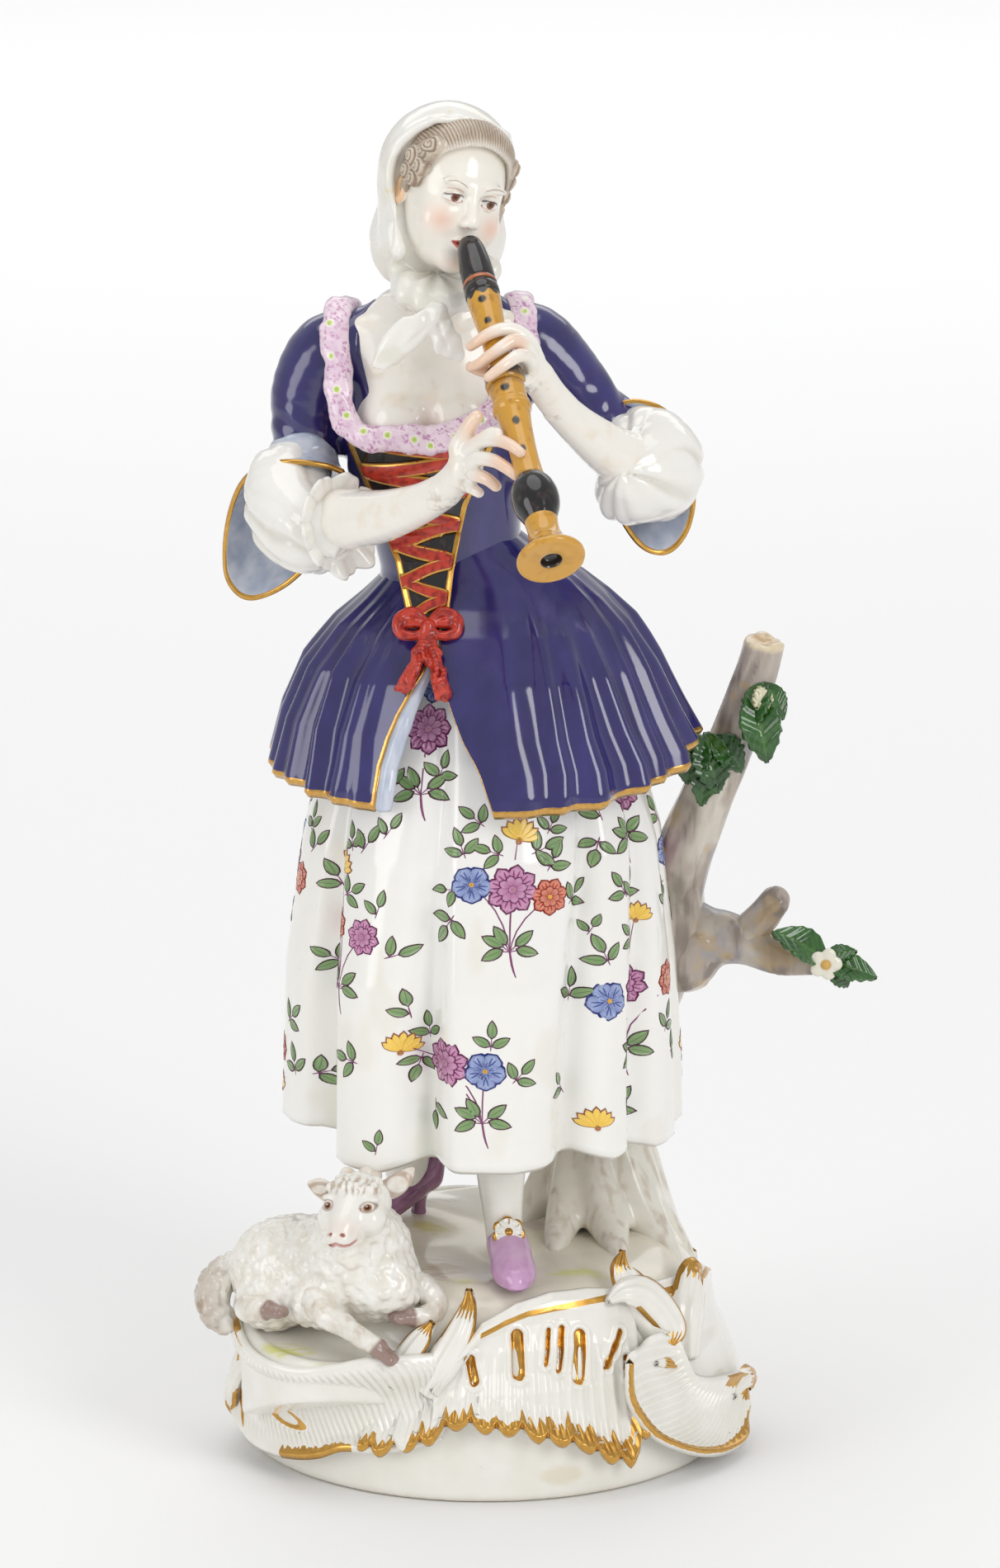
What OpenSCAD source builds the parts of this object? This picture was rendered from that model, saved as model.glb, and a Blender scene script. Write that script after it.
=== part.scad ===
// Porcelain shepherdess playing a recorder, with a lamb and a tree stump on a scrolled base.
// Origin: centre of the base's underside. +Z up, the figure faces -Y.
// Left and right are the shepherdess's own, so her right arm lies towards -X.

/* [Base] */
// Width of the foot, left to right
base_w = 99; // [92:1:106]
// Depth of the foot, front to back
base_d = 98; // [92:1:104]
// Height of the plain band under the scrollwork
plinth_h = 11; // [9:1:13]
// Height of the mound where the shoes stand
mound_h = 40; // [38:1:42]
// Wall of the hollow base
wall_t = 6; // [5:0.5:8]
// Diameter of the vent hole under the base
vent_d = 7; // [5:0.5:9]

/* [Dress] */
// Height of the petticoat's hem above the table
hem_z = 65; // [62:1:68]
// Width of the petticoat at its hem
petticoat_w = 79; // [74:1:84]
// Depth of the petticoat at its hem
petticoat_d = 74; // [68:1:78]
// Height of the jacket skirt's hem
jacket_hem_z = 140; // [136:1:144]
// Width of the jacket skirt at its hem
jacket_w = 84; // [80:1:88]
// Depth of the jacket skirt at its hem
jacket_d = 76; // [72:1:80]

/* [Recorder] */
// Length from beak to bell
recorder_l = 79; // [76:1:82]
// Diameter of the bell
bell_d = 13; // [12:0.5:14]
// Diameter of the tube
tube_d = 6; // [5.5:0.25:6.5]

/* [Hidden] */

sides = 16;          // points round a ring
fine_sides = 24;     // points round a wide ring
tip = 0.12;          // share of the radius left at a rounded end

// Anchor points of the figure
waist = [-5.5, 0, 176];
chest = [-10, -1, 207];
neck_base = [-9.5, 1, 226];
head_c = [-6.3, 0, 252.5];
head_turn = [-6, 12, 20];  // degrees the head nods, leans and turns
right_shoulder = [-30.5, 2, 219];
right_elbow = [-35.5, -3, 199];
right_wrist = [-6.8, -41.5, 201.5];
left_shoulder = [11.5, 3, 221];
left_elbow = [25, -1, 205];
left_wrist = [13.2, -28.5, 215];
beak_tip = [-2.8, -13.4, 243.8];
recorder_dir = [0.1935, -0.76, -0.6206];
left_ankle = [4, -20, 50];
right_ankle = [-17, 4, 54];
trunk_foot = [22, 19, 24];
fork = [36, 14, 98];
lamb_c = [-34, -26, 42];

// ---- Shapes that repeat -------------------------------------------------------------------

function unit(v) = v / norm(v);

// An ellipse of n points round c, from the half axes u and v
function ellipse_ring(c, u, v, n) = [for (i = [0:n - 1]) c + u * cos(360 * i / n) + v * sin(360 * i / n)];

// A solid through a list of rings that all have the same number of points
module skin(rings) {
    n = len(rings[0]);
    m = len(rings);
    sides_list = [
        for (j = [0:m - 2]) for (i = [0:n - 1])
        let (a = j * n + i, b = j * n + (i + 1) % n, c = b + n, d = a + n) each [[a, d, c], [a, c, b]]
    ];
    polyhedron(
        points = [for (r = rings) each r],
        faces = concat([[for (i = [0:n - 1]) i]], sides_list, [[for (i = [n - 1:-1:0]) (m - 1) * n + i]])
    );
}

// A stack of level ellipses, each [z, centre x, centre y, half width, half depth]
module stack(levels, n = sides) {
    skin([for (s = levels) ellipse_ring([s[1], s[2], s[0]], [s[3], 0, 0], [0, s[4], 0], n)]);
}

// An ellipsoid: centre, half axes, and the direction of its long axis
module egg(c, r, up = [0, 0, 1], n = sides, rings = 8) {
    w = unit(up);
    u = unit(cross(abs(w.y) > 0.9 ? [0, 0, 1] : [0, 1, 0], w));
    v = cross(w, u);
    skin([
        for (j = [0:rings])
        let (a = -90 + 180 * j / rings, s = max(cos(a), tip))
        ellipse_ring(c + w * r.z * sin(a), u * r.x * s, v * r.y * s, n)
    ]);
}

function tangent(p, i) = unit(p[min(i + 1, len(p) - 1)] - p[max(i - 1, 0)]);

// A limb along the points p, with half widths r1 across side and r2 at right angles to it, and rounded ends
module limb(p, r1, r2, side = [0, 1, 0], n = sides, round_end = true, round_start = true) {
    last = len(p) - 1;
    body = [
        for (i = [0:last])
        let (t = tangent(p, i), u = unit(cross(side, t)), v = cross(t, u))
        ellipse_ring(p[i], u * r1[i], v * r2[i], n)
    ];
    t0 = tangent(p, 0);
    t1 = tangent(p, last);
    u0 = unit(cross(side, t0));
    u1 = unit(cross(side, t1));
    cap0 = [
        for (a = [80, 45])
        ellipse_ring(p[0] - t0 * r2[0] * 0.6 * sin(a), u0 * r1[0] * cos(a), cross(t0, u0) * r2[0] * cos(a), n)
    ];
    cap1 = [
        for (a = [45, 80])
        ellipse_ring(p[last] + t1 * r2[last] * 0.6 * sin(a), u1 * r1[last] * cos(a),
                     cross(t1, u1) * r2[last] * cos(a), n)
    ];
    skin(concat(round_start ? cap0 : [], body, round_end ? cap1 : []));
}

// How far the mound's side has drawn in from the foot at height z
function lean(z) = lookup(z, [[0, 0], [11, 1.5], [22, 3], [30, 5.5], [36, 9], [44, 13]]);

// A point on the base's side: angle from the front towards +X, outward offset and height
function base_point(angle, out, z) =
    [(base_w / 2 + out - lean(z)) * sin(angle), -(base_d / 2 + out - lean(z)) * cos(angle), z];

// A band that hugs the base from angle a0 to a1, with heights and thicknesses interpolated along it
module band(a0, a1, low, high, thick, steps = 14) {
    skin([
        for (j = [0:steps])
        let (
            t = j / steps,
            a = a0 + (a1 - a0) * t,
            z0 = lookup(t, low),
            z1 = lookup(t, high),
            d = lookup(t, thick) + 2.4
        )
        [for (k = [0:11])
            base_point(a, -2.4 + d / 2 - d / 2 * sin(30 * k), (z0 + z1) / 2 - (z1 - z0) / 2 * cos(30 * k))]
    ]);
}

// A leaf: root, direction, the way its face looks, length and width
module leaf(root, dir, face, length, width, thick = 1.1) {
    d = unit(dir);
    w = unit(cross(face, d));
    f = cross(d, w);
    skin([
        for (t = [0, 0.12, 0.35, 0.6, 0.82, 1])
        let (half = max(width / 2 * sqrt(sin(180 * min(t + 0.03, 0.99))), 0.3))
        ellipse_ring(root + d * length * t - f * length * 0.18 * t * t, w * half, f * thick / 2, 10)
    ]);
}

// Places a shape drawn round the head's own centre
module on_head() {
    translate(head_c) rotate([head_turn.x, 0, 0]) rotate([0, head_turn.y, 0]) rotate([0, 0,
            head_turn.z]) children();
}

// A raised rim along the base's side through [angle, outward offset, height] stops
module rim(stops, r) {
    limb([for (s = stops) base_point(s.x, s.y, s.z)], [for (s = stops) r], [for (s = stops) r],
            [0.1, 0.2, 1], 8);
}

// ---- Base ---------------------------------------------------------------------------------

module mound_levels(inset) {
    w = base_w / 2 - inset;
    d = base_d / 2 - inset;
    top = mound_h - inset;
    stack([
        [inset, 0, 0, w, d],
        [2 + inset, 0, 0, w, d],
        [plinth_h, 0, 0, w - 1.5, d - 1.5],
        [22, 0, 0, w - 3, d - 3],
        [30, 0, 0, w - 5.5, d - 5.5],
        [top - 3.6, 0, 0, w - 9.5, d - 9.5],
        [top - 0.8, 1, 0.5, w - 14, d - 13],
        [top, 2, 1, w - 24, d - 22]
    ], fine_sides);
}

module base_mound() {
    color("ivory") difference() {
        mound_levels(0);
        mound_levels(wall_t);
        translate([0, 20, -1]) cylinder(h = wall_t + 3, d = vent_d, $fn = 48);
    }
}

module lamb_ledge() {
    color("ivory") stack([
        [12, -28, -21, 14, 15],
        [22, -29, -23, 16.5, 17.5],
        [29, -29.5, -23.5, 18.5, 19],
        [32, -29.5, -23.5, 17.6, 18],
        [32.6, -29.5, -23.5, 14, 15]
    ], fine_sides);
}

module front_cartouche() {
    color("white") {
        band(-14, 44, [[0, 15], [0.3, 13], [0.62, 14], [0.85, 9], [1, 14]],
             [[0, 30], [0.15, 35], [0.4, 39], [0.8, 41], [1, 36]], [[0, 2.5], [0.3, 5], [0.7, 6.5],
                     [1, 3.5]], 20);
        for (k = [0:5])
            rim([[1 + 5.4 * k, 4.4 + 0.35 * k, 20 + 0.5 * k], [2 + 5.6 * k, 4 + 0.3 * k, 30 + 0.8 * k]], 1.1);
    }
}

module left_scroll() {
    color("white") {
        band(-104, -16, [[0, 9], [0.4, 11], [0.75, 10], [1, 13]], [[0, 22], [0.5, 26], [0.85, 28], [1, 27]],
             [[0, 2.5], [0.5, 4.5], [0.85, 3.5], [1, 2]], 20);
        rim([[-98, 2.4, 24], [-86, 3.4, 22], [-74, 3.8, 16], [-62, 4, 13.4], [-46, 3.8, 13],
                [-32, 3, 15]], 1.3);
        rim([[-40, 3.4, 24], [-32, 3.6, 26.4], [-24, 2.6, 28], [-18, 2, 30]], 1.2);
    }
}

module right_scroll() {
    color("white") {
        band(46, 98, [[0, 12], [0.3, 9], [0.6, 9], [1, 9]], [[0, 37], [0.4, 31], [0.7, 24], [1, 16]],
             [[0, 3.5], [0.6, 6.5], [1, 3.5]], 16);
        rim([[49, 4, 34], [58, 5.4, 29], [70, 6.2, 22], [82, 5.4, 15], [90, 4, 11.4]], 1.4);
        rim([[48, 3.8, 14], [57, 5, 11.5], [68, 5.8, 11], [80, 5, 11.4]], 1.3);
    }
}

module back_scroll() {
    color("white") {
        band(112, 246, [[0, 10], [0.25, 13], [0.5, 9], [0.75, 13], [1, 10]], [[0, 22], [0.3, 28],
                [0.5, 31], [0.8, 26], [1, 24]],
             [[0, 2.5], [0.5, 4.5], [1, 2.5]], 24);
        rim([[118, 2.6, 20], [132, 3.4, 22], [146, 3.6, 26], [163, 4.2, 25], [180, 4.4, 28],
                [197, 4.2, 24], [212, 3.6, 23], [228, 3.2, 22], [240, 2.6, 20]], 1.3);
    }
}

module base_fringe() {
    color("gold") for (k = [0:6]) {
        a = -8 + 6.4 * k;
        drop = [0, 0.6, 1.4, 2.2, 3.2, 4.6, 3][k];
        egg(base_point(a, 3 + 0.25 * k, 16.4 - drop), [2.7, 1.8, 2.3], [0, 0, 1], 10, 5);
    }
}

// A curled tip with half widths r along its points
module curl(p, r) {
    limb(p, r, [for (x = r) x * 0.75 + 0.2], [0, 1, 0], 12);
}

module scroll_tips() {
    color("gold") {
        curl([[-12, -46, 28], [-9.4, -46.4, 33], [-6, -45.4, 37.4], [-3.6, -44.6, 42]], [3, 3, 2.2, 1]);
        curl([[25, -38, 31], [27.6, -35, 36], [29, -31, 40.6], [26.4, -29, 44.2]], [3.4, 3.4, 2.8, 1.2]);
        curl([[39, -17, 24], [43.4, -12, 28], [44.2, -8, 32], [41.4, -6, 35]], [3.2, 3.2, 2.6, 1.2]);
        curl([[44, -20, 9], [49.6, -17, 7.4], [53.6, -14, 9.4], [52.8, -11, 13.4]], [2.8, 2.8, 2.4, 1.2]);
        curl([[39, -28, 17], [44.6, -23, 18], [47.8, -20, 21], [46, -18, 24]], [2.6, 2.6, 2.2, 1.1]);
    }
}

// ---- Tree ---------------------------------------------------------------------------------

module tree_trunk() {
    color("tan") {
        limb([trunk_foot, [22, 19, 32], [21.6, 19, 44], [21.6, 18.4, 56], [25, 17, 70],
                [30.6, 16, 85], fork, [37.6, 14, 110]],
             [17.5, 14, 11, 10.4, 9.4, 8.6, 8, 6.4], [14, 11.5, 9.4, 8.6, 8.4, 7.8, 7.2, 6],
                     [0, 1, 0], fine_sides, true, false);
        limb([[22, 13, 52], [26, 8, 40], [30, 2, 33], [31, -6, 31]], [3.4, 4, 3.6, 2], [3.4, 4, 3, 1.6],
                [0, 0, 1], 14);
        limb([[28, 17, 54], [33, 15, 42], [38.6, 12, 32], [41, 8, 26]], [3.4, 4, 3.8, 2.4],
                [3.4, 4, 3.4, 2], [0, 0, 1], 14);
        limb([[16, 14, 48], [12, 10, 42], [7, 7, 39.4]], [3.4, 3.4, 2], [3.4, 3, 1.6], [0, 0, 1], 14);
    }
}

module upper_branch() {
    color("tan") limb([[38, 14, 112], [43, 13, 125], [49, 12.5, 140], [54, 12, 154], [55.6, 12, 160]],
                      [6.2, 5.3, 5, 4.4, 4.2], [5.8, 5.1, 4.8, 4.4, 4.2], [0, 1, 0], sides, false, false);
}

module lower_branch() {
    color("tan") limb([[41, 14, 96], [47, 12, 99], [53, 11, 98], [60, 9, 95], [67, 7, 94]],
                      [7, 5.4, 4.2, 2.8, 1.6], [6, 5, 4, 2.8, 1.6], [0, 1, 0]);
}

module branch_knob() {
    color("tan") limb([[53, 11, 101], [56.5, 10.5, 104], [57.8, 10.2, 106]], [3.4, 3.3, 2.6], [3.4, 3.3, 2.6]);
}

module upper_leaves() {
    color("olivedrab") {
        leaf([54.5, 6.2, 149], [0.1, -0.35, -1], [-0.3, -1, 0.1], 14, 8);
        leaf([57.8, 8, 147], [0.3, 0.1, -1], [0.6, -1, 0], 8, 5);
    }
}

module middle_leaves() {
    color("darkgreen") {
        leaf([43, 6.6, 137], [0.1, -0.3, -1], [-0.5, -1, 0], 15, 7);
        leaf([47.5, 6.8, 134], [0.1, -0.1, -1], [0.5, -1, 0], 13, 6);
        leaf([50.6, 7.8, 133], [0.8, -0.2, -0.6], [0.2, -1, 0.2], 6, 3);
    }
}

module lower_leaves() {
    color("darkgreen") {
        leaf([66, 2, 98], [-1, -0.2, 0.15], [0, -0.8, 0.6], 12, 8);
        leaf([62, 1.5, 100.4], [1, 0.1, -0.1], [0, 0.4, 1], 11, 3);
        leaf([67, 2.5, 94], [1, -0.1, -0.1], [0, -1, 0.5], 11, 6);
    }
}

module branch_flower() {
    color("white") egg([67.4, 1.6, 96.6], [2.6, 1.3, 2.6]);
}

// ---- Lamb ---------------------------------------------------------------------------------

module lamb_body() {
    color("whitesmoke") limb(
        [lamb_c + [-13, 2, 0.2], lamb_c + [-6, 1, 1], lamb_c + [3, -2, 1], lamb_c + [9, -6, 1.5],
                lamb_c + [11, -9, 4]],
        [7, 9.2, 9.4, 9, 6.5], [7.5, 9.5, 10, 9.5, 7], [0, 0, 1]);
}

module lamb_head() {
    color("whitesmoke") {
        limb([lamb_c + [9, -12, 17], lamb_c + [7, -16, 14], lamb_c + [5.2, -19, 10.5]],
             [6.2, 5, 3.2], [5.8, 4.8, 2.8], [1, 0, 0]);
        limb([lamb_c + [10.5, -9.5, 6], lamb_c + [10, -10, 12]], [7.5, 6.4], [7, 6], [1, 0, 0]);
    }
}

module lamb_ears() {
    color("whitesmoke") {
        leaf([-28.4, -37.5, 58.6], [-1, 0.2, 0.5], [0.1, -1, 0.2], 8, 4.4, 2);
        leaf([-19.5, -37, 60], [1, 0.2, 0.4], [-0.1, -1, 0.2], 8.5, 4.4, 2);
    }
}

module lamb_tail() {
    color("whitesmoke") limb([lamb_c + [-17, 3, 1], lamb_c + [-20.5, 2, -2], lamb_c + [-20.5, 0, -8]],
                             [2.8, 3.4, 2.6], [2.8, 3.4, 2.6]);
}

module lamb_stretched_leg() {
    color("whitesmoke") limb([[-29.4, -38, 37.6], [-24.6, -42.6, 34.6], [-19.6, -46, 33.4]],
                             [3.4, 2.4, 2.4], [3.2, 2.2, 2.2], [0, 0, 1]);
}

module lamb_folded_leg() {
    color("whitesmoke") limb([[-16.6, -34.4, 39], [-10.4, -37, 37.4], [-15.6, -40.4, 35.6]],
                             [2.8, 2.6, 2.2], [2.8, 2.6, 2.2], [0, 0, 1]);
}

module lamb_hind_leg() {
    color("whitesmoke") limb([[-48, -31.4, 36.8], [-43.6, -36, 35.4], [-38.4, -38, 34.8]],
                             [2.6, 2.4, 2.2], [2.8, 2.4, 2.2], [0, 0, 1]);
}

// ---- Legs and shoes -----------------------------------------------------------------------

module left_leg() {
    color("white") limb([[3, -18, hem_z + 1], [3.4, -19, 58], left_ankle, [4.4, -21.5, 46.4]],
                        [4.6, 4, 3.1, 3.3], [4.6, 4.1, 3.3, 3.6], [0, 1, 0], sides, false, false);
}

module left_shoe() {
    color("plum") limb([[4.2, -18.5, 43.4], [4.8, -24, 43.2], [5.4, -30, 42.2], [5.9, -35, 41.4]],
                       [3.3, 3.9, 4.2, 3.2], [3, 2.9, 2.2, 1.6], [0, 0, 1]);
}

module shoe_rosette() {
    color("gold") translate([4.9, -26.4, 47.4]) rotate([-52, 0, 0]) rotate_extrude($fn = 48)
        polygon([[0, -1.3], [2.6, -1.2], [3.4, -0.4], [3.2, 0.3], [1.4, 0.6], [1, 1.2], [0, 1.4]]);
}

module right_leg() {
    color("white") limb([[-16, 5, hem_z + 1], [-16.5, 5, 59], right_ankle + [0, 1.4, -1.6]],
                        [4.6, 4.4, 3.4], [4.6, 4.4, 3.6], [0, 1, 0], sides, false, false);
}

module right_shoe() {
    color("plum") {
        limb([[-11.8, 6, 49.8], [-17, 3.4, 47.6], [-23, 0.5, 44.2], [-27, -1.5, 42.6]],
             [3.6, 3.5, 3.2, 2.4], [3, 3, 2.2, 1.6], [0, 0, 1]);
        translate([-12.2, 6, 38.5]) cylinder(h = 9.5, r1 = 2, r2 = 1.9, $fn = 32);
    }
}

// ---- Dress --------------------------------------------------------------------------------

// One level of a skirt with folds: height, centre, half axes, number of folds, their depth and a hem dip
function folded(z, c, w, d, folds, depth, dip, n) = [
    for (i = [0:n - 1])
    let (a = 360 * i / n, s = 1 + depth * cos(folds * a + 40))
    [c.x + w * s * cos(a), c.y + d * s * sin(a), z - dip * cos(folds * a)]
];

module petticoat() {
    n = 48;
    w = petticoat_w / 2;
    d = petticoat_d / 2;
    color("ghostwhite") skin([
        folded(hem_z + 3.5, [-0.8, 0], w - 5, d - 5, 8, 0, 0, n),
        folded(hem_z, [-0.8, 0], w - 2.2, d - 2.2, 8, 0.02, 0, n),
        folded(hem_z, [-0.8, 0], w, d, 8, 0.025, 0.5, n),
        folded(hem_z + 15, [-0.8, 0], w, d, 8, 0.025, 0, n),
        folded(100, [-0.9, 0], w - 1.3, d - 1.5, 8, 0.02, 0, n),
        folded(125, [-0.8, 0], w - 4, d - 4, 8, 0.015, 0, n),
        folded(jacket_hem_z + 4, [-1, 0], w - 8, d - 8, 8, 0.01, 0, n),
        folded(162, [-3, 0], 18, 17, 8, 0, 0, n)
    ]);
}

// Half width, half depth and centre of the jacket skirt at height z
function flare(z) = [
    lookup(z, [[jacket_hem_z - 2, jacket_w / 2], [152, jacket_w / 2 - 4.2], [162, jacket_w / 2 - 11],
            [170, 21], [177, 14.8]]),
    lookup(z, [[jacket_hem_z - 2, jacket_d / 2], [152, jacket_d / 2 - 4.2], [162, jacket_d / 2 - 10.5],
            [170, 18], [177, 12.6]]),
    lookup(z, [[jacket_hem_z, -0.4], [162, -2.6], [177, waist.x]])
];

// One half of the jacket skirt, from its front edge round to the back seam.
// a_top and a_hem are the front edge's angles at the waist and at the hem.
module skirt_half(a_top, a_hem, a_back, steps = 26) {
    skin([
        for (j = [0:steps])
        [for (k = [0:11])
            let (
                inner = k > 5,
                i = inner ? 11 - k : k,
                h = i / 5,
                t = j / steps,
                a = (a_top + (a_hem - a_top) * h) * (1 - t) + a_back * t,
                z = 177 - (177 - jacket_hem_z) * pow(h, 0.9) - 1.5 * h * cos(11 * a),
                f = flare(z),
                fold = 1 + 0.035 * h * cos(11 * a),
                off = inner ? 3 : 0
            )
            [f.z + (f.x * fold - off) * sin(a), -(f.y * fold - off) * cos(a), z - (inner ? 0.2 : 0)]]
    ]);
}

module jacket_skirt_right() {
    color("darkslateblue") skirt_half(-14, -28, -181);
}

module jacket_skirt_left() {
    color("darkslateblue") skirt_half(-14, 3, 181);
}

module jacket_lining() {
    color("lightsteelblue") skin([
        for (t = [0, 0.25, 0.5, 0.75, 1])
        let (c = [-9.6, -20.6, 166] * (1 - t) + [-16.4, -37.6, 138.4] * t, half = 0.8 + 2.6 * t)
        [for (p = [[-1, 0.2], [-0.5, -0.5], [0.5, -0.7], [1, -0.2], [0.6, 1],
                [-0.6, 1]]) c + [p.x * half, p.y, 0]]
    ]);
}

module bodice() {
    color("darkslateblue") stack([
        [waist.z, waist.x, waist.y, 14, 11.8],
        [183, -6.4, 0, 14.2, 11.6],
        [192, -8, -0.4, 15.6, 12],
        [200, -9.4, -0.8, 17.6, 12.8],
        [206.5, chest.x, chest.y, 18.4, 13.2]
    ], fine_sides);
}

module bodice_back() {
    color("darkslateblue") skin([
        for (j = [0:16])
        let (
            a = -96 + 12 * j,
            dip = 3.4 * sin(180 * j / 16),
            top = 228.5 - dip
        )
        [for (p = [[200, 0], [207, 0], [214, 0], [220, 0], [top - 2, 0], [top, -0.6], [top, -2.4],
                [top - 3, -3], [214, -3], [200, -3]])
            let (
                w = lookup(p.x, [[200, 18], [207, 19.6], [214, 21.2], [220, 20.6], [226, 17.4],
                        [229, 15]]) + p.y,
                d = lookup(p.x, [[200, 13.4], [207, 13.6], [214, 13.2], [220, 12], [226, 10], [229, 9]]) + p.y
            )
            [-9.8 + w * sin(a), d * cos(a), p.x]]
    ]);
}

module stomacher() {
    color("black") skin([
        for (s = [[172.5, -9.8, 2.6, -13.6], [182, -10.2, 6, -12.8], [192, -11.4, 9.4, -13.2],
                [204.5, -12.8, 13.6, -14.2]])
        [for (p = [[-1, 0.3], [-0.5, -0.8], [0, -1.2], [0.5, -0.8], [1, 0.3], [0, 1.6]])
            [s[1] + p.x * s[2], s[3] + p.y, s[0]]]
    ]);
}

module lacing() {
    color("firebrick") for (k = [0:5]) {
        z = 179 + 4.6 * k;
        half = 3.2 + 1.75 * k;
        x = -10 - 0.5 * k;
        y = -15.2 - 0.14 * k;
        limb([[x - half, y + 0.8, z - 0.6], [x, y, z], [x + half, y + 0.8, z + 0.6]],
             [0.8, 0.9, 0.8], [0.55, 0.6, 0.55], [0, 0, 1], 8);
    }
}

module waist_bow() {
    color("firebrick") {
        egg([-11, -19.6, 170.2], [1.6, 1.4, 1.6], [0, 0, 1], 12, 6);
        limb([[-12, -19.6, 170.4], [-14.6, -19.9, 171.4], [-16, -19.6, 171.2]], [1.1, 2, 1.6],
                [1, 1.3, 1], [0, 1, 0], 12);
        limb([[-10, -19.6, 170.4], [-7, -19.9, 171.2], [-5.4, -19.4, 170.8]], [1.1, 2, 1.6], [1, 1.3, 1],
                [0, 1, 0], 12);
        limb([[-11.6, -20.2, 169], [-13.6, -22.4, 165.4], [-16.2, -24.6, 161.6]], [1.1, 1.4, 1.8],
                [0.8, 0.7, 0.7], [0, 1, 0], 12);
        limb([[-10.4, -20.4, 168.6], [-9.4, -22.8, 164.6], [-8.6, -24.8, 160.4]], [1.1, 1.4, 1.8],
                [0.8, 0.7, 0.7], [0, 1, 0], 12);
    }
}

// A gathered puff along the points p: folds run along it
module puff(p, r, side, folds, depth) {
    last = len(p) - 1;
    skin([
        for (i = [0:last])
        let (t = tangent(p, i), u = unit(cross(side, t)), v = cross(t, u))
        [for (k = [0:35])
            let (a = 10 * k, s = r[i] * (1 + depth * cos(folds * a)))
            p[i] + (u * cos(a) + v * sin(a)) * s]
    ]);
}

// ---- Bust, sleeves and arms ---------------------------------------------------------------

module bust() {
    color("seashell") stack([
        [206.5, chest.x, chest.y, 17, 12.4],
        [212, -10, -0.6, 19.4, 12],
        [218, -9.8, 0.6, 20, 10.4],
        [223, -9.6, 1, 16, 8.4],
        [226.5, -9.4, 1, 8.4, 6.6],
        [232, -8.6, 0.6, 6.2, 6.2],
        [238, -7.6, 0.2, 6, 6.2]
    ], fine_sides);
}

module neckline_frill() {
    color("plum") limb(
        [[-27, 0, 229], [-28.4, -6, 221], [-27.6, -10.4, 213], [-24.5, -12.8, 207.2], [-17, -15, 205],
                [-9.6, -16, 205],
         [-2, -15.2, 207], [4.4, -13, 210.6], [8.4, -9, 217], [9.6, -4, 224], [8, 1, 230.4]],
        [2.2, 2.1, 2.1, 2.3, 2.5, 2.2, 2.5, 2.3, 2.1, 2.1, 2.2],
                [1.7, 1.7, 1.7, 1.9, 2, 1.8, 2, 1.9, 1.7, 1.7, 1.7], [0, 1, 0.3], 12);
}

module right_sleeve() {
    color("darkslateblue") limb([right_shoulder + [3, 0, 3.4], right_shoulder + [0, 0, -1],
            [-34.2, 1, 210], right_elbow + [0, 1.5, 3]],
                                [6, 7.2, 6.8, 6.2], [7, 7.8, 7.2, 6.8], [0, 1, 0], sides, false, true);
}

module right_cuff() {
    color("lightsteelblue") skin([
        ellipse_ring(right_elbow + [0, 1.5, 1.6], [6.4, 0, 0.8], [1.6, 3.6, -6], fine_sides),
        ellipse_ring(right_elbow + [-2.8, -2.6, -5], [9.6, 1.2, 2.4], [2.4, 4.2, -9.4], fine_sides),
        ellipse_ring(right_elbow + [-3.6, -5.4, -9.8], [11.6, 1.6, 3.4], [2.2, 3.8, -14], fine_sides),
        ellipse_ring(right_elbow + [-3.4, -6.2, -10.2], [10.4, 1.4, 3], [2, 3.4, -12.6], fine_sides),
        ellipse_ring(right_elbow + [-2.4, -4.6, -6.6], [8.6, 1, 2], [2, 3.6, -9], fine_sides)
    ]);
}

module right_puff() {
    color("whitesmoke") puff([[-38.4, -7.6, 193.4], [-38.8, -10.6, 191.4], [-37.4, -14, 189.6],
            [-34, -17, 189.8], [-31, -19, 190.6], [-29.8, -19.8, 190.8]],
                             [4, 8, 8.8, 8.4, 7, 4], [0, 0, 1], 7, 0.06);
}

module right_ruffle() {
    n = 36;
    function wave(c, r, depth) = [
        for (i = [0:n - 1])
        let (a = 360 * i / n, s = r * (1 + depth * cos(6 * a)))
        c + [0.62, 0.45, -0.1] * s * cos(a) * 0.9 + [0.05, 0.12, 1] * s * sin(a)
    ];
    color("whitesmoke") skin([
        wave([-29.6, -19.4, 191.4], 7, 0),
        wave([-28, -20.8, 190.8], 9.4, 0.08),
        wave([-27, -21.8, 190.6], 9, 0.08),
        wave([-27.4, -21.2, 191.2], 6.6, 0)
    ]);
}

module right_forearm() {
    color("seashell") limb([[-27.2, -21.8, 192], [-22, -27, 193.6], [-15, -33.6, 196.6], right_wrist],
                           [5.8, 5.8, 4.8, 3.5], [5.8, 5.8, 4.8, 3.1], [0, 0, 1], sides, false, false);
}

// A hand: wrist, palm centre, knuckle direction, finger tips and thumb tip
module hand(wrist, palm, tips, knuckles, thumb) {
    limb([wrist, (wrist + palm) / 2, palm], [3.1, 3.6, 4.2], [2.6, 2.6, 2.6], [0.3, 0.9, 0.2], 14);
    for (k = [0:len(tips) - 1])
        limb([palm, knuckles[k], (knuckles[k] + tips[k]) / 2 + [0, -0.8, 0.4],
                tips[k]],
             [1.5, 1.5, 1.3, 1.1], [1.5, 1.5, 1.3, 1.1], [0.2, 0.3, 1], 10);
    limb([palm, (palm + thumb) / 2, thumb], [1.8, 1.6, 1.3], [1.8, 1.6, 1.3], [1, 0, 0], 10);
}

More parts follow.
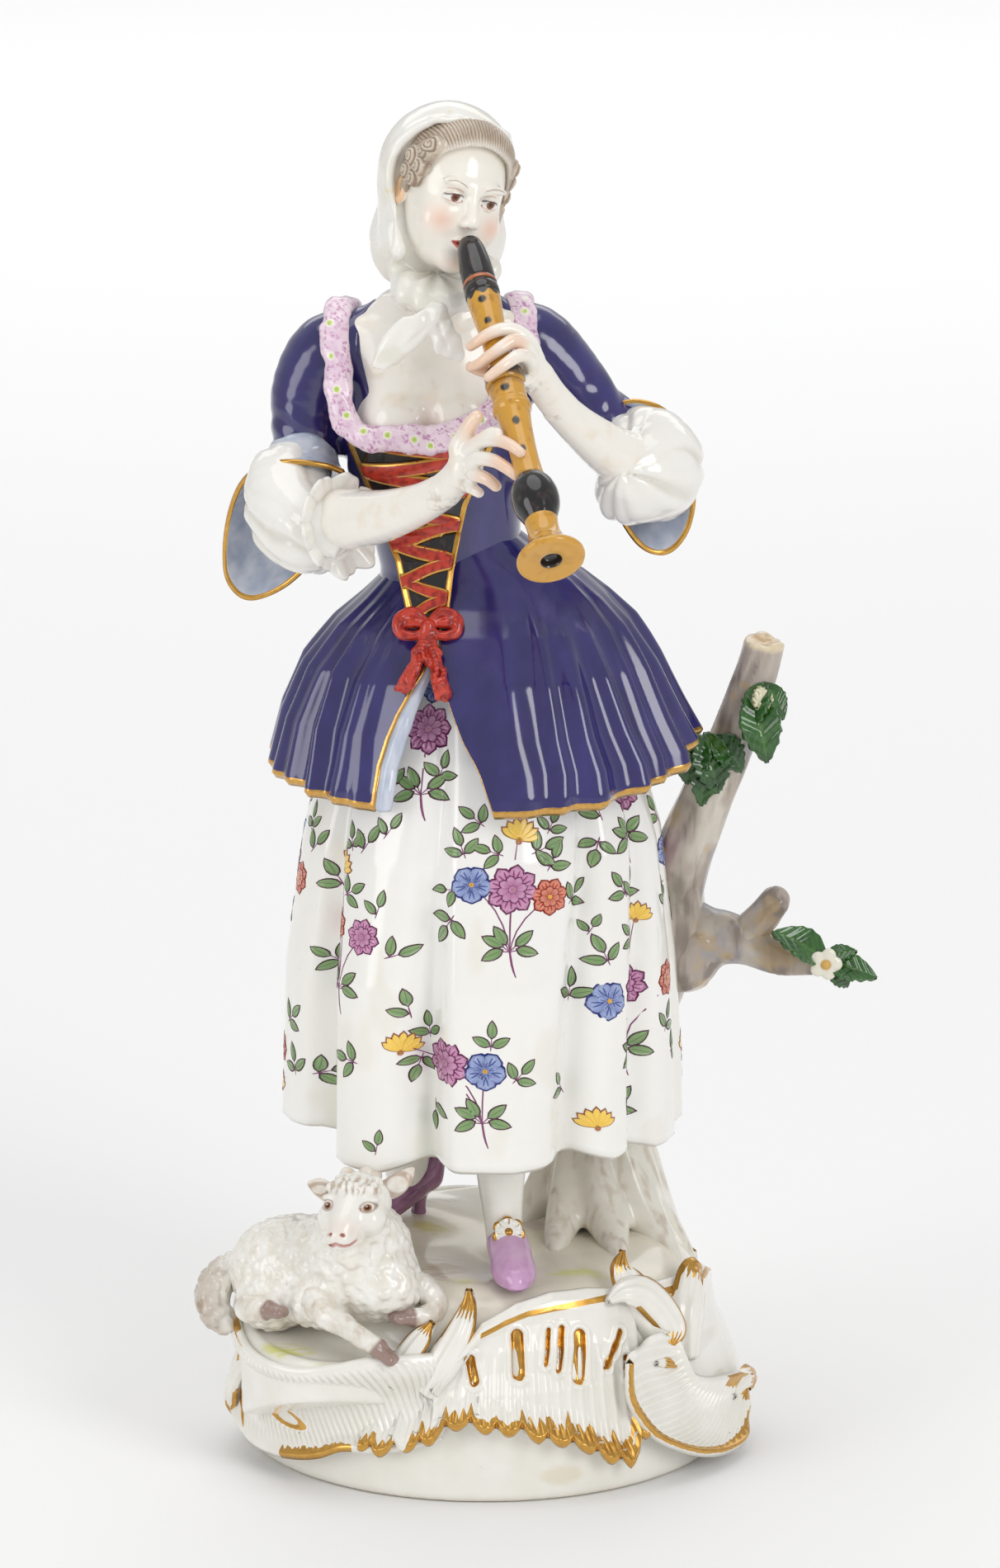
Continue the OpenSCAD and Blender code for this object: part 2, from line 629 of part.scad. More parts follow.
module right_hand() {
    color("seashell") hand(
        right_wrist + [0.4, -0.5, 0.4], [-2.6, -45.4, 207],
        [[6.6, -54.8, 209.6], [6, -54, 206.4], [3.6, -50.4, 212.6]],
        [[0.4, -49.8, 210.6], [0.2, -49.4, 207.8], [-0.6, -48, 213]],
        [-2.2, -46.6, 216]);
}

module left_sleeve() {
    color("darkslateblue") limb([left_shoulder + [-3, 0, 3], left_shoulder + [1, 0, -0.6],
            [18.6, 1.6, 213.4], left_elbow + [-1, 1, 1.4]],
                                [6, 7, 7, 6.4], [7, 7.6, 7.2, 6.8], [0, 1, 0], sides, false, true);
}

module left_cuff() {
    color("lightsteelblue") skin([
        ellipse_ring(left_elbow + [0.6, 0.6, 0.4], [3.6, 3, -4.6], [3.4, -1, 5], fine_sides),
        ellipse_ring(left_elbow + [6, -1, -3.4], [4.6, 2.6, -8.6], [5.6, -1.2, 5.2], fine_sides),
        ellipse_ring(left_elbow + [9, -2.4, -6.6], [4, 2.6, -13.2], [7, -1.4, 5.4], fine_sides),
        ellipse_ring(left_elbow + [9, -3.2, -6.6], [3.8, 2.4, -12], [6, -1.2, 4.6], fine_sides),
        ellipse_ring(left_elbow + [6.6, -2, -4], [4, 2.2, -8], [4.8, -1, 4.4], fine_sides)
    ]);
}

module left_puff() {
    color("whitesmoke") puff([[31.4, -4, 201.6], [33, -6, 200.2], [34, -9, 198.4], [33, -13, 197],
            [31, -16, 197.4], [29.8, -17.4, 198.4]],
                             [5, 9, 10.2, 9.6, 7.6, 4], [0, 0, 1], 8, 0.05);
}

module left_forearm() {
    color("seashell") limb([[29, -14.6, 199], [25.4, -17.6, 201.6], [19.6, -22.8, 207.4], left_wrist],
                           [6, 5.8, 4.8, 3.3], [5.6, 5.4, 4.6, 3], [0, 1, 0], sides, false, false);
}

// A hand: wrist, palm centre, knuckle direction, finger tips and thumb tip
module hand(wrist, palm, tips, knuckles, thumb) {
    limb([wrist, (wrist + palm) / 2, palm], [3.1, 3.6, 4.2], [2.6, 2.6, 2.6], [0.3, 0.9, 0.2], 14);
    for (k = [0:len(tips) - 1])
        limb([palm * 0.5 + knuckles[k] * 0.5, knuckles[k], (knuckles[k] + tips[k]) / 2 + [0, -0.8, 0.4],
                tips[k]],
             [1.5, 1.5, 1.3, 1.1], [1.5, 1.5, 1.3, 1.1], [0.2, 0.3, 1], 10);
    limb([palm - [0, 0.5, 0], (palm + thumb) / 2, thumb], [1.8, 1.6, 1.3], [1.8, 1.6, 1.3], [1, 0, 0], 10);
}

module right_hand() {
    color("seashell") hand(
        right_wrist + [0.4, -0.5, 0.4], [-2.6, -45.4, 207],
        [[6.6, -54.8, 209.6], [6, -54, 206.4], [3.6, -50.4, 212.6]],
        [[0.4, -49.8, 210.6], [0.2, -49.4, 207.8], [-0.6, -48, 213]],
        [-2.2, -46.6, 216]);
}

module left_sleeve() {
    color("darkslateblue") limb([left_shoulder + [-3, 0, 3], left_shoulder + [1, 0, -0.6],
            [18.6, 1.6, 213.4], left_elbow + [-1, 1, 1.4]],
                                [6, 7, 7, 6.4], [7, 7.6, 7.2, 6.8], [0, 1, 0], sides, false, true);
}

module left_cuff() {
    color("lightsteelblue") skin([
        ellipse_ring(left_elbow + [0.6, 0.6, 0.4], [3.6, 3, -4.6], [3.4, -1, 5], fine_sides),
        ellipse_ring(left_elbow + [6, -1, -3.4], [4.6, 2.6, -8.6], [5.6, -1.2, 5.2], fine_sides),
        ellipse_ring(left_elbow + [9, -2.4, -6.6], [4, 2.6, -13.2], [7, -1.4, 5.4], fine_sides),
        ellipse_ring(left_elbow + [9, -3.2, -6.6], [3.8, 2.4, -12], [6, -1.2, 4.6], fine_sides),
        ellipse_ring(left_elbow + [6.6, -2, -4], [4, 2.2, -8], [4.8, -1, 4.4], fine_sides)
    ]);
}

module left_puff() {
    color("whitesmoke") puff([[31.4, -4, 201.6], [33, -6, 200.2], [34, -9, 198.4], [33, -13, 197],
            [31, -16, 197.4], [29.8, -17.4, 198.4]],
                             [5, 9, 10.2, 9.6, 7.6, 4], [0, 0, 1], 8, 0.05);
}

module left_forearm() {
    color("seashell") limb([[29, -19.6, 201], [25, -24, 203.6], [20, -29.6, 208.4], left_wrist],
                           [6, 5.8, 4.8, 3.3], [5.6, 5.4, 4.6, 3], [0, 1, 0], sides, false, false);
}

module left_hand() {
    color("seashell") hand(
        left_wrist + [-0.4, -0.6, 0.6], [9.4, -32, 222.4],
        [[-1.6, -37.4, 227.6], [-0.8, -39.4, 224.4], [0.4, -41, 221]],
        [[6.4, -37, 228.2], [6.6, -38.8, 225], [7, -40, 221.6]],
        [1.6, -30.4, 226]);
}

// ---- Head ---------------------------------------------------------------------------------

// Skull and jaw, drawn round the head's centre: [height, centre y, half width, half depth], grown by g
function skull(g) = [
    [-14.8 - g, -6.6, 2.6 + g, 2.4 + g], [-13.4, -5.8, 5 + g, 4.8 + g], [-10.6, -4, 7.2 + g, 7.6 + g],
    [-6.5, -1.6, 9 + g, 10.4 + g], [-2, 0, 10 + g, 12 + g], [3, 0.6, 10.6 + g, 12.6 + g],
            [8, 0.8, 10.1 + g, 12.1 + g],
    [12, 1, 7.9 + g, 9.6 + g], [14.3 + g * 0.7, 1.2, 4.6 + g, 5.6 + g], [15.1 + g, 1.2, 1.4 + g, 1.7 + g]
];

module skull_shape(g) {
    skin([for (s = skull(g)) ellipse_ring([0, s[1], s[0]], [s[2], 0, 0], [0, s[3], 0], fine_sides)]);
}

module head() {
    color("seashell") on_head() {
        skull_shape(0);
        limb([[0, -11.4, 2.6], [0, -12.6, -0.6], [0, -13.4, -3.2], [0, -12.8, -4.4]], [0.8, 1, 1.5, 1.2],
                [0.8, 1.1, 1.3, 1], [1, 0, 0], 12);
        egg([0, -11.5, -7.2], [2.4, 1, 0.8], [0, 0, 1], 14, 6);
        egg([0, -11, -8.4], [2, 1.1, 0.9], [0, 0, 1], 14, 6);
        egg([4, -10.2, 0.6], [1.9, 1, 1.1], [0, 0, 1], 14, 6);
        egg([-4, -10.2, 0.6], [1.9, 1, 1.1], [0, 0, 1], 14, 6);
    }
}

module hair() {
    color("tan") on_head() difference() {
        skull_shape(1.2);
        skull_shape(0.1);
        translate([-20, -30, -20]) cube([40, 60, 13]);
        rotate([12, 0, 0]) translate([-8.4, -30, -8]) cube([16.8, 26, 15.5]);
    }
}

module head_scarf() {
    color("white") {
        on_head() difference() {
            skull_shape(2.9);
            skull_shape(1.3);
            translate([-20, -30, -20]) cube([40, 60, 10]);
            rotate([-20, 0, 0]) translate([-20, -36, -20]) cube([40, 30, 44]);
        }
        limb([[-17.6, -1.6, 250], [-17.8, -4, 243], [-14.6, -7.6, 236.4], [-10.4, -11.6, 232]],
             [1.5, 2, 2.4, 1.6], [5.4, 5, 4, 2.2], [0, 1, 0], 16);
        limb([[6.2, -3, 249], [2.4, -5, 241], [-3, -8, 235.4], [-8, -11.6, 232]],
             [1.4, 1.6, 1.8, 1.4], [5, 4.4, 3.4, 2], [0, 1, 0], 16);
        limb([[-9.4, 9.6, 252], [-9.8, 9.6, 242], [-9.8, 9, 232]], [9, 8, 6.4], [3.4, 3, 1.6], [0, 1, 0]);
    }
}

module scarf_knot() {
    color("white") {
        egg([-9.4, -14, 231.4], [2.6, 2.2, 2.4], [0, 0, 1], 14, 6);
        limb([[-10, -14.4, 230.6], [-14, -15, 226.4], [-16.6, -15, 221.6], [-17.6, -14.8, 218.6]],
             [1.2, 3, 2.6, 1.4], [1, 1, 0.9, 0.8], [0, 1, 0], 14);
        limb([[-8.4, -14.4, 230.6], [-6.4, -15, 226.4], [-5.4, -14.8, 222.6]], [1.2, 2.8, 2.4],
                [1, 1, 0.9], [0, 1, 0], 14);
    }
}

// ---- Recorder -----------------------------------------------------------------------------

// Where along the tube each joint starts and ends, as shares of its length
beak_end = 0.17;
upper_end = 0.46;
lower_end = 0.75;
bulb_end = 0.89;

// Turns a profile of [radius, height] points about the recorder's axis
module turned(profile) {
    d = unit(recorder_dir);
    tilt = acos(d.z);
    turn = atan2(d.y, d.x);
    translate(beak_tip) rotate([0, tilt, turn]) rotate_extrude($fn = 64) polygon(profile);
}

module recorder_beak() {
    e = beak_end * recorder_l;
    r = tube_d / 2;
    color("black") turned([[0, 0], [r * 0.55, 0.2], [r * 0.95, 3], [r * 1.1, 7], [r * 0.98, e - 1.6],
            [r * 1.02, e], [0, e]]);
}

module recorder_upper_joint() {
    s = beak_end * recorder_l;
    e = upper_end * recorder_l;
    r = tube_d / 2;
    color("goldenrod") turned([[0, s], [r, s], [r * 0.98, s + 2], [r * 0.86, s + 9], [r * 0.92, e - 2],
            [r * 1.04, e], [0, e]]);
}

module recorder_lower_joint() {
    s = upper_end * recorder_l;
    e = lower_end * recorder_l;
    r = tube_d / 2;
    color("goldenrod") turned([[0, s], [r * 1.06, s], [r * 1.1, s + 2.4], [r * 0.92, s + 5],
            [r * 1.12, s + 6.4],
                               [r * 0.92, s + 7.6], [r * 0.86, e - 3], [r * 0.84, e], [0, e]]);
}

module recorder_bulb() {
    s = lower_end * recorder_l;
    e = bulb_end * recorder_l;
    r = tube_d / 2;
    color("black") turned([[0, s], [r * 0.9, s], [r * 1.18, s + 1.6], [r * 1.36, s + 5],
            [r * 1.26, s + 8], [r * 0.9, e], [0, e]]);
}

module recorder_bell() {
    s = bulb_end * recorder_l;
    r = tube_d / 2;
    b = bell_d / 2;
    color("goldenrod") turned([[0, s], [r * 0.88, s], [r * 0.9, s + 2], [r * 1.2, s + 4.6],
            [b * 0.92, recorder_l - 2],
                               [b, recorder_l - 1.2], [b * 0.96, recorder_l], [0, recorder_l]]);
}

// ---- Nodes --------------------------------------------------------------------------------

base_mound();
lamb_ledge();
front_cartouche();
left_scroll();
right_scroll();
back_scroll();
base_fringe();
scroll_tips();
tree_trunk();
upper_branch();
lower_branch();
branch_knob();
upper_leaves();
middle_leaves();
lower_leaves();
branch_flower();
lamb_body();
lamb_head();
lamb_ears();
lamb_tail();
lamb_stretched_leg();
lamb_folded_leg();
lamb_hind_leg();
left_leg();
left_shoe();
shoe_rosette();
right_leg();
right_shoe();
petticoat();
jacket_skirt_right();
jacket_skirt_left();
jacket_lining();
bodice();
bodice_back();
stomacher();
lacing();
waist_bow();
bust();
neckline_frill();
right_sleeve();
right_cuff();
right_puff();
right_ruffle();
right_forearm();
right_hand();
left_sleeve();
left_cuff();
left_puff();
left_forearm();
left_hand();
head();
hair();
head_scarf();
scarf_knot();
recorder_beak();
recorder_upper_joint();
recorder_lower_joint();
recorder_bulb();
recorder_bell();
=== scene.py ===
"""Porcelain shepherdess playing a recorder, with a lamb and a tree stump, on a gilded scroll base.

Helpers work in millimetres in the shared frame and the meshes are written in metres.
"""
import math

import bpy
import numpy as np
import openvdb
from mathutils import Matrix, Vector


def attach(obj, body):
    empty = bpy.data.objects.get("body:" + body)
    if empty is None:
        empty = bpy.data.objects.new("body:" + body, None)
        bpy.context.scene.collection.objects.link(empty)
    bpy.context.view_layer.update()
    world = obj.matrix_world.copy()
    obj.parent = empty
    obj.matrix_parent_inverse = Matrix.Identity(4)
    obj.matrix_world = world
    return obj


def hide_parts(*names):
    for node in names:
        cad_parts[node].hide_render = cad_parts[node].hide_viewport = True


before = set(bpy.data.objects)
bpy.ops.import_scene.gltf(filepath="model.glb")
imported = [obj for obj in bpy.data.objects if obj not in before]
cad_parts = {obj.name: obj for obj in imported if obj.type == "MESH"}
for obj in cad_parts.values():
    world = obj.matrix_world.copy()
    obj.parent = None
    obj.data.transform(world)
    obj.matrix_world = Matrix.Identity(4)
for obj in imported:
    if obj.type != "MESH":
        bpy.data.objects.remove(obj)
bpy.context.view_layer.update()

# ---- Colours ------------------------------------------------------------------------------


def linear(*rgb):
    """Screen colour 0..255 to a linear colour."""
    c = np.array(rgb, float) / 255
    return np.where(c <= 0.04045, c / 12.92, ((c + 0.055) / 1.055) ** 2.4)


WHITE = linear(240, 238, 232)
IVORY = linear(232, 229, 218)
SHADE = linear(196, 188, 170)
SKIN = linear(243, 238, 228)
PEACH = linear(238, 196, 165)
COBALT = linear(48, 43, 112)
COBALT_DEEP = linear(32, 28, 88)
RED = linear(188, 56, 38)
RED_DEEP = linear(142, 30, 22)
BLACK = linear(26, 24, 26)
LIME = linear(178, 208, 80)
OCHRE = linear(206, 152, 52)
LEAF = linear(52, 104, 40)
LEAF_DARK = linear(24, 62, 24)


def blend(a, b, t):
    """Colour a to colour b by t, for arrays."""
    t = np.clip(np.asarray(t, float), 0, 1)[..., None]
    return a * (1 - t) + b * t


def ease(x, lo, hi):
    """Smooth step from 0 at lo to 1 at hi."""
    t = np.clip((x - lo) / (hi - lo), 0, 1)
    return t * t * (3 - 2 * t)


# ---- Noise --------------------------------------------------------------------------------

TABLE = np.random.default_rng(11).random((32, 32, 32)).astype(np.float32)


def noise(p):
    """Value noise, 0..1, at points p of shape (..., 3)."""
    i = np.floor(p).astype(int)
    f = p - i
    f = f * f * (3 - 2 * f)
    total = 0
    for dx in (0, 1):
        wx = f[..., 0] if dx else 1 - f[..., 0]
        for dy in (0, 1):
            wy = wx * (f[..., 1] if dy else 1 - f[..., 1])
            for dz in (0, 1):
                w = wy * (f[..., 2] if dz else 1 - f[..., 2])
                total = total + w * TABLE[(i[..., 0] + dx) & 31, (i[..., 1] + dy) & 31, (i[..., 2] + dz) & 31]
    return total


def fbm(p, octaves=3):
    """Layered noise, about -1..1."""
    total, size, gain = 0, 1.0, 1.0
    for k in range(octaves):
        total = total + gain * (noise(p * size + 17.3 * k) * 2 - 1)
        size *= 2
        gain *= 0.5
    return total


# ---- Modelling clay: distance grids -------------------------------------------------------


def vec(*v):
    return np.array(v, float)


def unit(v):
    return v / np.linalg.norm(v)


def turn(x=0, y=0, z=0):
    """Rotation matrix, degrees about X, then Y, then Z."""
    a, b, c = np.radians([x, y, z])
    rx = np.array([[1, 0, 0], [0, math.cos(a), -math.sin(a)], [0, math.sin(a), math.cos(a)]])
    ry = np.array([[math.cos(b), 0, math.sin(b)], [0, 1, 0], [-math.sin(b), 0, math.cos(b)]])
    rz = np.array([[math.cos(c), -math.sin(c), 0], [math.sin(c), math.cos(c), 0], [0, 0, 1]])
    return rz @ ry @ rx


def curve(points, n):
    """A smooth curve of n points through the given points, for any number of columns."""
    p = np.array(points, float)
    t = np.linspace(0, len(p) - 1, n)
    i = np.clip(t.astype(int), 0, len(p) - 2)
    f = (t - i)[:, None]
    q = np.vstack([2 * p[0] - p[1], p, 2 * p[-1] - p[-2]])
    a, b, c, d = q[i], q[i + 1], q[i + 2], q[i + 3]
    return 0.5 * (2 * b + (c - a) * f + (2 * a - 5 * b + 4 * c - d) * f ** 2
                  + (3 * b - a - 3 * c + d) * f ** 3)


class Clay:
    """A block of clay with a grid of distances h mm apart; shapes are added to it and cut from it."""

    FAR = 3.0

    def __init__(self, lo, hi, h):
        self.h = h
        self.lo = np.array(lo, float)
        self.n = np.ceil((np.array(hi, float) - self.lo) / h).astype(int) + 1
        self.d = np.full(self.n, self.FAR, np.float32)

    def window(self, lo, hi):
        """The slices of the grid between two corners, and their coordinates."""
        a = np.clip(np.floor((np.array(lo) - self.lo) / self.h).astype(int), 0, self.n - 1)
        b = np.clip(np.ceil((np.array(hi) - self.lo) / self.h).astype(int) + 1, a + 1, self.n)
        grid = [self.lo[k] + self.h * np.arange(a[k], b[k]) for k in range(3)]
        return tuple(slice(i, j) for i, j in zip(a, b)), grid

    def merge(self, s, d, k, cut):
        """Adds a shape's distances d to a window, or cuts them from it, with a soft join k mm wide."""
        old = self.d[s]
        if cut:
            old, d = -old, d
        if k > 0:
            t = np.clip(k - np.abs(old - d), 0, None) / k
            new = np.minimum(old, d) - t * t * k * 0.25
        else:
            new = np.minimum(old, d)
        self.d[s] = -new if cut else new

    def egg(self, c, r, k=0.0, rot=None, cut=False):
        """An ellipsoid at c with half axes r, melted in over k mm."""
        c, r = np.array(c, float), np.array(r, float)
        rot = np.eye(3) if rot is None else rot
        reach = np.abs(rot) @ r + k + 2 * self.h
        s, g = self.window(c - reach, c + reach)
        x, y, z = (g[0] - c[0])[:, None, None], (g[1] - c[1])[None, :, None], (g[2] - c[2])[None, None, :]
        q = [x * rot[0, j] + y * rot[1, j] + z * rot[2, j] for j in range(3)]
        k0 = np.sqrt(sum((q[j] / r[j]) ** 2 for j in range(3)))
        k1 = np.sqrt(sum((q[j] / r[j] ** 2) ** 2 for j in range(3))) + 1e-6
        self.merge(s, k0 * (k0 - 1) / k1, k, cut)
        return self

    def tube(self, points, radii, k=0.0, flat=None, cut=False, steps=0):
        """A round limb through points with the given radii; flat=(direction, share) thins it that way."""
        pr = np.column_stack([np.array(points, float), np.broadcast_to(radii, len(points))])
        if steps:
            pr = curve(pr, steps)
        p, r = pr[:, :3], np.maximum(pr[:, 3], 0.05)
        reach = r.max() + k + 2 * self.h
        s, g = self.window(p.min(0) - reach, p.max(0) + reach)
        out = np.full([len(a) for a in g], 9.0, np.float32)
        start = np.array([a[0] for a in g])
        n, share = (unit(np.array(flat[0], float)), flat[1]) if flat else (None, 1)
        for a, b, ra, rb in zip(p[:-1], p[1:], r[:-1], r[1:]):
            m = max(ra, rb) + k + 2 * self.h
            i = np.clip(np.floor((np.minimum(a, b) - m - start) / self.h).astype(int), 0, None)
            j = np.minimum(np.ceil((np.maximum(a, b) + m - start) / self.h).astype(int) + 1, out.shape)
            if (j <= i).any():
                continue
            w = tuple(slice(u, v) for u, v in zip(i, j))
            x, y, z = g[0][w[0]][:, None, None], g[1][w[1]][None, :, None], g[2][w[2]][None, None, :]
            ab = b - a
            length = float(ab @ ab) + 1e-9
            t = np.clip(((x - a[0]) * ab[0] + (y - a[1]) * ab[1] + (z - a[2]) * ab[2]) / length, 0, 1)
            q = [x - a[0] - t * ab[0], y - a[1] - t * ab[1], z - a[2] - t * ab[2]]
            if flat:
                along = (q[0] * n[0] + q[1] * n[1] + q[2] * n[2]) * (1 / share - 1)
                q = [part + along * n[axis] for axis, part in enumerate(q)]
            d = (np.sqrt(q[0] ** 2 + q[1] ** 2 + q[2] ** 2) - (ra + t * (rb - ra))) * (share if flat else 1)
            out[w] = np.minimum(out[w], d)
        self.merge(s, out, k, cut)
        return self

    def slab(self, point, normal, k=0.0):
        """Cuts away everything on the side of the plane that the normal points to."""
        n = unit(np.array(normal, float))
        s, g = self.window(self.lo, self.lo + self.n * self.h)
        d = ((g[0] - point[0])[:, None, None] * n[0] + (g[1] - point[1])[None, :, None] * n[1]
             + (g[2] - point[2])[None, None, :] * n[2])
        self.merge(s, -d, k, True)
        return self

    def field(self, fn, k=0.0, cut=False):
        """Adds or cuts a shape given as a distance function of x, y, z arrays."""
        s, g = self.window(self.lo, self.lo + self.n * self.h)
        d = fn(g[0][:, None, None], g[1][None, :, None], g[2][None, None, :])
        self.merge(s, d.astype(np.float32), k, cut)
        return self

    def relief(self, fn, band=1.6):
        """Raises the surface by fn(points) mm."""
        m = np.abs(self.d) < band
        p = self.lo + np.argwhere(m) * self.h
        self.d[m] -= fn(p).astype(np.float32)
        return self

    def mesh(self, smooth=1):
        """Points and quads of the clay's surface after some passes of smoothing."""
        grid = openvdb.FloatGrid(self.FAR)
        grid.copyFromArray(self.d)
        p, q = grid.convertToQuads(isovalue=0.0)
        p = p.astype(float) * self.h + self.lo
        p, q = biggest(p, q.astype(int))
        for _ in range(smooth):
            p = relax(p, q)
        return p, q


def biggest(p, q, share=0.02):
    """Drops loose crumbs: every shell smaller than a share of the biggest one."""
    label = np.arange(len(p))
    e = np.vstack([q[:, [0, 1]], q[:, [1, 2]], q[:, [2, 3]]])
    while True:
        low = np.minimum(label[e[:, 0]], label[e[:, 1]])
        new = label.copy()
        np.minimum.at(new, e[:, 0], low)
        np.minimum.at(new, e[:, 1], low)
        new = new[new]
        if (new == label).all():
            break
        label = new
    size = np.bincount(label, minlength=len(p))
    keep = size[label] >= share * size.max()
    index = np.cumsum(keep) - 1
    q = q[keep[q[:, 0]]]
    return p[keep], index[q]


def relax(p, q, amount=0.5):
    """One pass of smoothing over the mesh's edges."""
    total = np.zeros_like(p)
    count = np.zeros(len(p))
    for a, b in ((0, 1), (1, 2), (2, 3), (3, 0)):
        for i, j in ((a, b), (b, a)):
            for k in range(3):
                total[:, k] += np.bincount(q[:, i], p[q[:, j], k], len(p))
            count += np.bincount(q[:, i], minlength=len(p))
    return p + amount * (total / np.maximum(count, 1)[:, None] - p)


def normals(p, q):
    """Unit normals of a mesh's points."""
    n = np.zeros_like(p)
    f = np.cross(p[q[:, 2]] - p[q[:, 0]], p[q[:, -1]] - p[q[:, 1]])
    for i in range(q.shape[1]):
        for k in range(3):
            n[:, k] += np.bincount(q[:, i], f[:, k], len(p))
    return n / np.maximum(np.linalg.norm(n, axis=1), 1e-9)[:, None]


# ---- Sheets -------------------------------------------------------------------------------


def sheet(fn, nu, nv, thick, closed=False):
    """A closed solid from a sheet. fn(u, v) gives its outer face for u, v in 0..1; u runs round when closed.

    Returns points, quads, the u, v of each point, and its side: 0 on the outer face and 1 on the inner one.
    """
    u = np.arange(nu) / nu if closed else np.linspace(0, 1, nu)
    v = np.linspace(0, 1, nv)
    uu, vv = np.meshgrid(u, v, indexing="ij")
    e = 1e-3
    outer = fn(uu, vv)
    du = fn(uu + e, vv) - fn(uu - e, vv)
    dv = fn(uu, np.minimum(vv + e, 1)) - fn(uu, np.maximum(vv - e, 0))
    n = np.cross(du, dv)
    n /= np.maximum(np.linalg.norm(n, axis=2), 1e-9)[..., None]
    t = np.broadcast_to(thick, uu.shape)[..., None]
    inner = outer - n * t
    dv /= np.maximum(np.linalg.norm(dv, axis=2), 1e-9)[..., None]
    lip0 = (outer + inner)[:, :1] / 2 - dv[:, :1] * t[:, :1] * 0.5
    lip1 = (outer + inner)[:, -1:] / 2 + dv[:, -1:] * t[:, -1:] * 0.5
    loop = np.concatenate([outer, lip1, inner[:, ::-1], lip0], axis=1)
    m = loop.shape[1]
    i = np.arange(nu if closed else nu - 1)[:, None]
    j = np.arange(m)[None, :]
    a, b = i * m + j, ((i + 1) % nu) * m + j
    c, d = ((i + 1) % nu) * m + (j + 1) % m, i * m + (j + 1) % m
    quads = np.stack([a, b, c, d], -1).reshape(-1, 4)
    if not closed:
        ends = []
        for row, flip in ((0, False), (nu - 1, True)):
            k = np.arange(nv - 1)
            o, w = row * m + k, row * m + (m - 2 - k)
            end = np.stack([o, o + 1, w - 1, w], -1)
            end[-1, 1:3] = row * m + nv - 1, row * m + nv + 1
            tips = np.array([[row * m + nv - 1, row * m + nv, row * m + nv + 1, row * m + nv + 1]])
            foot = np.array([[row * m + m - 1, row * m, row * m + m - 2, row * m + m - 2]])
            end = np.vstack([end, tips, foot])
            ends.append(end[:, ::-1] if flip else end)
        quads = np.vstack([quads] + ends)
    uv = np.concatenate([np.stack([uu, vv], -1), np.stack([uu[:, -1:], vv[:, -1:]], -1),
                         np.stack([uu, vv], -1)[:, ::-1], np.stack([uu[:, :1], vv[:, :1]], -1)], axis=1)
    side = np.concatenate([np.zeros(nv), [0.5], np.ones(nv), [0.5]])[None, :].repeat(nu, 0)
    return loop.reshape(-1, 3), quads, uv.reshape(-1, 2), side.reshape(-1)


def loft(rings):
    """A closed solid through rings of equal point counts."""
    n, m = len(rings[0]), len(rings)
    i, j = np.meshgrid(np.arange(m - 1), np.arange(n), indexing="ij")
    q = np.stack([i * n + j, (i + 1) * n + j, (i + 1) * n + (j + 1) % n, i * n + (j + 1) % n],
                 -1).reshape(-1, 4)
    pts = np.vstack(rings + [rings[0].mean(0, keepdims=True), rings[-1].mean(0, keepdims=True)])
    j = np.arange(n)
    e = n * m
    cap0 = np.stack([j, (j + 1) % n, 0 * j + e, 0 * j + e], -1)
    cap1 = np.stack([(m - 1) * n + (j + 1) % n, (m - 1) * n + j, 0 * j + e + 1, 0 * j + e + 1], -1)
    return pts, np.vstack([q, cap0, cap1])


def joined(parts):
    """Joins (points, quads, colours) parts into one."""
    p, q, c, base = [], [], [], 0
    for pp, qq, cc in parts:
        p.append(pp)
        q.append(qq + base)
        c.append(np.broadcast_to(cc, (len(pp), 3)))
        base += len(pp)
    return np.vstack(p), np.vstack(q), np.vstack(c)


# ---- Materials ----------------------------------------------------------------------------


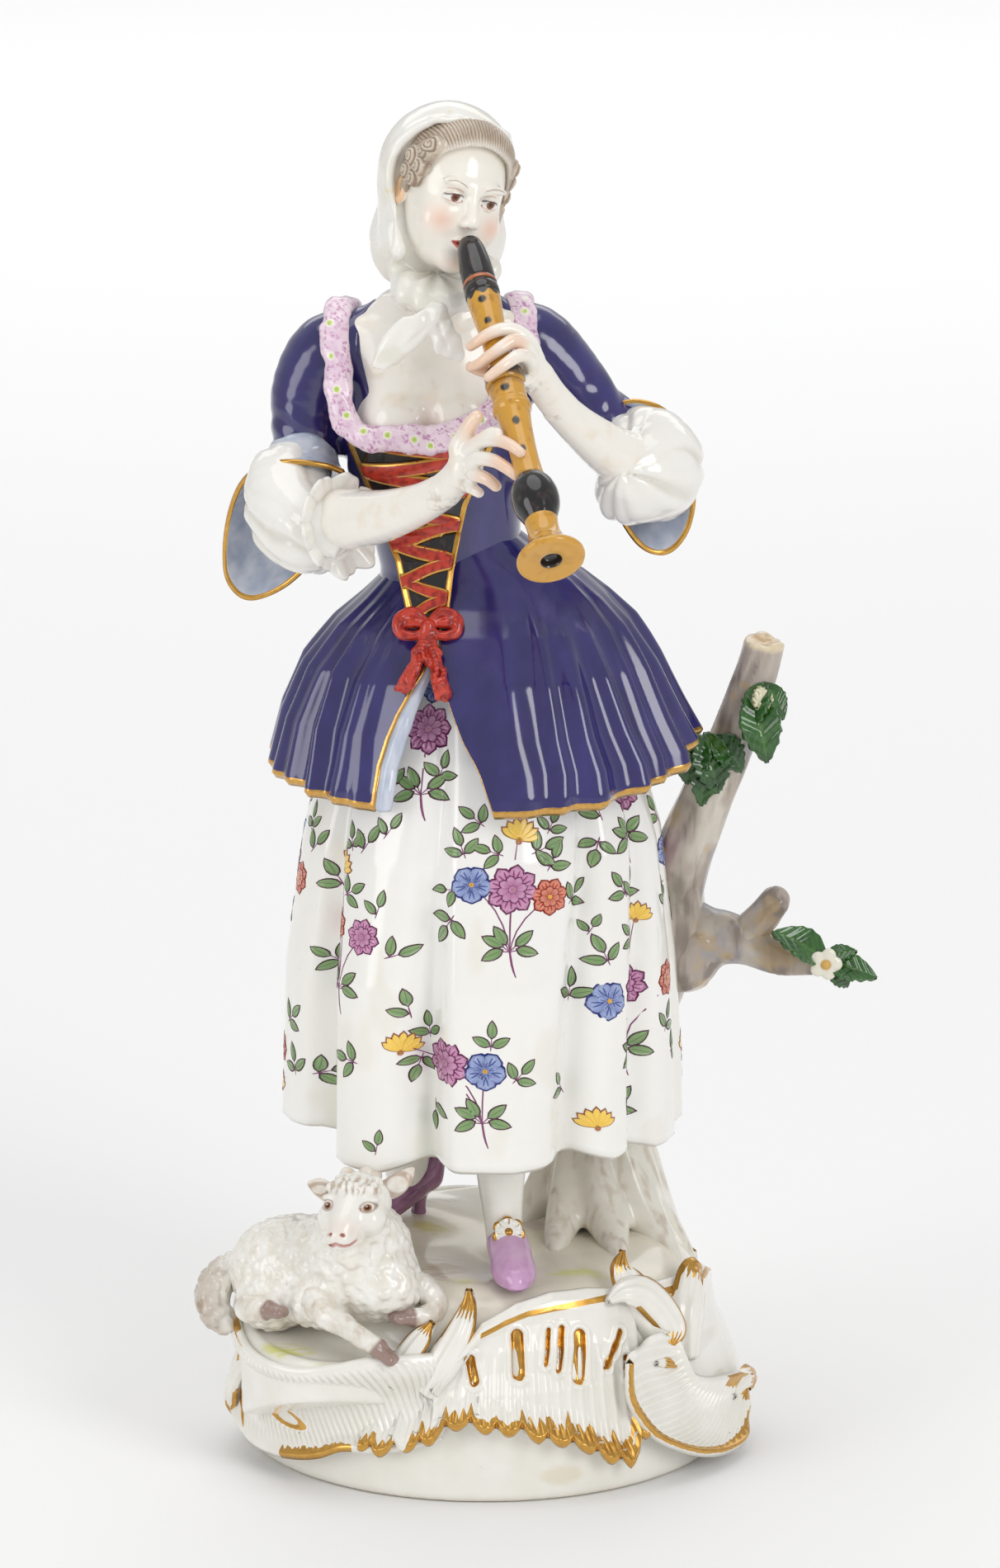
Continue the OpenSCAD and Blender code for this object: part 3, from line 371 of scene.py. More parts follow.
def glaze(name, rough=0.13, speck=0.06, coat=0.3, coat_rough=0.06, bump=0.02, grain=900.0, gold_rough=0.26):
    """Fired glaze: mottled paint with specks and soft ripples, and gold where gilt is over a half."""
    m = bpy.data.materials.new(name)
    m.use_nodes = True
    t = m.node_tree
    t.nodes.clear()
    new, link = t.nodes.new, t.links.new
    out = new("ShaderNodeOutputMaterial")
    b = new("ShaderNodeBsdfPrincipled")
    link(b.outputs[0], out.inputs[0])
    b.inputs["IOR"].default_value = 1.5
    b.inputs["Coat Weight"].default_value = coat
    b.inputs["Coat Roughness"].default_value = coat_rough
    pos = new("ShaderNodeTexCoord")
    paint = new("ShaderNodeAttribute")
    paint.attribute_name = "paint"
    mottle = new("ShaderNodeTexNoise")
    mottle.inputs["Scale"].default_value = grain * 0.35
    mottle.inputs["Detail"].default_value = 4
    link(pos.outputs["Object"], mottle.inputs["Vector"])
    tone = new("ShaderNodeMapRange")
    tone.inputs["To Min"].default_value = 1 - speck
    tone.inputs["To Max"].default_value = 1 + speck
    link(mottle.outputs["Fac"], tone.inputs["Value"])
    mul = new("ShaderNodeVectorMath")
    mul.operation = "SCALE"
    link(paint.outputs["Color"], mul.inputs[0])
    link(tone.outputs["Result"], mul.inputs["Scale"])
    pin = new("ShaderNodeTexVoronoi")
    pin.inputs["Scale"].default_value = grain * 0.28
    link(pos.outputs["Object"], pin.inputs["Vector"])
    hole = new("ShaderNodeMapRange")
    hole.inputs["From Min"].default_value = 0.03
    hole.inputs["From Max"].default_value = 0.07
    hole.inputs["To Min"].default_value = 0.55
    hole.inputs["To Max"].default_value = 1.0
    link(pin.outputs["Distance"], hole.inputs["Value"])
    rare = new("ShaderNodeMapRange")
    rare.inputs["From Min"].default_value = 0.80
    rare.inputs["From Max"].default_value = 0.82
    link(pin.outputs["Color"], rare.inputs["Value"])
    keep = new("ShaderNodeMix")
    keep.data_type = "FLOAT"
    keep.inputs["A"].default_value = 1.0
    link(rare.outputs["Result"], keep.inputs["Factor"])
    link(hole.outputs["Result"], keep.inputs["B"])
    spot = new("ShaderNodeVectorMath")
    spot.operation = "SCALE"
    link(mul.outputs["Vector"], spot.inputs[0])
    link(keep.outputs["Result"], spot.inputs["Scale"])
    gilt = new("ShaderNodeAttribute")
    gilt.attribute_name = "gilt"
    wear = new("ShaderNodeTexNoise")
    wear.inputs["Scale"].default_value = grain * 0.9
    wear.inputs["Detail"].default_value = 3
    link(pos.outputs["Object"], wear.inputs["Vector"])
    ragged = new("ShaderNodeMath")
    ragged.operation = "MULTIPLY_ADD"
    ragged.inputs[1].default_value = 0.35
    link(wear.outputs["Fac"], ragged.inputs[0])
    link(gilt.outputs["Fac"], ragged.inputs[2])
    mask = new("ShaderNodeMapRange")
    mask.inputs["From Min"].default_value = 0.64
    mask.inputs["From Max"].default_value = 0.72
    link(ragged.outputs[0], mask.inputs["Value"])
    gold = new("ShaderNodeMix")
    gold.data_type = "RGBA"
    gold.inputs["A"].default_value = (*linear(182, 128, 48), 1)
    gold.inputs["B"].default_value = (*linear(226, 180, 92), 1)
    link(wear.outputs["Fac"], gold.inputs["Factor"])
    colour = new("ShaderNodeMix")
    colour.data_type = "RGBA"
    link(mask.outputs["Result"], colour.inputs["Factor"])
    link(spot.outputs["Vector"], colour.inputs["A"])
    link(gold.outputs["Result"], colour.inputs["B"])
    link(colour.outputs["Result"], b.inputs["Base Color"])
    metal = new("ShaderNodeMath")
    metal.operation = "MULTIPLY"
    metal.inputs[1].default_value = 0.85
    link(mask.outputs["Result"], metal.inputs[0])
    link(metal.outputs[0], b.inputs["Metallic"])
    soft = new("ShaderNodeMix")
    soft.data_type = "FLOAT"
    soft.inputs["A"].default_value = rough
    soft.inputs["B"].default_value = gold_rough
    link(mask.outputs["Result"], soft.inputs["Factor"])
    link(soft.outputs["Result"], b.inputs["Roughness"])
    ripple = new("ShaderNodeBump")
    ripple.inputs["Strength"].default_value = bump
    ripple.inputs["Distance"].default_value = 0.001
    link(mottle.outputs["Fac"], ripple.inputs["Height"])
    link(ripple.outputs["Normal"], b.inputs["Normal"])
    return m


def piece(name, mesh, material, replaces=(), paint=WHITE, gilt=0.0):
    """Writes a mesh in millimetres as an object that rides on the figure."""
    p, q = mesh[0], mesh[1]
    me = bpy.data.meshes.new(name)
    tri = q[:, 2] == q[:, 3]
    size = np.where(tri, 3, 4)
    loops = q.reshape(-1)[np.column_stack([np.ones((len(q), 3), bool), ~tri]).reshape(-1)]
    me.vertices.add(len(p))
    me.vertices.foreach_set("co", (p * 0.001).astype(np.float32).ravel())
    me.loops.add(len(loops))
    me.loops.foreach_set("vertex_index", loops.astype(np.int32))
    me.polygons.add(len(q))
    me.polygons.foreach_set("loop_start", np.concatenate([[0], np.cumsum(size)[:-1]]).astype(np.int32))
    me.polygons.foreach_set("use_smooth", np.ones(len(q), bool))
    me.update(calc_edges=True)
    me.validate()
    rgba = np.ones((len(p), 4), np.float32)
    rgba[:, :3] = paint
    me.attributes.new("paint", "FLOAT_COLOR", "POINT").data.foreach_set("color", rgba.ravel())
    me.attributes.new("gilt", "FLOAT", "POINT").data.foreach_set(
        "value", np.broadcast_to(np.asarray(gilt, np.float32), len(p)).copy())
    me.materials.append(material)
    obj = bpy.data.objects.new(name, me)
    bpy.context.collection.objects.link(obj)
    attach(obj, "root")
    if replaces:
        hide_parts(*replaces)
    return obj


MAT = {
    "white": glaze("white_glaze", speck=0.03, bump=0.015),
    "base": glaze("base_glaze", speck=0.04, bump=0.03, rough=0.16),
    "bark": glaze("bark_glaze", speck=0.08, bump=0.06, rough=0.18),
    "leaf": glaze("leaf_enamel", speck=0.12, bump=0.04, rough=0.12, coat=0.5),
    "wool": glaze("wool_glaze", speck=0.05, bump=0.04, rough=0.2),
    "skirt": glaze("skirt_glaze", speck=0.02, bump=0.012),
    "cobalt": glaze("cobalt_glaze", speck=0.14, bump=0.02, rough=0.13, coat=0.8, coat_rough=0.13,
                    grain=1400.0),
    "lining": glaze("lining_enamel", speck=0.07, bump=0.02),
    "enamel": glaze("petal_enamel", speck=0.1, bump=0.02, rough=0.16, grain=2200.0),
    "red": glaze("red_enamel", speck=0.16, bump=0.08, rough=0.22),
    "black": glaze("black_enamel", speck=0.1, bump=0.02, rough=0.12),
    "skin": glaze("skin_glaze", speck=0.02, bump=0.01),
    "hair": glaze("hair_enamel", speck=0.06, bump=0.03, rough=0.2),
    "frill": glaze("frill_enamel", speck=0.08, bump=0.03),
    "ochre": glaze("ochre_enamel", speck=0.08, bump=0.03, rough=0.15, coat=0.5),
}

# ---- Petticoat ----------------------------------------------------------------------------


def wrap(a):
    """Angle difference in -180..180."""
    return (a + 180) % 360 - 180


# Folds of the petticoat: angle at the hem, angle at the waist, width and height, below 0 for a valley.
PETTICOAT_FOLDS = [
    (-53, -56, 5, -0.13), (-35, -36, 13, 0.035), (-17, -15, 5.5, -0.13), (-8, -8, 5, 0.02),
    (6, 9, 14, 0.035), (27, 41, 4.8, -0.1), (40, 52, 8, 0.03), (52, 62, 4, -0.07), (66, 68, 12, 0.03),
    (84, 82, 5, -0.08), (-74, -72, 12, 0.03), (-92, -90, 6, -0.07), (-108, -108, 11, 0.03),
    (-126, -124, 6, -0.08), (-143, -143, 11, 0.03), (-161, -160, 6, -0.08), (180, 180, 12, 0.035),
    (160, 161, 6, -0.085), (142, 142, 11, 0.03), (124, 124, 6, -0.075), (104, 104, 12, 0.03),
]


def petticoat_at(a, z):
    """Point of the petticoat's face at angle a (degrees from the front towards +X) and height z."""
    a, z = np.broadcast_arrays(np.asarray(a, float), np.asarray(z, float))
    left = np.interp(z, [60, 69, 99.6, 125, 144, 158, 166], [-40.6, -40.3, -39.4, -36.1, -31, -24, -18])
    right = np.interp(z, [60, 69, 99.6, 125, 144, 158, 166], [38.8, 38.6, 37.4, 34.9, 30, 20, 14])
    front = np.interp(z, [60, 80, 100, 125, 144, 158, 166], [37.6, 37.4, 36.5, 33.5, 29, 22, 17])
    back = np.interp(z, [60, 80, 100, 125, 144, 158, 166], [36, 36, 34.6, 31.5, 27, 20, 15])
    r = np.radians(a)
    s, c = np.sin(r), np.cos(r)
    down = ease(z, 166, 66)
    f = np.ones_like(a)
    for hem, top, width, height in PETTICOAT_FOLDS:
        t = wrap(a - (top + (hem - top) * down)) / (width * (0.75 + 0.35 * down))
        f = f + height * (0.3 + 1.05 * down) * np.exp(-t * t)
    f = f + 0.01 * down * np.sin(np.radians(a * 5 + z * 1.7)) * np.sin(z * 0.06)
    w = (right - left) / 2
    return np.stack([(left + right) / 2 + w * s * f, -np.where(c > 0, front, back) * c * f, z], -1)


def petticoat_hem(a):
    """Height of the petticoat's hem at angle a."""
    return np.interp(wrap(a), [-180, -95, -75, -58, -52, -46, -30, -17, -8, 10, 24, 29, 40, 52, 60, 90, 180],
                     [65.5, 66, 68.4, 69, 67.4, 64.6, 64, 66.2, 65.4, 65.2, 66, 67.6, 65.6, 66.4, 65, 64,
                      65.5])


def petticoat_sheet(u, v):
    a = -360 * u
    hem = petticoat_hem(a)
    return petticoat_at(a, 164 - (164 - hem) * v)


p, q, uv, side = sheet(petticoat_sheet, 440, 90, 2.0, closed=True)
tone = fbm(p * vec(0.05, 0.05, 0.02)) * 0.5 + 0.5
grime = ease(fbm(p * vec(0.09, 0.09, 0.045) + 40), 0.42, 0.75) * 0.35
# Painted shade: depth grows where the cloth dips inside the skirt's outline, in the fold valleys near the hem
# and faintly on the inner face, and tints the cloth cream and pale green there.
width = np.linalg.norm((p[:, :2] - vec(-0.8, 0)) / vec(39.5, 37), axis=1)
depth = np.clip(1 - width / np.interp(p[:, 2], [60, 166], [1, 0.45]), 0, 0.2)
col = blend(blend(linear(244, 243, 240), linear(236, 233, 222), tone * 0.6 + depth * 3),
            linear(214, 203, 172), grime * 0.5)
col = blend(col, linear(226, 228, 214), depth * 4)
piece("petticoat_cloth", (p, q), MAT["skirt"], ["petticoat"], col)

# The underside is a shallow dome a little above the hem.
under = petticoat_at(np.arange(0, 360, 4.0), 70.0) * vec(0.97, 0.97, 1)
centre = under.mean(0, keepdims=True)
rings = [centre + (under - centre) * s + vec(0, 0, 5 * (1 - s) ** 0.5)
         for s in (1.0, 0.96, 0.85, 0.65, 0.4, 0.15, 0.02)]
rings += [r + vec(0, 0, 3) for r in rings[::-1]]
p, q = loft(rings)
piece("petticoat_underside", (p, q), MAT["white"], (), blend(IVORY, SHADE, 0.4))

# ---- Painted flowers ----------------------------------------------------------------------

PURPLE = (linear(112, 34, 88), linear(170, 84, 140), linear(226, 176, 208))
BLUE = (linear(44, 52, 128), linear(88, 108, 178), linear(186, 200, 230))
SCARLET = (linear(150, 34, 22), linear(196, 66, 42), linear(238, 168, 140))
YELLOW = (linear(150, 84, 60), linear(240, 192, 66), linear(248, 216, 110))
GREEN = (linear(88, 36, 72), linear(112, 146, 92), linear(150, 178, 122))
STEM = linear(132, 62, 110)


class Enamel:
    """Thin painted strokes on a surface at(a, z): closed pads a few hundredths of a millimetre proud."""

    def __init__(self, at, mm_per_degree):
        self.at, self.scale, self.parts = at, mm_per_degree, []

    def pad(self, a0, z0, x, y, colour, lift):
        """One stroke: x, y are grids of local millimetres round (a0, z0)."""
        a, z = a0 + x / self.scale(a0, z0), z0 + y
        base = self.at(a, z)
        e = 0.4
        n = np.cross(self.at(a + e, z) - self.at(a - e, z), self.at(a, z + e) - self.at(a, z - e))
        n /= np.linalg.norm(n, axis=-1)[..., None]
        top, low = base + n * lift, base - n * 0.25
        i, j = x.shape
        pts = np.concatenate([top.reshape(-1, 3), low.reshape(-1, 3)])
        k = np.arange(i * j).reshape(i, j)
        f = np.stack([k[:-1, :-1], k[1:, :-1], k[1:, 1:], k[:-1, 1:]], -1).reshape(-1, 4)
        rim = np.concatenate([k[0, :-1], k[:-1, -1], k[-1, :0:-1], k[:0:-1, 0]])
        nxt = np.roll(rim, -1)
        m = i * j
        wall = np.stack([rim, nxt, nxt + m, rim + m], -1)
        area = ((x[1:, :-1] - x[:-1, :-1]) * (y[:-1, 1:] - y[:-1, :-1])
                - (y[1:, :-1] - y[:-1, :-1]) * (x[:-1, 1:] - x[:-1, :-1]))
        if area.sum() < 0:
            quads = np.vstack([f[:, ::-1], f + m, wall])
        else:
            quads = np.vstack([f, f[:, ::-1] + m, wall[:, ::-1]])
        c = np.broadcast_to(colour, x.shape + (3,)).reshape(-1, 3)
        self.parts.append((pts, quads, np.concatenate([c, c])))

    def petal(self, a0, z0, x, y, direction, length, width, tones, lift, notch=0.0, belly=0.5, curl=0.0):
        """A petal or leaf from (x, y) towards a direction in degrees, 90 being up, with a darker outline."""
        for shade, (grow, up) in enumerate(((1.0, 0.0), (0.8, 0.03))):
            s, t = np.meshgrid(np.linspace(0, 1, 7), np.linspace(-1, 1, 5), indexing="ij")
            half = (width / 2 * np.sin(np.pi * np.clip(s ** (np.log(0.5) / np.log(belly)), 0, 1)) ** 0.75
                    * grow)
            half = np.maximum(half, 0.02)
            run = length * (0.5 + (s - 0.5) * (1 - (1 - grow) * 0.8))
            run = (run + notch * length * (np.abs(t) - 0.5) * s ** 4
                   - 0.06 * length * np.abs(np.sin(t * 3.5)) * s ** 6)
            w = t * half + curl * length * s * s
            r = math.radians(direction)
            px = x + run * math.cos(r) - w * math.sin(r)
            py = y + run * math.sin(r) + w * math.cos(r)
            if shade:
                c = blend(tones[1], tones[2],
                          0.1 + 0.55 * s * (1 - 0.5 * np.abs(t)) + 0.2 * np.abs(np.sin(t * 5)) * s)
            else:
                c = np.broadcast_to(tones[0], s.shape + (3,))
            self.pad(a0, z0, px, py, c, lift + up)

    def line(self, a0, z0, points, width, colour, lift):
        """A brush line through local points, thinner at its ends."""
        p = curve(points, 6)
        t = np.gradient(p, axis=0)
        t /= np.linalg.norm(t, axis=1)[:, None]
        w = width / 2 * np.sqrt(np.clip(np.sin(np.pi * np.linspace(0.06, 0.94, len(p))), 0.1, 1))
        k = np.array([-1, 0, 1.0])
        x = p[:, :1] - t[:, 1:] * w[:, None] * k
        y = p[:, 1:] + t[:, :1] * w[:, None] * k
        self.pad(a0, z0, x, y, colour, lift)

    def disc(self, a0, z0, x, y, r, colour, lift):
        s, t = np.meshgrid(np.linspace(-1, 1, 4), np.linspace(-1, 1, 4), indexing="ij")
        k = np.maximum(np.abs(s), np.abs(t)) / np.maximum(np.hypot(s, t), 1e-6)
        self.pad(a0, z0, x + s * k * r, y + t * k * r, colour, lift)

    def blossom(self, a0, z0, tones, r, petals=6, rings=2, spin=0):
        """An open flower: rings of petals round a yellow eye."""
        for ring in range(rings):
            size = r * (1 - 0.42 * ring)
            for k in range(petals):
                d = spin + 360 * (k + 0.5 * ring) / petals
                self.petal(a0, z0, 0, 0, d, size, size * 5.6 / petals, tones if ring == 0 else
                           (tones[0], tones[1] * 0.8, tones[2]), 0.06 + 0.06 * ring, notch=0.2, belly=0.68)
                c, s = math.cos(math.radians(d)) * size, math.sin(math.radians(d)) * size
                for bend in (-0.12, 0.12) if ring == 0 else ():
                    self.line(a0, z0, [(0.3 * c, 0.3 * s),
                                       (0.55 * c - bend * s * 0.6, 0.55 * s + bend * c * 0.6),
                                       (0.8 * c - bend * s, 0.8 * s + bend * c)], 0.07 * r,
                              blend(tones[1], tones[0], 0.65), 0.11 + 0.06 * ring)
        self.disc(a0, z0, 0, 0, r * 0.13, linear(226, 170, 60), 0.2)

    def fan(self, a0, z0, tones, r, direction=90, petals=7):
        """A flower seen from the side: petals fanned upwards from a small green cup."""
        for k in range(petals):
            f = (k - (petals - 1) / 2) / petals
            self.petal(a0, z0, 0, -r * 0.55, direction + 150 * f, r * (1.5 - 0.5 * abs(f)), r * 0.5, tones,
                       0.07 + 0.01 * (k % 3), belly=0.62)
        self.disc(a0, z0, 0, -r * 0.6, r * 0.16, linear(176, 110, 60), 0.17)

    def leaf(self, a0, z0, direction, length=4.4, width=2.2, x=0.0, y=0.0):
        r = math.radians(direction)
        dark = blend(GREEN[1], GREEN[0], 0.25)
        self.petal(a0, z0, x - length / 2 * math.cos(r), y - length / 2 * math.sin(r), direction, length,
                   width, GREEN,
                   0.05, belly=0.42, curl=0.05)
        self.line(a0, z0, [(x - length * 0.3 * math.cos(r), y - length * 0.3 * math.sin(r)),
                           (x + 0.06 * math.sin(r), y),
                           (x + length * 0.3 * math.cos(r), y + length * 0.3 * math.sin(r))],
                  0.14, dark, 0.12)

    def sprig(self, a0, z0, direction, size=1.0, leaves=3):
        """Two or three leaves on a short forked stem that starts at (a0, z0)."""
        r = math.radians(direction)
        self.line(a0, z0, [(0, 0), (0.9 * size * math.cos(r), 0.9 * size * math.sin(r)),
                           (2.8 * size * math.cos(r), 2.8 * size * math.sin(r))], 0.24 * size, STEM, 0.04)
        for k in range(leaves):
            d = direction + (0, 62, -62)[k]
            run = (4.7, 2.8, 2.8)[k] * size
            rr = math.radians(direction + (0, 45, -45)[k])
            self.leaf(a0, z0, d, 4.3 * size, 2.15 * size, run * math.cos(rr), run * math.sin(rr))


rose = Enamel(petticoat_at, lambda a, z: np.radians(1) * np.interp(z, [66, 100, 150], [38.5, 37, 27]))
rng = np.random.default_rng(5)


def bouquet(heads, foot, sprigs):
    """Flowers (angle, height, kind, radius), stems gathered at a foot, and sprigs (angle, height, way)."""
    fa, fz = foot
    for ha, hz, kind, r in heads:
        x, y = (ha - fa) * rose.scale(fa, fz), hz - fz
        rose.line(fa, fz, [(0.1, 0.2), (x * 0.12, y * 0.35), (x * 0.45, y * 0.7), (x * 0.9, y * 0.93)], 0.3,
                  STEM, 0.03)
    rose.line(fa, fz, [(0, 1.5), (0.1, 0), (0.5, -2.6), (1.1, -4.6)], 0.42, STEM, 0.03)
    for k, d in enumerate((150, 205, 35, -20, 118)):
        rr = math.radians(d)
        rose.leaf(fa, fz, d, 4.7, 2.3, 3.5 * math.cos(rr), 1.2 + 2.9 * math.sin(rr))
        rose.line(fa, fz, [(0, 0.4), (1.1 * math.cos(rr), 0.9 + 0.8 * math.sin(rr)),
                           (1.8 * math.cos(rr), 1.0 + 1.4 * math.sin(rr))],
                  0.22, STEM, 0.035)
    for ha, hz, kind, r in heads:
        tones = {"purple": PURPLE, "blue": BLUE, "red": SCARLET, "yellow": YELLOW}[kind]
        r = r * 1.1
        if kind == "yellow":
            rose.fan(ha, hz, tones, r, 90 + rng.uniform(-20, 20))
        elif kind == "purple":
            rose.blossom(ha, hz, tones, r, 8, 3, rng.uniform(0, 40))
        elif kind == "red":
            rose.blossom(ha, hz, tones, r, 7, 2, rng.uniform(0, 40))
        else:
            rose.blossom(ha, hz, tones, r, 5, 1, rng.uniform(0, 70))
            rose.blossom(ha, hz, tones, r * 0.6, 5, 1, rng.uniform(0, 70))
    for sa, sz, way in sprigs:
        rose.sprig(sa, sz, way, rng.uniform(0.85, 1.05), 3 if rng.random() > 0.35 else 2)


bouquet([(9.5, 121, "purple", 4.2), (-3, 122, "blue", 3.2), (21.5, 119, "red", 3.2),
         (12, 132, "yellow", 3.0)],
        (8.5, 108.5), [(-5, 127, 110), (-7, 121, 190), (-8, 116, 240), (7, 127.5, 160), (16, 127.5, 20),
                       (21, 124, 60), (28.5, 117, 40), (22, 131, 60), (1, 133, 140)])
bouquet([(-51, 123.5, "yellow", 2.9), (-50, 111, "red", 2.9), (-37, 110, "purple", 3.2)], (-45, 98.5),
        [(-45, 126, 110), (-41, 126, 60), (-55, 117, 120), (-47, 117, 30), (-33, 114, 75), (-29, 106.5, 20),
         (-54, 102, 150)])
bouquet([(-10, 86.5, "purple", 4.0), (1.5, 85.5, "blue", 3.4), (-24, 89.5, "yellow", 2.7)], (0.5, 74.5),
        [(-36, 85, 170), (-21.5, 94.5, 100), (-17, 90, 95), (-19, 87, 250), (3, 89.5, 85), (9, 83, 45),
         (-15, 78, 270)])
bouquet([(53, 98, "purple", 3.6), (69, 97.5, "red", 3.2), (40, 97, "blue", 3.4), (58, 112, "yellow", 2.4)],
        (52, 84), [(50, 116.5, 120), (52, 115.5, 60), (74, 111, 80), (53, 107, 130), (41, 104, 110),
                   (66, 87, 60), (30, 97, 80), (70, 82, 20)])
bouquet([(-21.5, 150.5, "purple", 4.0), (-21, 158, "blue", 2.4)], (-22, 138),
        [(-17, 141, 70), (-32, 139, 120)])
bouquet([(59, 136, "purple", 3.4)], (56, 126.5), [(44, 132, 100), (42, 129, 250), (75, 134, 30)])
bouquet([(-92, 118, "purple", 3.2), (-100, 111, "red", 2.8)], (-96, 101), [(-80, 116, 160), (-71, 127, 100)])
rose.fan(35, 73.5, YELLOW, 3.0, 92)
rose.sprig(48, 72, 50)
rose.sprig(28, 78.5, 120, 0.9, 2)
rose.fan(-78, 74.5, YELLOW, 2.6, 100)
rose.sprig(-66, 78, 105)
rose.sprig(-60, 79, 20, 0.9)
rose.sprig(-30, 67, 80, 0.8, 2)
rose.sprig(-33, 129.5, 60, 0.9, 2)
rose.sprig(36, 110, 60, 0.7, 2)
for turn_by, drop in ((95, 2), (142, -14), (186, 6), (232, -10), (266, 4)):
    bouquet([(turn_by + 9, 116 + drop, "purple", 3.8), (turn_by - 3, 118 + drop, "blue", 3.0),
                           (turn_by + 20, 113 + drop, "red", 2.9)], (turn_by + 8, 104 + drop),
            [(turn_by - 5, 124 + drop, 110), (turn_by + 26, 119 + drop, 50), (turn_by - 6, 112 + drop, 200)])
    rose.fan(turn_by + 14, 131 + drop, YELLOW, 2.8, 90)
    rose.fan(turn_by + 2, 80 - drop * 0.4, YELLOW, 2.8, 80)
    rose.blossom(turn_by + 16, 83 - drop * 0.3, SCARLET, 3.0, 7, 2)
    rose.sprig(turn_by + 8, 77, 250)
    rose.sprig(turn_by + 22, 88, 40)
    rose.sprig(turn_by - 8, 86, 150)
for name, front in (("petticoat_front_flowers", True), ("petticoat_back_flowers", False)):
    p, q, c = joined([part for part in rose.parts if (part[0][:, 1].mean() < 0) == front])
    piece(name, (p, q), MAT["enamel"], (), c)

# ---- Jacket skirt -------------------------------------------------------------------------

# Ridges of the jacket skirt: hem angle, width and height
JACKET_RIDGES = [
    (-168, 6, 0.05), (-150, 6, 0.06), (-132, 6, 0.05), (-114, 6, 0.06), (-98, 5, 0.05), (-84, 4.5, 0.06),
    (-72, 4, 0.05), (-62, 3.4, 0.055), (-53, 3, 0.05), (-43, 3.4, 0.045), (-35, 2.6, 0.03), (10, 5, 0.03),
    (21, 3, 0.045), (33, 4.6, 0.05), (46, 3.2, 0.05), (56, 3.2, 0.045), (68, 4.2, 0.06), (82, 4.6, 0.06),
    (97, 5, 0.06), (113, 6, 0.055), (130, 6, 0.055), (148, 6, 0.05), (165, 6, 0.05),
]


def jacket_at(a, h, off=0.0):
    """Jacket skirt at hem angle a and share h from the waist (0) to the hem (1), pushed out by off."""
    a, h = np.broadcast_arrays(np.asarray(a, float), np.asarray(h, float))
    hem = np.interp(wrap(a), [-180, -90, -60, -28, 3, 30, 60, 88, 180],
                    [141, 139.6, 138.6, 136.6, 136.6, 137.6, 140.4, 144, 142])
    z = 187 - (187 - hem) * h ** 0.96
    left = np.interp(z, [136, 140, 150, 160, 168, 173, 177, 183, 187],
                     [-42.8, -42.2, -39.7, -35.2, -29.2, -23.8, -20, -17.2, -15.5])
    right = np.interp(z, [136, 140, 144, 150, 160, 168, 173, 177, 183, 187],
                      [42.4, 42.2, 41.2, 38, 33.2, 28.6, 24, 19.4, 9.6, 4.6])
    deep = np.interp(z, [136, 140, 150, 160, 168, 173, 177, 183, 187],
                     [38.8, 38.4, 34.4, 29.4, 23.2, 18.4, 15.2, 11.6, 9.6])
    rear = np.interp(z, [136, 140, 150, 160, 168, 173, 177, 183, 187],
                     [38, 37.4, 33.6, 28.2, 22.4, 17.8, 14.6, 11.2, 9.2])
    r = np.radians(a)
    s, c = np.sin(r), np.cos(r)
    f = np.zeros_like(a)
    grow = ease(h, 0.05, 0.8)
    for k, (ridge, width, height) in enumerate(JACKET_RIDGES):
        sway = 1.6 * np.sin(h * 3 + k * 2.1)
        t = wrap(a - ridge - sway) / (width * (0.8 + 0.25 * h))
        reach = ease(h, 0.04 + 0.1 * (k % 3), 0.55 + 0.1 * (k % 2))
        f = f + (0.85 + 0.16 * (k * 3 % 5)) * height * reach * np.exp(-np.abs(t) ** 2.2)
    f = 1 - 0.028 * grow + f
    mid = (left + right) / 2
    w = (right - left) / 2
    return np.stack([mid + (w * f + off) * s, -(np.where(c > 0, deep, rear) * f + off) * c, z], -1)


def front_edge(h, side):
    """Angle of a panel's front edge: side -1 is the right-hand panel's, 1 the left-hand panel's."""
    if side < 0:
        return np.interp(h, [0, 0.357, 0.477, 0.638, 0.839, 1], [-18, -18, -20, -26, -30.5, -31])
    return np.interp(h, [0, 0.2, 0.357, 0.477, 0.6, 0.8, 1], [-18, -18, -17, -14, -9.5, -2.5, 2.5])


def panel(side):
    def fn(u, v):
        if side > 0:
            a = front_edge(v, 1) * u + 180 * (1 - u)
        else:
            a = -180 * u + front_edge(v, -1) * (1 - u)
        return jacket_at(a, v)
    return sheet(fn, 300, 80, 1.7)


def cobalt(p, k=0.0):
    """The fired blue: darker in streaks where the glaze pooled, paler where it is thin."""
    t = fbm(p * vec(0.25, 0.25, 0.12)) * 0.5 + 0.5
    return blend(COBALT_DEEP, COBALT, t * 0.9 + k)


for side, name in ((-1, "jacket_skirt_right"), (1, "jacket_skirt_left")):
    p, q, uv, edge = panel(side)
    gilt = ease(uv[:, 1], 0.98, 0.99)
    if side < 0:
        gilt = np.maximum(gilt, ease(uv[:, 0], 0.009, 0.005))
    else:
        gilt = np.maximum(gilt, ease(uv[:, 0], 0.997, 0.999) * 0.9)
    inside = (edge > 0.6) & (uv[:, 1] < 0.97)
    col = blend(cobalt(p), linear(170, 178, 200), inside * 1.0)
    piece(name + "_panel", (p, q), MAT["cobalt"], [name], col, gilt * (edge < 0.8))


def lining_sheet(u, v):
    h = 0.32 + 0.68 * v
    start = front_edge(h, -1) - 0.4
    width = np.interp(h, [0.32, 0.44, 0.68, 1], [0.5, 3.2, 5.6, 5.0])
    a = start + width * (1 - u)
    return jacket_at(a, h, -0.5 + 0.9 * np.sin(np.pi * np.clip((1 - u) * 0.8, 0, 1)) - 1.4 * (1 - u) ** 3)


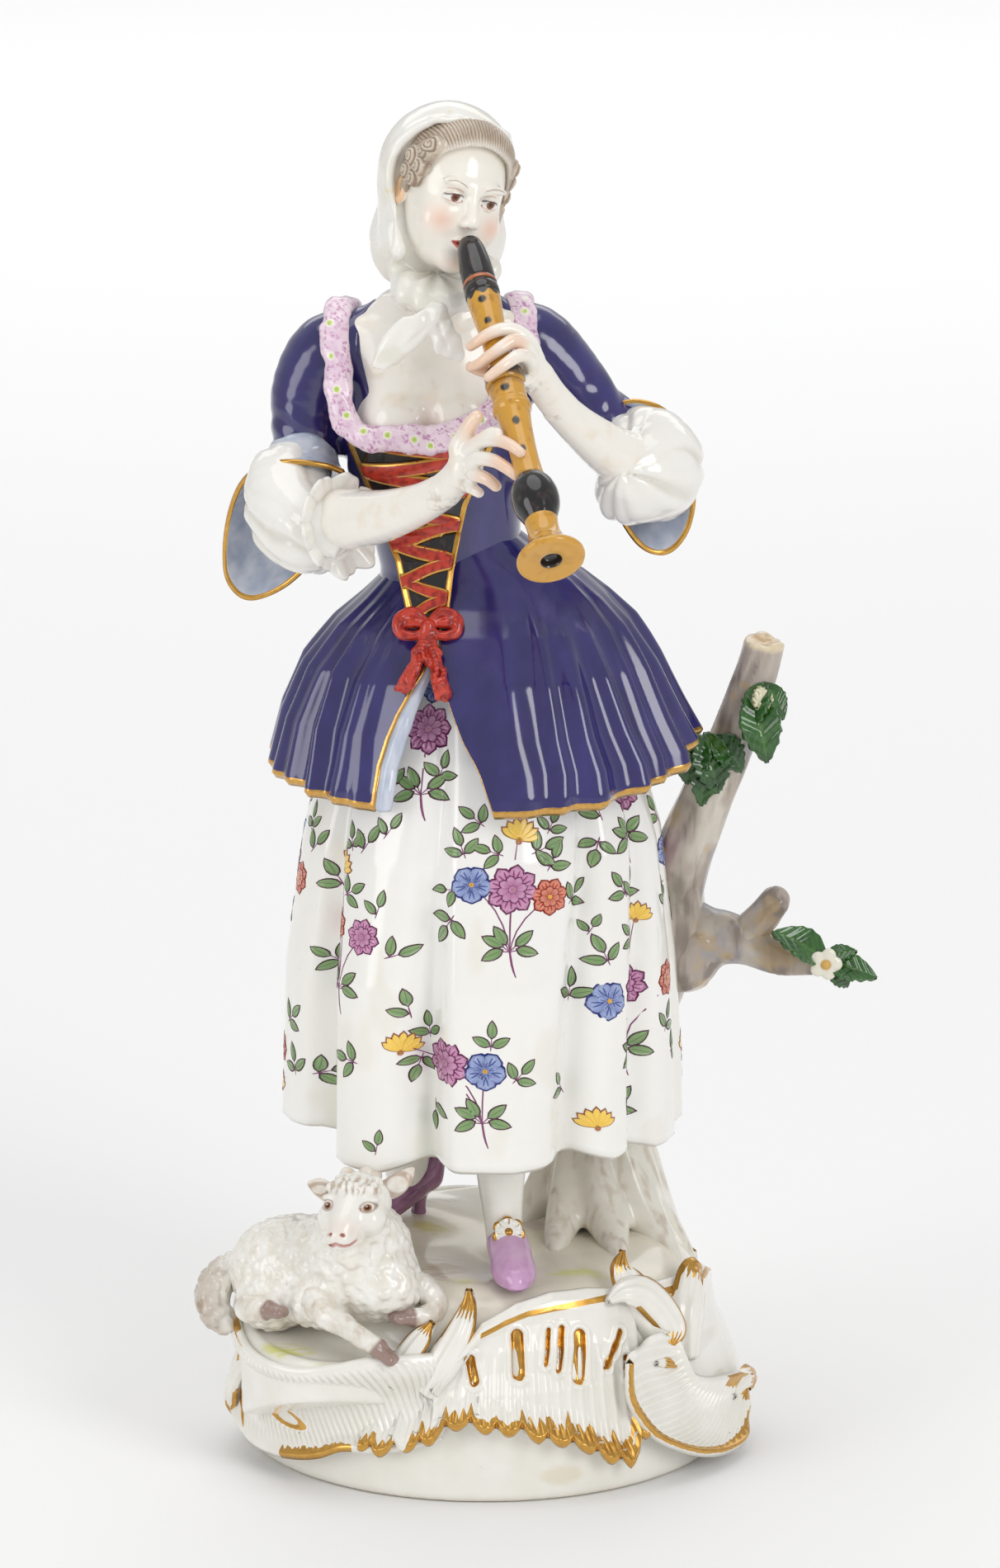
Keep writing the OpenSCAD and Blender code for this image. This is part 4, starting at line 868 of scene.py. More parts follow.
p, q, uv, edge = sheet(lining_sheet, 14, 90, 1.0)
streak = fbm(p * vec(0.9, 0.9, 0.12)) * 0.5 + 0.5
piece("jacket_lining_fold", (p, q), MAT["lining"], ["jacket_lining"],
      blend(linear(176, 186, 206), linear(212, 216, 226), streak))

# ---- Bodice, sleeves and cuffs ------------------------------------------------------------

LEVELS = [162, 168, 172, 178, 184, 191, 198, 204, 210, 216, 222, 228, 234]


def girth(z):
    """Centre x, half width, front depth and back depth of the close bodice at height z."""
    mid = np.interp(z, LEVELS, [-6.4, -6.4, -6.4, -6.6, -7.4, -8.6, -9.3, -9.5, -9.6, -9.6, -9.4, -9.2, -9])
    half = np.interp(z, LEVELS, [17, 15.6, 14.3, 13.9, 14.5, 16.2, 17.9, 18.6, 18.6, 18.4, 17.6, 15, 10])
    front = np.interp(z, LEVELS, [17, 15.4, 13.6, 12.6, 12.5, 12.9, 13.8, 14.9, 14.8, 12.8, 9.8, 7.4, 5])
    back = np.interp(z, LEVELS, [14.6, 13.4, 12.4, 11.8, 11.8, 12.2, 12.8, 13.2, 13.2, 12.6, 11.4, 9.2, 6])
    return mid, half, front, back


def torso(x, y, z, off=0.0):
    """Distance to the close bodice, pushed out by off."""
    mid, half, front, back = girth(z)
    deep = np.where(y < 0, front, back) + off
    half = half + off
    k0 = np.sqrt(((x - mid) / half) ** 2 + (y / deep) ** 2)
    k1 = np.sqrt(((x - mid) / half ** 2) ** 2 + (y / deep ** 2) ** 2) + 1e-6
    return np.maximum(k0 * (k0 - 1) / k1, z - 232)


def chest(x, z, off=0.0):
    """Point on the front of the bodice at x and height z, off mm proud."""
    mid, half, front, _ = girth(z)
    t = np.clip((x - mid) / half, -0.985, 0.985)
    root = np.sqrt(1 - t * t)
    n = np.stack([t / half, -root / front], -1)
    n /= np.linalg.norm(n, axis=-1)[..., None]
    return np.stack([x + off * n[..., 0], -front * root + off * n[..., 1], z], -1)


RIGHT_SLEEVE = [(-25, 1.5, 221.5), (-30.4, 1.4, 219.6), (-34.4, 0.6, 213), (-35.2, -0.6, 206),
                (-35.3, -1.6, 200)]
LEFT_SLEEVE = [(4, 3, 223), (9.5, 3, 221.4), (15, 2.2, 216.6), (20, 1.2, 210.6), (25.2, 0.2, 204.6)]

c = Clay((-45, -18, 168), (34, 16, 234), 0.46)
c.field(torso)
c.tube(RIGHT_SLEEVE, [7.6, 8.2, 7.4, 6.5, 6.3], 3.5, steps=14)
c.tube(LEFT_SLEEVE, [7.4, 8.0, 7.2, 6.5, 6.5], 3.5, steps=14)
c.tube([(-31, -8.4, 222), (-28.6, -10.2, 214), (-28, -11.6, 207)], [0.5, 1.0, 0.5], 1.6)
c.egg((-10, -12, 227), (15.6, 18, 20.4), 0.8, cut=True)
c.egg((-10, 2, 236), (12, 20, 12), 0.8, cut=True)


def creases(p):
    """Soft pulls in the cloth at the arm bends and under the arms."""
    x, y, z = p.T
    right_arm = ease(-x, 24, 33) * ease(z, 214, 200)
    left_arm = ease(x, 9, 18) * ease(z, 221, 208)
    out = 0.32 * right_arm * np.sin(z * 1.25 + x * 0.7 + 1.5 * np.sin(y * 0.35))
    out += 0.42 * left_arm * np.sin((x - z) * 0.55 + 2.0 * np.sin(y * 0.3))
    out += 0.22 * ease(np.abs(x + 9), 9, 15) * ease(z, 210, 198) * np.sin(x * 1.1 + z * 0.35)
    return out


c.relief(creases)
c.slab((0, 0, 170), (0, 0, -1))
c.field(lambda x, y, z: np.maximum(0.05 * (x + 34) + 0.35 * (y + 1.6) + z - 200.5, x + 27), 0.3, cut=True)
c.field(lambda x, y, z: np.maximum(0.3 * y + 0.72 * (z - 204.4) - 0.72 * (x - 26), 12 - x), 0.3, cut=True)
p, q = c.mesh(4)
piece("bodice_and_sleeves", (p, q), MAT["cobalt"],
      ["bodice", "bodice_back", "right_sleeve", "left_sleeve"], cobalt(p))


def cuff(name, rim, throat, node):
    """A winged cuff: a sheet from the throat loop to the rim loop, lined pale, with a thin gold edge."""
    steps = 24
    n = steps * len(rim)
    a, b = [curve(loop + loop[:3], steps * (len(loop) + 2) + 1)[:n + 1] for loop in (rim, throat)]

    def fn(u, v):
        i = (u % 1) * n
        k = np.floor(i).astype(int) % n
        f = (i - np.floor(i))[..., None]
        outer = a[k] * (1 - f) + a[k + 1] * f
        inner = b[k] * (1 - f) + b[k + 1] * f
        w = v[..., None]
        return inner * (1 - w) + outer * w + vec(0, 1.6, -1.2) * np.sin(np.pi * w)

    p, q, uv, edge = sheet(fn, 180, 26, 1.1, closed=True)
    band = ease(uv[:, 1], 0.97, 0.99)
    cloudy = fbm(p * 0.5) * 0.5 + 0.5
    piece(name, (p, q), MAT["lining"], [node],
          blend(linear(160, 170, 192), linear(204, 209, 220), cloudy), band * 0.9)


cuff("right_cuff_wing",
     [(-27.4, -10.6, 199.4), (-31, -12.2, 201), (-37.4, -12.6, 201.8), (-43.4, -9.4, 200.4),
      (-47.8, -5, 196), (-50.4, -2, 189.6), (-51.6, -1.4, 182), (-51, -2, 176), (-48, -3, 172.4),
      (-43.8, -4, 172.2), (-38, -5, 175.4), (-32, -6, 182), (-28.2, -8, 190), (-27.2, -9.6, 195)],
     [(-29.4, -5.4, 202.4), (-31.4, -6.8, 204.4), (-34.2, -7.6, 205.4), (-37, -7.4, 205.4),
      (-39.8, -5.8, 204.6), (-41.8, -2, 203), (-41.8, 2, 200), (-40.4, 4, 194), (-38, 5, 193),
      (-35.6, 5.2, 192.6), (-33, 4.8, 193),
      (-30.6, 3.4, 194), (-29, 1, 197), (-28.6, -2.4, 200)], "right_cuff")
cuff("left_cuff_wing",
     [(24.4, -2, 208.8), (26.6, -1.8, 210.4), (30, -2.4, 211), (34.2, -3.2, 209.8), (37.4, -3.6, 206.4),
      (39.8, -3.4, 200), (40.6, -3.2, 192), (39.6, -3.6, 186.4), (37, -4, 182.6), (34, -4.6, 181.8),
      (30.6, -5.4, 184), (27, -6, 189.6), (24, -5.4, 196.6), (23, -3.6, 204)],
     [(22.4, -3.4, 206.6), (24.2, -3.4, 208.2), (26, -2.6, 208.8), (28, -1, 208), (29.8, 1, 206.4),
      (30.6, 3.4, 204.4), (30, 5.6, 202.6), (28.4, 6.6, 201.4), (26.4, 6.6, 200.6), (24.4, 6, 200.4),
      (22.6, 4.4, 200.8), (21.4, 2, 201.8), (21, -0.4, 203.2), (21.4, -2.4, 205)], "left_cuff")

# ---- Shift sleeves ------------------------------------------------------------------------


def gathers(p, axis, origin, count, height, seed=0.0):
    """Ridges running along an axis, as cloth gathered at its ends."""
    w = unit(vec(*axis))
    d = p - vec(*origin)
    s = d @ w
    u = unit(np.cross(w, vec(0, 0, 1)))
    v = np.cross(w, u)
    a = np.arctan2(d @ v, d @ u)
    wob = (a * count + 1.9 * np.sin(a * 2 + s * 0.16 + seed) + 0.8 * np.sin(a * 5 - s * 0.3 + seed)
           + 0.4 * np.sin(s * 0.5 + seed))
    deep = 0.55 + 0.45 * np.sin(a * 3.0 + seed * 2 + s * 0.1)
    return height * (deep * (1 - np.abs(np.sin(wob * 0.5))) + 0.3 * np.sin(a * 2.0 + seed))


def shift_sleeve(name, node, lo, hi, line, radii, bulges, axis, origin, middle, seed):
    """A puffed sleeve of the shift, gathered along an axis; bulges are eggs melted into it."""
    c = Clay(lo, hi, 0.36)
    c.tube(line, radii, steps=16)
    for at, size in bulges:
        c.egg(at, size, 3)
    c.relief(lambda p: gathers(p, axis, origin, 11, -0.95, seed)
             * ease(np.linalg.norm(p - vec(*middle), axis=1), 2, 7))
    p, q = c.mesh(2)
    shade = ease(gathers(p, axis, origin, 11, 1.0, seed), 0.2, 0.9) * 0.35
    piece(name, (p, q), MAT["white"], [node], blend(WHITE, SHADE, shade))


shift_sleeve("right_shift_sleeve", "right_puff", (-48, -24, 175), (-24, 4, 204),
             [(-36, -2, 199), (-38.2, -6, 195.4), (-37.6, -11, 190.4), (-33.6, -16, 188.4),
              (-30.4, -18.6, 189.4)],
             [6.6, 8.4, 9.4, 8.8, 6.4], [], (0.45, -0.8, -0.4), (-36.6, -9, 191), (-38, -9, 191), 0.4)


def frill_ring(u, v):
    """Ruffle at the right elbow: a wavy collar round the forearm that hangs down."""
    a = 2 * np.pi * u
    axis = unit(vec(0.62, -0.62, 0.12))
    e1 = unit(np.cross(axis, vec(0, 0, 1)))
    e2 = np.cross(axis, e1)
    hang = 0.5 - 0.5 * np.cos(a - 0.15)
    wave = np.sin(a * 9 + 0.6 * np.sin(2 * a)) * 0.75 + 0.3 * np.sin(a * 17 + 1)
    r = 5.6 + v * (3.4 + 1.6 * hang) + wave * v * v * 0.8
    run = v * (0.8 + 1.0 * hang) + wave * v * 0.9
    origin = vec(-29.6, -19.2, 190.6)
    return (origin + axis * run[..., None]
            + (e1 * np.cos(a)[..., None] + e2 * np.sin(a)[..., None]) * r[..., None]
            - vec(0, 0, 1) * (v * v * hang * 1.4)[..., None])


p, q, uv, edge = sheet(frill_ring, 220, 22, 0.9, closed=True)
piece("right_elbow_ruffle", (p, q), MAT["white"], ["right_ruffle"],
      blend(WHITE, SHADE, 0.5 * ease(uv[:, 1], 0.5, 0.0) + 0.15 * fbm(p * 0.6)))

shift_sleeve("left_shift_sleeve", "left_puff", (18, -25, 184), (46, 6, 214),
             [(27, -1, 203), (31.6, -5, 202), (33.4, -9, 199.6), (31.4, -13, 199), (28, -16.6, 199.4)],
             [6.4, 8.6, 9.8, 9.0, 6.4], [((34, -7, 198), (7.6, 7, 9.4)), ((27.4, -13, 194.6), (6, 6, 5.2))],
             (-0.3, -0.85, 0.1), (31.6, -8, 199.4), (32, -9, 199), 2.1)

# ---- Bust, neckline and lacing ------------------------------------------------------------

c = Clay((-32, -20, 196), (15, 14, 244), 0.4)
c.field(lambda x, y, z: torso(x, y, z, -0.8))
c.tube([(-25.5, 1.5, 221.6), (-10, 2, 223.6), (6.4, 2, 222.6)], [6.4, 7.4, 6.2], 4, steps=8)
c.tube([(-10, 1.8, 220), (-9.6, 1.8, 228), (-8.2, 2.2, 236), (-7.4, 2.4, 242)], [8.4, 6.6, 6.2, 6.2], 6,
       steps=8)
c.egg((-16.6, -8.6, 208.4), (7.2, 6.4, 6.6), 4)
c.egg((-4.6, -8.8, 209.2), (7.0, 6.2, 6.4), 4)
c.egg((-10.6, -15.6, 208.6), (1.1, 2.2, 4.6), 2.4, cut=True)
c.tube([(-24, -3.2, 226.4), (-16, -5.2, 224.6), (-11.6, -6.2, 222.6)], [1.0, 1.1, 0.8], 3)
c.tube([(4.5, -3, 227.4), (-3, -5.2, 225), (-7.4, -6.2, 222.8)], [1.0, 1.1, 0.8], 3)
c.slab((0, 0, 197.5), (0, 0, -1))
p, q = c.mesh(2)
warm = ease(fbm(p * 0.22 + 3), 0.15, 0.9) * 0.35
dirt = (ease(fbm(p * 0.5 + 9, 4), 0.5, 1.1) * 0.16
        * ease(np.linalg.norm((p - vec(-8, -14, 214)) * vec(0.6, 0.6, 1), axis=1), 13, 4))
# Painted shade: a peach tint down the cleft between the breasts.
cleft_shade = np.exp(-((p[:, 0] + 10.4) / 3.4) ** 2 - ((p[:, 2] - 207.5) / 4) ** 2) * 0.35
col = blend(blend(blend(WHITE, SKIN, 0.6), linear(226, 206, 176), warm), linear(150, 126, 90), dirt)
piece("bust_and_neck", (p, q), MAT["skin"], ["bust"], blend(col, linear(232, 196, 172), cleft_shade))

NECKLINE = [(-26.8, 6, 228.4), (-27.4, 3.4, 229.2), (-28.6, -0.8, 229), (-29.2, -5, 224.6),
            (-28.4, -8.8, 219), (-28.2, -11.6, 213.6), (-26.8, -12.8, 209.2), (-23.4, -14.6, 206.6),
            (-18.4, -15.8, 206.4), (-13.4, -16.2, 206.6), (-10.6, -16.2, 206.2), (-6.4, -16, 207.4),
            (-1.4, -14.8, 209.4), (3, -12.4, 212.6), (6.4, -9.4, 217), (8, -5.6, 222.4),
            (7.4, -2.2, 227), (6.8, 1.4, 230), (6.4, 4.6, 230), (6, 6.6, 229)]
path = curve(NECKLINE, 90)
c = Clay((-34, -22, 200), (14, 11, 235), 0.32)
run = np.linspace(0, 1, 90)
lump = 0.09 * np.sin(run * 2 * np.pi * 13 + 1) + 0.05 * np.sin(run * 2 * np.pi * 29)
side = np.where(run < 0.5, -1.0, 1.0) * (1 - np.exp(-((run - 0.5) / 0.17) ** 2))
wide = vec(1, 0, 0) * side[:, None] + vec(0, -0.25, -1) * (1 - np.abs(side))[:, None]
c.tube(path + wide * -1.1, 1.75 + lump, 0)
c.tube(path + wide * (1.15 + 1.2 * lump[:, None]), 1.75 + lump * 1.6, 1.6)
c.relief(lambda p: 0.16 * fbm(p * 0.55) + 0.07 * np.sin(p[:, 0] * 2.6 + p[:, 2] * 1.4))
p, q = c.mesh(2)
stain = ease(fbm(p * 2.3 + 5, 3), 0.0, 0.5) * ease(fbm(p * 0.6 + 8), -0.5, 0.2)
col = blend(linear(236, 216, 228), linear(176, 98, 158), stain * 0.85)
col = blend(col, linear(220, 186, 210), ease(fbm(p * 0.3 + 21), 0, 0.8) * 0.5)
for k in range(2, 88, 5):
    at = path[k] + wide[k] * (1.3 * math.sin(k * 2.7)) + vec(0, -1.9, 0.5)
    away = np.linalg.norm((p - at) * vec(1, 0.7, 1), axis=1)
    col = blend(col, linear(244, 236, 226), ease(away, 1.05, 0.75))
    col = blend(col, LIME, ease(away, 0.66, 0.4))
piece("neckline_roll", (p, q), MAT["frill"], ["neckline_frill"], col)

V_LEFT = ([168, 173.7, 182.6, 195.2, 204, 207], [-13.6, -14.7, -16.8, -22.4, -26.2, -27])
V_RIGHT = ([168, 173.7, 180.7, 192.6, 199.1, 205, 207], [-8, -7.2, -6.2, -3.6, -1.2, 1.6, 2.4])


def skirt_front(z):
    """How far the jacket skirt's front comes forward at height z."""
    return np.interp(z, [150, 155, 160, 168, 173, 177, 182, 187, 190],
                     [33.6, 31.4, 28.6, 22.6, 18.6, 17.2, 15.6, 13, 0])


def stomacher(u, z, off):
    """A point of the laced V, which runs down in front of the skirt to the bow."""
    left, right = np.interp(z, *V_LEFT), np.interp(z, *V_RIGHT)
    p = chest(right + (left - right) * u, z, off)
    p[..., 1] = np.minimum(p[..., 1], -skirt_front(z) - off)
    return p


def stomacher_sheet(u, v):
    edge = np.exp(-(np.minimum(u, 1 - u) / 0.05) ** 2)
    return stomacher(u, 207 - 36.4 * v, 0.55 + 0.35 * edge)


p, q, uv, side = sheet(stomacher_sheet, 80, 130, 1.1)
rim = ease(np.minimum(uv[:, 0], 1 - uv[:, 0]) * np.interp(p[:, 2], [170, 207], [6, 29]), 1.15, 0.95)
piece("stomacher_panel", (p, q), MAT["black"], ["stomacher"],
      blend(BLACK, linear(52, 42, 40), ease(fbm(p * 0.9), 0.2, 0.9)), rim)

parts, gilt = [], []
LACE_TOP, LACE_STEP, LACES = 205.6, 3.35, 10
for k in range(LACES):
    za, zb = LACE_TOP - LACE_STEP * k, LACE_TOP - LACE_STEP * (k + 1)
    flip = k % 2

    def ribbon(u, v, za=za, zb=zb, flip=flip):
        t = u if flip else 1 - u
        half = 1.5 - 0.012 * (205 - za)
        z = za + (zb - za) * t + (0.5 - v) * 2 * half + 0.25 * np.sin(t * 5 + za)
        return stomacher(0.045 + 0.91 * u, z, 1.05 + 0.3 * np.sin(np.pi * v) + 0.12 * flip)

    p, q, uv, edge = sheet(ribbon, 40, 12, 0.6)
    parts.append((p, q, blend(RED, RED_DEEP, ease(fbm(p * 1.1), -0.3, 0.7))))
    gilt.append(ease(np.minimum(uv[:, 1], 1 - uv[:, 1]), 0.15, 0.1) * (fbm(p * 1.7) > -0.75))
p, q, col = joined(parts)
piece("lacing_ribbons", (p, q), MAT["red"], ["lacing"], col, np.concatenate(gilt))


def over_skirt(x, z, off):
    """A point off mm in front of the jacket skirt's front."""
    return (x, -float(skirt_front(z)) - off, z)


BOW_X = -11


def on_bow(*points):
    """Points given as (x from the bow's middle, height, mm in front of the skirt)."""
    return [over_skirt(BOW_X + x, z, off) for x, z, off in points]


def bow_creases(p):
    """Ripples down the tails and pleats fanning out from the knot."""
    x, z = p[:, 0] - BOW_X, p[:, 2]
    tails = 0.12 * np.sin(p[:, 0] * 3.1 + 1.3 * np.sin(z * 1.1)) * ease(z, 169, 166)
    return tails + 0.1 * np.sin(np.arctan2(z - 170.4, x) * 9) * ease(np.abs(x), 1.2, 2.2) * (z > 168.4)


c = Clay((-21, -35, 154), (-1, -13, 177), 0.2)
for s in (-1, 1):
    c.tube(on_bow((0, 170.6, 0.4), (s * 2.4, 172.8, 1.2), (s * 5.2, 172.2, 1), (s * 5.6, 169.6, 0.6),
                  (s * 3, 168.9, 0.8), (0, 169.8, 0.4)), [0.7, 1.1, 1.2, 1.2, 1.0, 0.7], 0.5, steps=22)
    c.tube(on_bow((s * 1.2, 170.8, 0.1), (s * 4, 170.8, 0.0)), [0.9, 1.3], 0.5)
    c.tube(on_bow((s * 1.6, 170.7, 1.9), (s * 3.8, 171, 2.1), (s * 5, 170.6, 1.8)), [0.3, 0.5, 0.25], 0.4,
           cut=True)
c.egg(over_skirt(BOW_X, 170.3, 1.2), (1.5, 1.4, 1.7), 0.5)
for way, far in ((-1.6, 160.4), (1.1, 159)):
    line = on_bow((way * 0.25, 169, 0.8), (way * 1.1, 166, 1.2), (way * 1.7, 163, 1.0), (way * 2.8, far, 0.9))
    c.tube(line, [0.9, 1.5, 1.55, 1.95], 0.5, flat=((0.1, -0.8, -0.5), 0.45), steps=14)
    end = np.array(line[-1])
    c.tube([end + vec(0, -0.6, -2.2), end + vec(0, 0, 0.6)], [1.0, 0.15], 0.3, cut=True)
    c.tube([np.array(line[1]) + vec(0.2, -1.2, 0), np.array(line[2]) + vec(0.3, -1.2, -0.6)], 0.3, 0.4,
           cut=True)
c.relief(bow_creases)
p, q = c.mesh(1)
piece("waist_ribbon_bow", (p, q), MAT["red"], ["waist_bow"],
      blend(linear(196, 58, 40), linear(150, 34, 26), ease(fbm(p * 0.9), -0.2, 0.7)))
# ---- Arms and hands -----------------------------------------------------------------------


def flesh(p, tips=(), dirt=()):
    """Skin: white glaze with a faint warm wash, peach towards the fingertips, brown rubbing at some spots."""
    col = blend(blend(WHITE, SKIN, 0.75), linear(232, 214, 188), ease(fbm(p * 0.3 + 7), 0.2, 1.0) * 0.4)
    for at, r in tips:
        col = blend(col, PEACH, 0.62 * ease(np.linalg.norm(p - vec(*at), axis=1), r, r * 0.3))
    for at, r in dirt:
        spot = ease(np.linalg.norm(p - vec(*at), axis=1), r, r * 0.2)
        col = blend(col, linear(150, 112, 68), 0.38 * spot * ease(fbm(p * 1.3 + 2, 4), -0.1, 0.5))
    return col


def finger(c, path, r0, r1, k=0.7, nail=None):
    """A tapering finger; the nail faces the given direction."""
    c.tube(path, np.linspace(r0, r1, len(path)), k, steps=14)
    if nail is not None:
        tip, back = vec(*path[-1]), vec(*path[-2])
        way = unit(tip - back)
        at = tip - way * 0.15 + unit(vec(*nail)) * r1 * 0.92
        c.egg(at, (0.62, 0.62, 0.2), 0.15, rot=frame_of(unit(vec(*nail)), way))


def frame_of(z, x):
    """Rotation matrix whose third column is z and first is close to x."""
    y = unit(np.cross(z, x))
    return np.column_stack([np.cross(y, z), y, z])


c = Clay((-36, -62, 180), (11, -13, 222), 0.3)
c.tube([(-29, -17.6, 191), (-24.6, -23.6, 192.2), (-18.6, -30.4, 194.4), (-12, -36.8, 198),
        (-7.4, -41, 201.4)],
       [6.0, 5.7, 4.9, 3.9, 3.4], 0, steps=18)
p, q = c.mesh(2)
piece("right_lower_arm", (p, q), MAT["skin"], ["right_forearm"],
      flesh(p, dirt=[((-8, -43, 199), 4.5), ((-24, -25, 188.6), 4)]))

c = Clay((-14, -62, 194), (10, -36, 222), 0.21)
c.tube([(-8.4, -40, 200.6), (-5.8, -42.4, 203.4), (-3.8, -44.6, 206.6)], [3.3, 3.2, 3.0], 0, steps=8)
c.egg((-3.4, -45, 206.6), (3.0, 2.5, 4.0), 1.4, rot=turn(y=22, x=-16))
c.egg((-4.6, -43.8, 210), (2.0, 2.2, 2.6), 1.4)
finger(c, [(-4.6, -43.8, 210), (-3.5, -44.8, 213), (-2.4, -45.6, 215.2), (-1.4, -46.2, 216.6)], 2.0, 1.25,
       0.9, (0.3, -1, 0.4))
finger(c, [(-2.6, -46, 210.2), (-0.4, -48.6, 212.4), (2.6, -52.2, 213.2), (5.0, -55, 212.8),
           (6.9, -56.8, 211.7)], 1.6, 1.0, 0.8, (0.1, -0.7, 0.8))
finger(c, [(-2.4, -46.6, 207.6), (-0.9, -49.6, 209.2), (2.0, -53.0, 209.4), (4.4, -55.4, 208.4),
           (6.0, -57, 207.4)], 1.6, 1.0, 0.6, (-0.1, -0.8, 0.7))
finger(c, [(-2.6, -46.2, 205), (-1.6, -49.2, 206), (0.6, -51.4, 205.6), (2.2, -52, 204.4)], 1.5, 1.1, 0.7)
finger(c, [(-3, -45, 203), (-2.4, -47.8, 203.2), (-1.0, -49.4, 202.6)], 1.4, 1.0, 0.8)
finger(c, [(-1.2, -47.4, 211.6), (1.0, -50, 214.2), (2.6, -51.6, 214.6)], 1.2, 0.9, 0.7)
c.tube([(-2.2, -48.4, 208.3), (0.6, -51.6, 209.4)], [0.1, 0.1], 0.9, cut=True)
p, q = c.mesh(1)
piece("right_playing_hand", (p, q), MAT["skin"], ["right_hand"],
      flesh(p, [((-1.6, -46, 216), 6.5), ((6, -56, 212), 7.6), ((5, -56, 208), 7), ((1, -52, 205), 5)],
            [((-2.6, -48, 204.2), 3.2), ((-5, -43, 201), 2.6)]))

c = Clay((8, -34, 188), (38, -6, 222), 0.3)
c.tube([(32, -11, 200.2), (29, -15, 201.4), (24, -19.4, 205), (18.6, -23.6, 210), (14.4, -27, 214.6)],
       [6.2, 5.9, 5.0, 4.0, 3.4], 0, steps=18)
p, q = c.mesh(2)
piece("left_lower_arm", (p, q), MAT["skin"], ["left_forearm"],
      flesh(p, dirt=[((13, -31, 214), 3)]))

c = Clay((-7, -47, 207), (20, -22, 236), 0.21)
c.tube([(15.4, -26.2, 213.6), (12.6, -28.4, 217.4), (10.4, -30.4, 221)], [3.5, 3.3, 3.3], 0, steps=8)
c.egg((9.4, -31.8, 223.4), (2.7, 2.6, 4.2), 1.4, rot=turn(y=-24, x=14))
finger(c, [(9.6, -32, 225.4), (8.6, -32.8, 228.4), (6.2, -33.6, 230.6), (3.7, -34.6, 231.3),
           (0.9, -35.4, 230.5), (-1.2, -35, 229), (-2.6, -33.8, 227.8)], 1.75, 0.95, 0.8, (-0.3, -0.8, 0.5))
finger(c, [(9.2, -33, 224), (8.2, -35, 227.6), (5.8, -37, 229.4), (3.6, -38.4, 228.6), (1.2, -39.2, 227),
           (-0.8, -38.6, 225.4), (-2.2, -37.4, 224.6)], 1.7, 0.95, 0.5, (-0.3, -0.9, 0.4))
finger(c, [(9, -34, 222.6), (8.4, -37.4, 226), (6.6, -40.2, 227.2), (4.4, -42.4, 226.2),
           (2.4, -43.4, 224.9), (0.8, -43.3, 223.6)],
       1.6, 0.95, 0.5, (-0.1, -1, 0.3))
finger(c, [(8.4, -34.4, 220.4), (8.2, -37.8, 222), (7.2, -40, 222)], 1.4, 1.0, 0.8)
finger(c, [(7.2, -32, 221), (3.4, -32.6, 221.8), (-0.6, -34, 223.2), (-2.6, -34.6, 224)], 1.5, 1.05, 0.8)
p, q = c.mesh(1)
piece("left_playing_hand", (p, q), MAT["skin"], ["left_hand"],
      flesh(p, [((-2, -35, 228), 8), ((-2, -38, 225), 8), ((1, -43, 224), 7.4), ((6, -38, 229.4), 4),
                ((-2, -34, 224), 4)],
            [((9.4, -35, 219), 4.2), ((11.4, -30, 218), 2.4)]))

# ---- Head ---------------------------------------------------------------------------------

HEAD = vec(-6.8, 0, 252.5)
TURN = turn(x=-3) @ turn(y=15) @ turn(z=24)


def on_head(*p):
    """Head-frame point to a figure point; the head frame has the face towards -Y."""
    return HEAD + TURN @ np.array(p, float)


def to_head(p):
    return (p - HEAD) @ TURN


def on_head_all(points):
    return [tuple(on_head(*p)) for p in points]


c = Clay((-22, -18, 232), (9, 17, 270), 0.22)
c.egg(on_head(0, 1.4, 4.2), (10.3, 12.2, 10.8), 0, TURN)
c.egg(on_head(0, -2.6, -2.6), (8.9, 9.4, 11.4), 3, TURN)
c.egg(on_head(0, -4.6, -8.4), (6.4, 6.6, 6.2), 3, TURN)
c.egg(on_head(0, -9.6, -12.3), (2.7, 2.3, 2.1), 2.6, TURN)
c.tube([(-8.6, 2.4, 232), (-7.8, 2.4, 240), (-7, 2.4, 246)], [6.2, 6.4, 7], 3)
for s in (-1, 1):
    c.egg(on_head(s * 4.7, -7.9, -5.0), (3.5, 3.2, 3.5), 2.6, TURN)
    c.egg(on_head(s * 3.9, -12.6, 0.2), (2.6, 1.75, 1.55), 1.5, TURN, cut=True)
    c.egg(on_head(s * 3.75, -9.9, 0.1), (1.95, 1.75, 1.45), 0.25, TURN)
    c.tube(on_head_all([(s * 1.95, -10.9, -0.25), (s * 2.9, -11.75, 0.72), (s * 3.9, -11.85, 0.98),
                        (s * 4.9, -11.3, 0.68),
                        (s * 5.75, -10.3, -0.1)]), [0.26, 0.34, 0.36, 0.34, 0.24], 0.35, steps=14)
    c.tube(on_head_all([(s * 2.05, -10.9, -0.4), (s * 3.0, -11.35, -0.92), (s * 4.0, -11.35, -1.02),
                        (s * 5.0, -10.9, -0.7),
                        (s * 5.7, -10.3, -0.15)]), [0.2, 0.24, 0.26, 0.24, 0.2], 0.4, steps=14)
    c.egg(on_head(s * 3.9, -10.9, 3.0), (3.0, 1.0, 0.8), 1.6, TURN)
    c.egg(on_head(s * 1.15, -12.9, -4.35), (0.85, 1.0, 0.72), 0.7, TURN)
    c.egg(on_head(s * 0.72, -13.5, -4.95), (0.34, 0.5, 0.22), 0.25, TURN, cut=True)
    c.egg(on_head(s * 10.1, -0.4, -1.6), (1.3, 2.2, 3.1), 0.6, TURN @ turn(z=s * 12))
    c.egg(on_head(s * 11.2, -0.9, -1.4), (0.6, 1.1, 1.9), 0.4, TURN, cut=True)
c.tube(on_head_all([(0, -11.0, 2.4), (0, -12.2, -0.4), (0, -13.5, -3.0)]), [0.85, 0.85, 1.1], 1.5, steps=10)
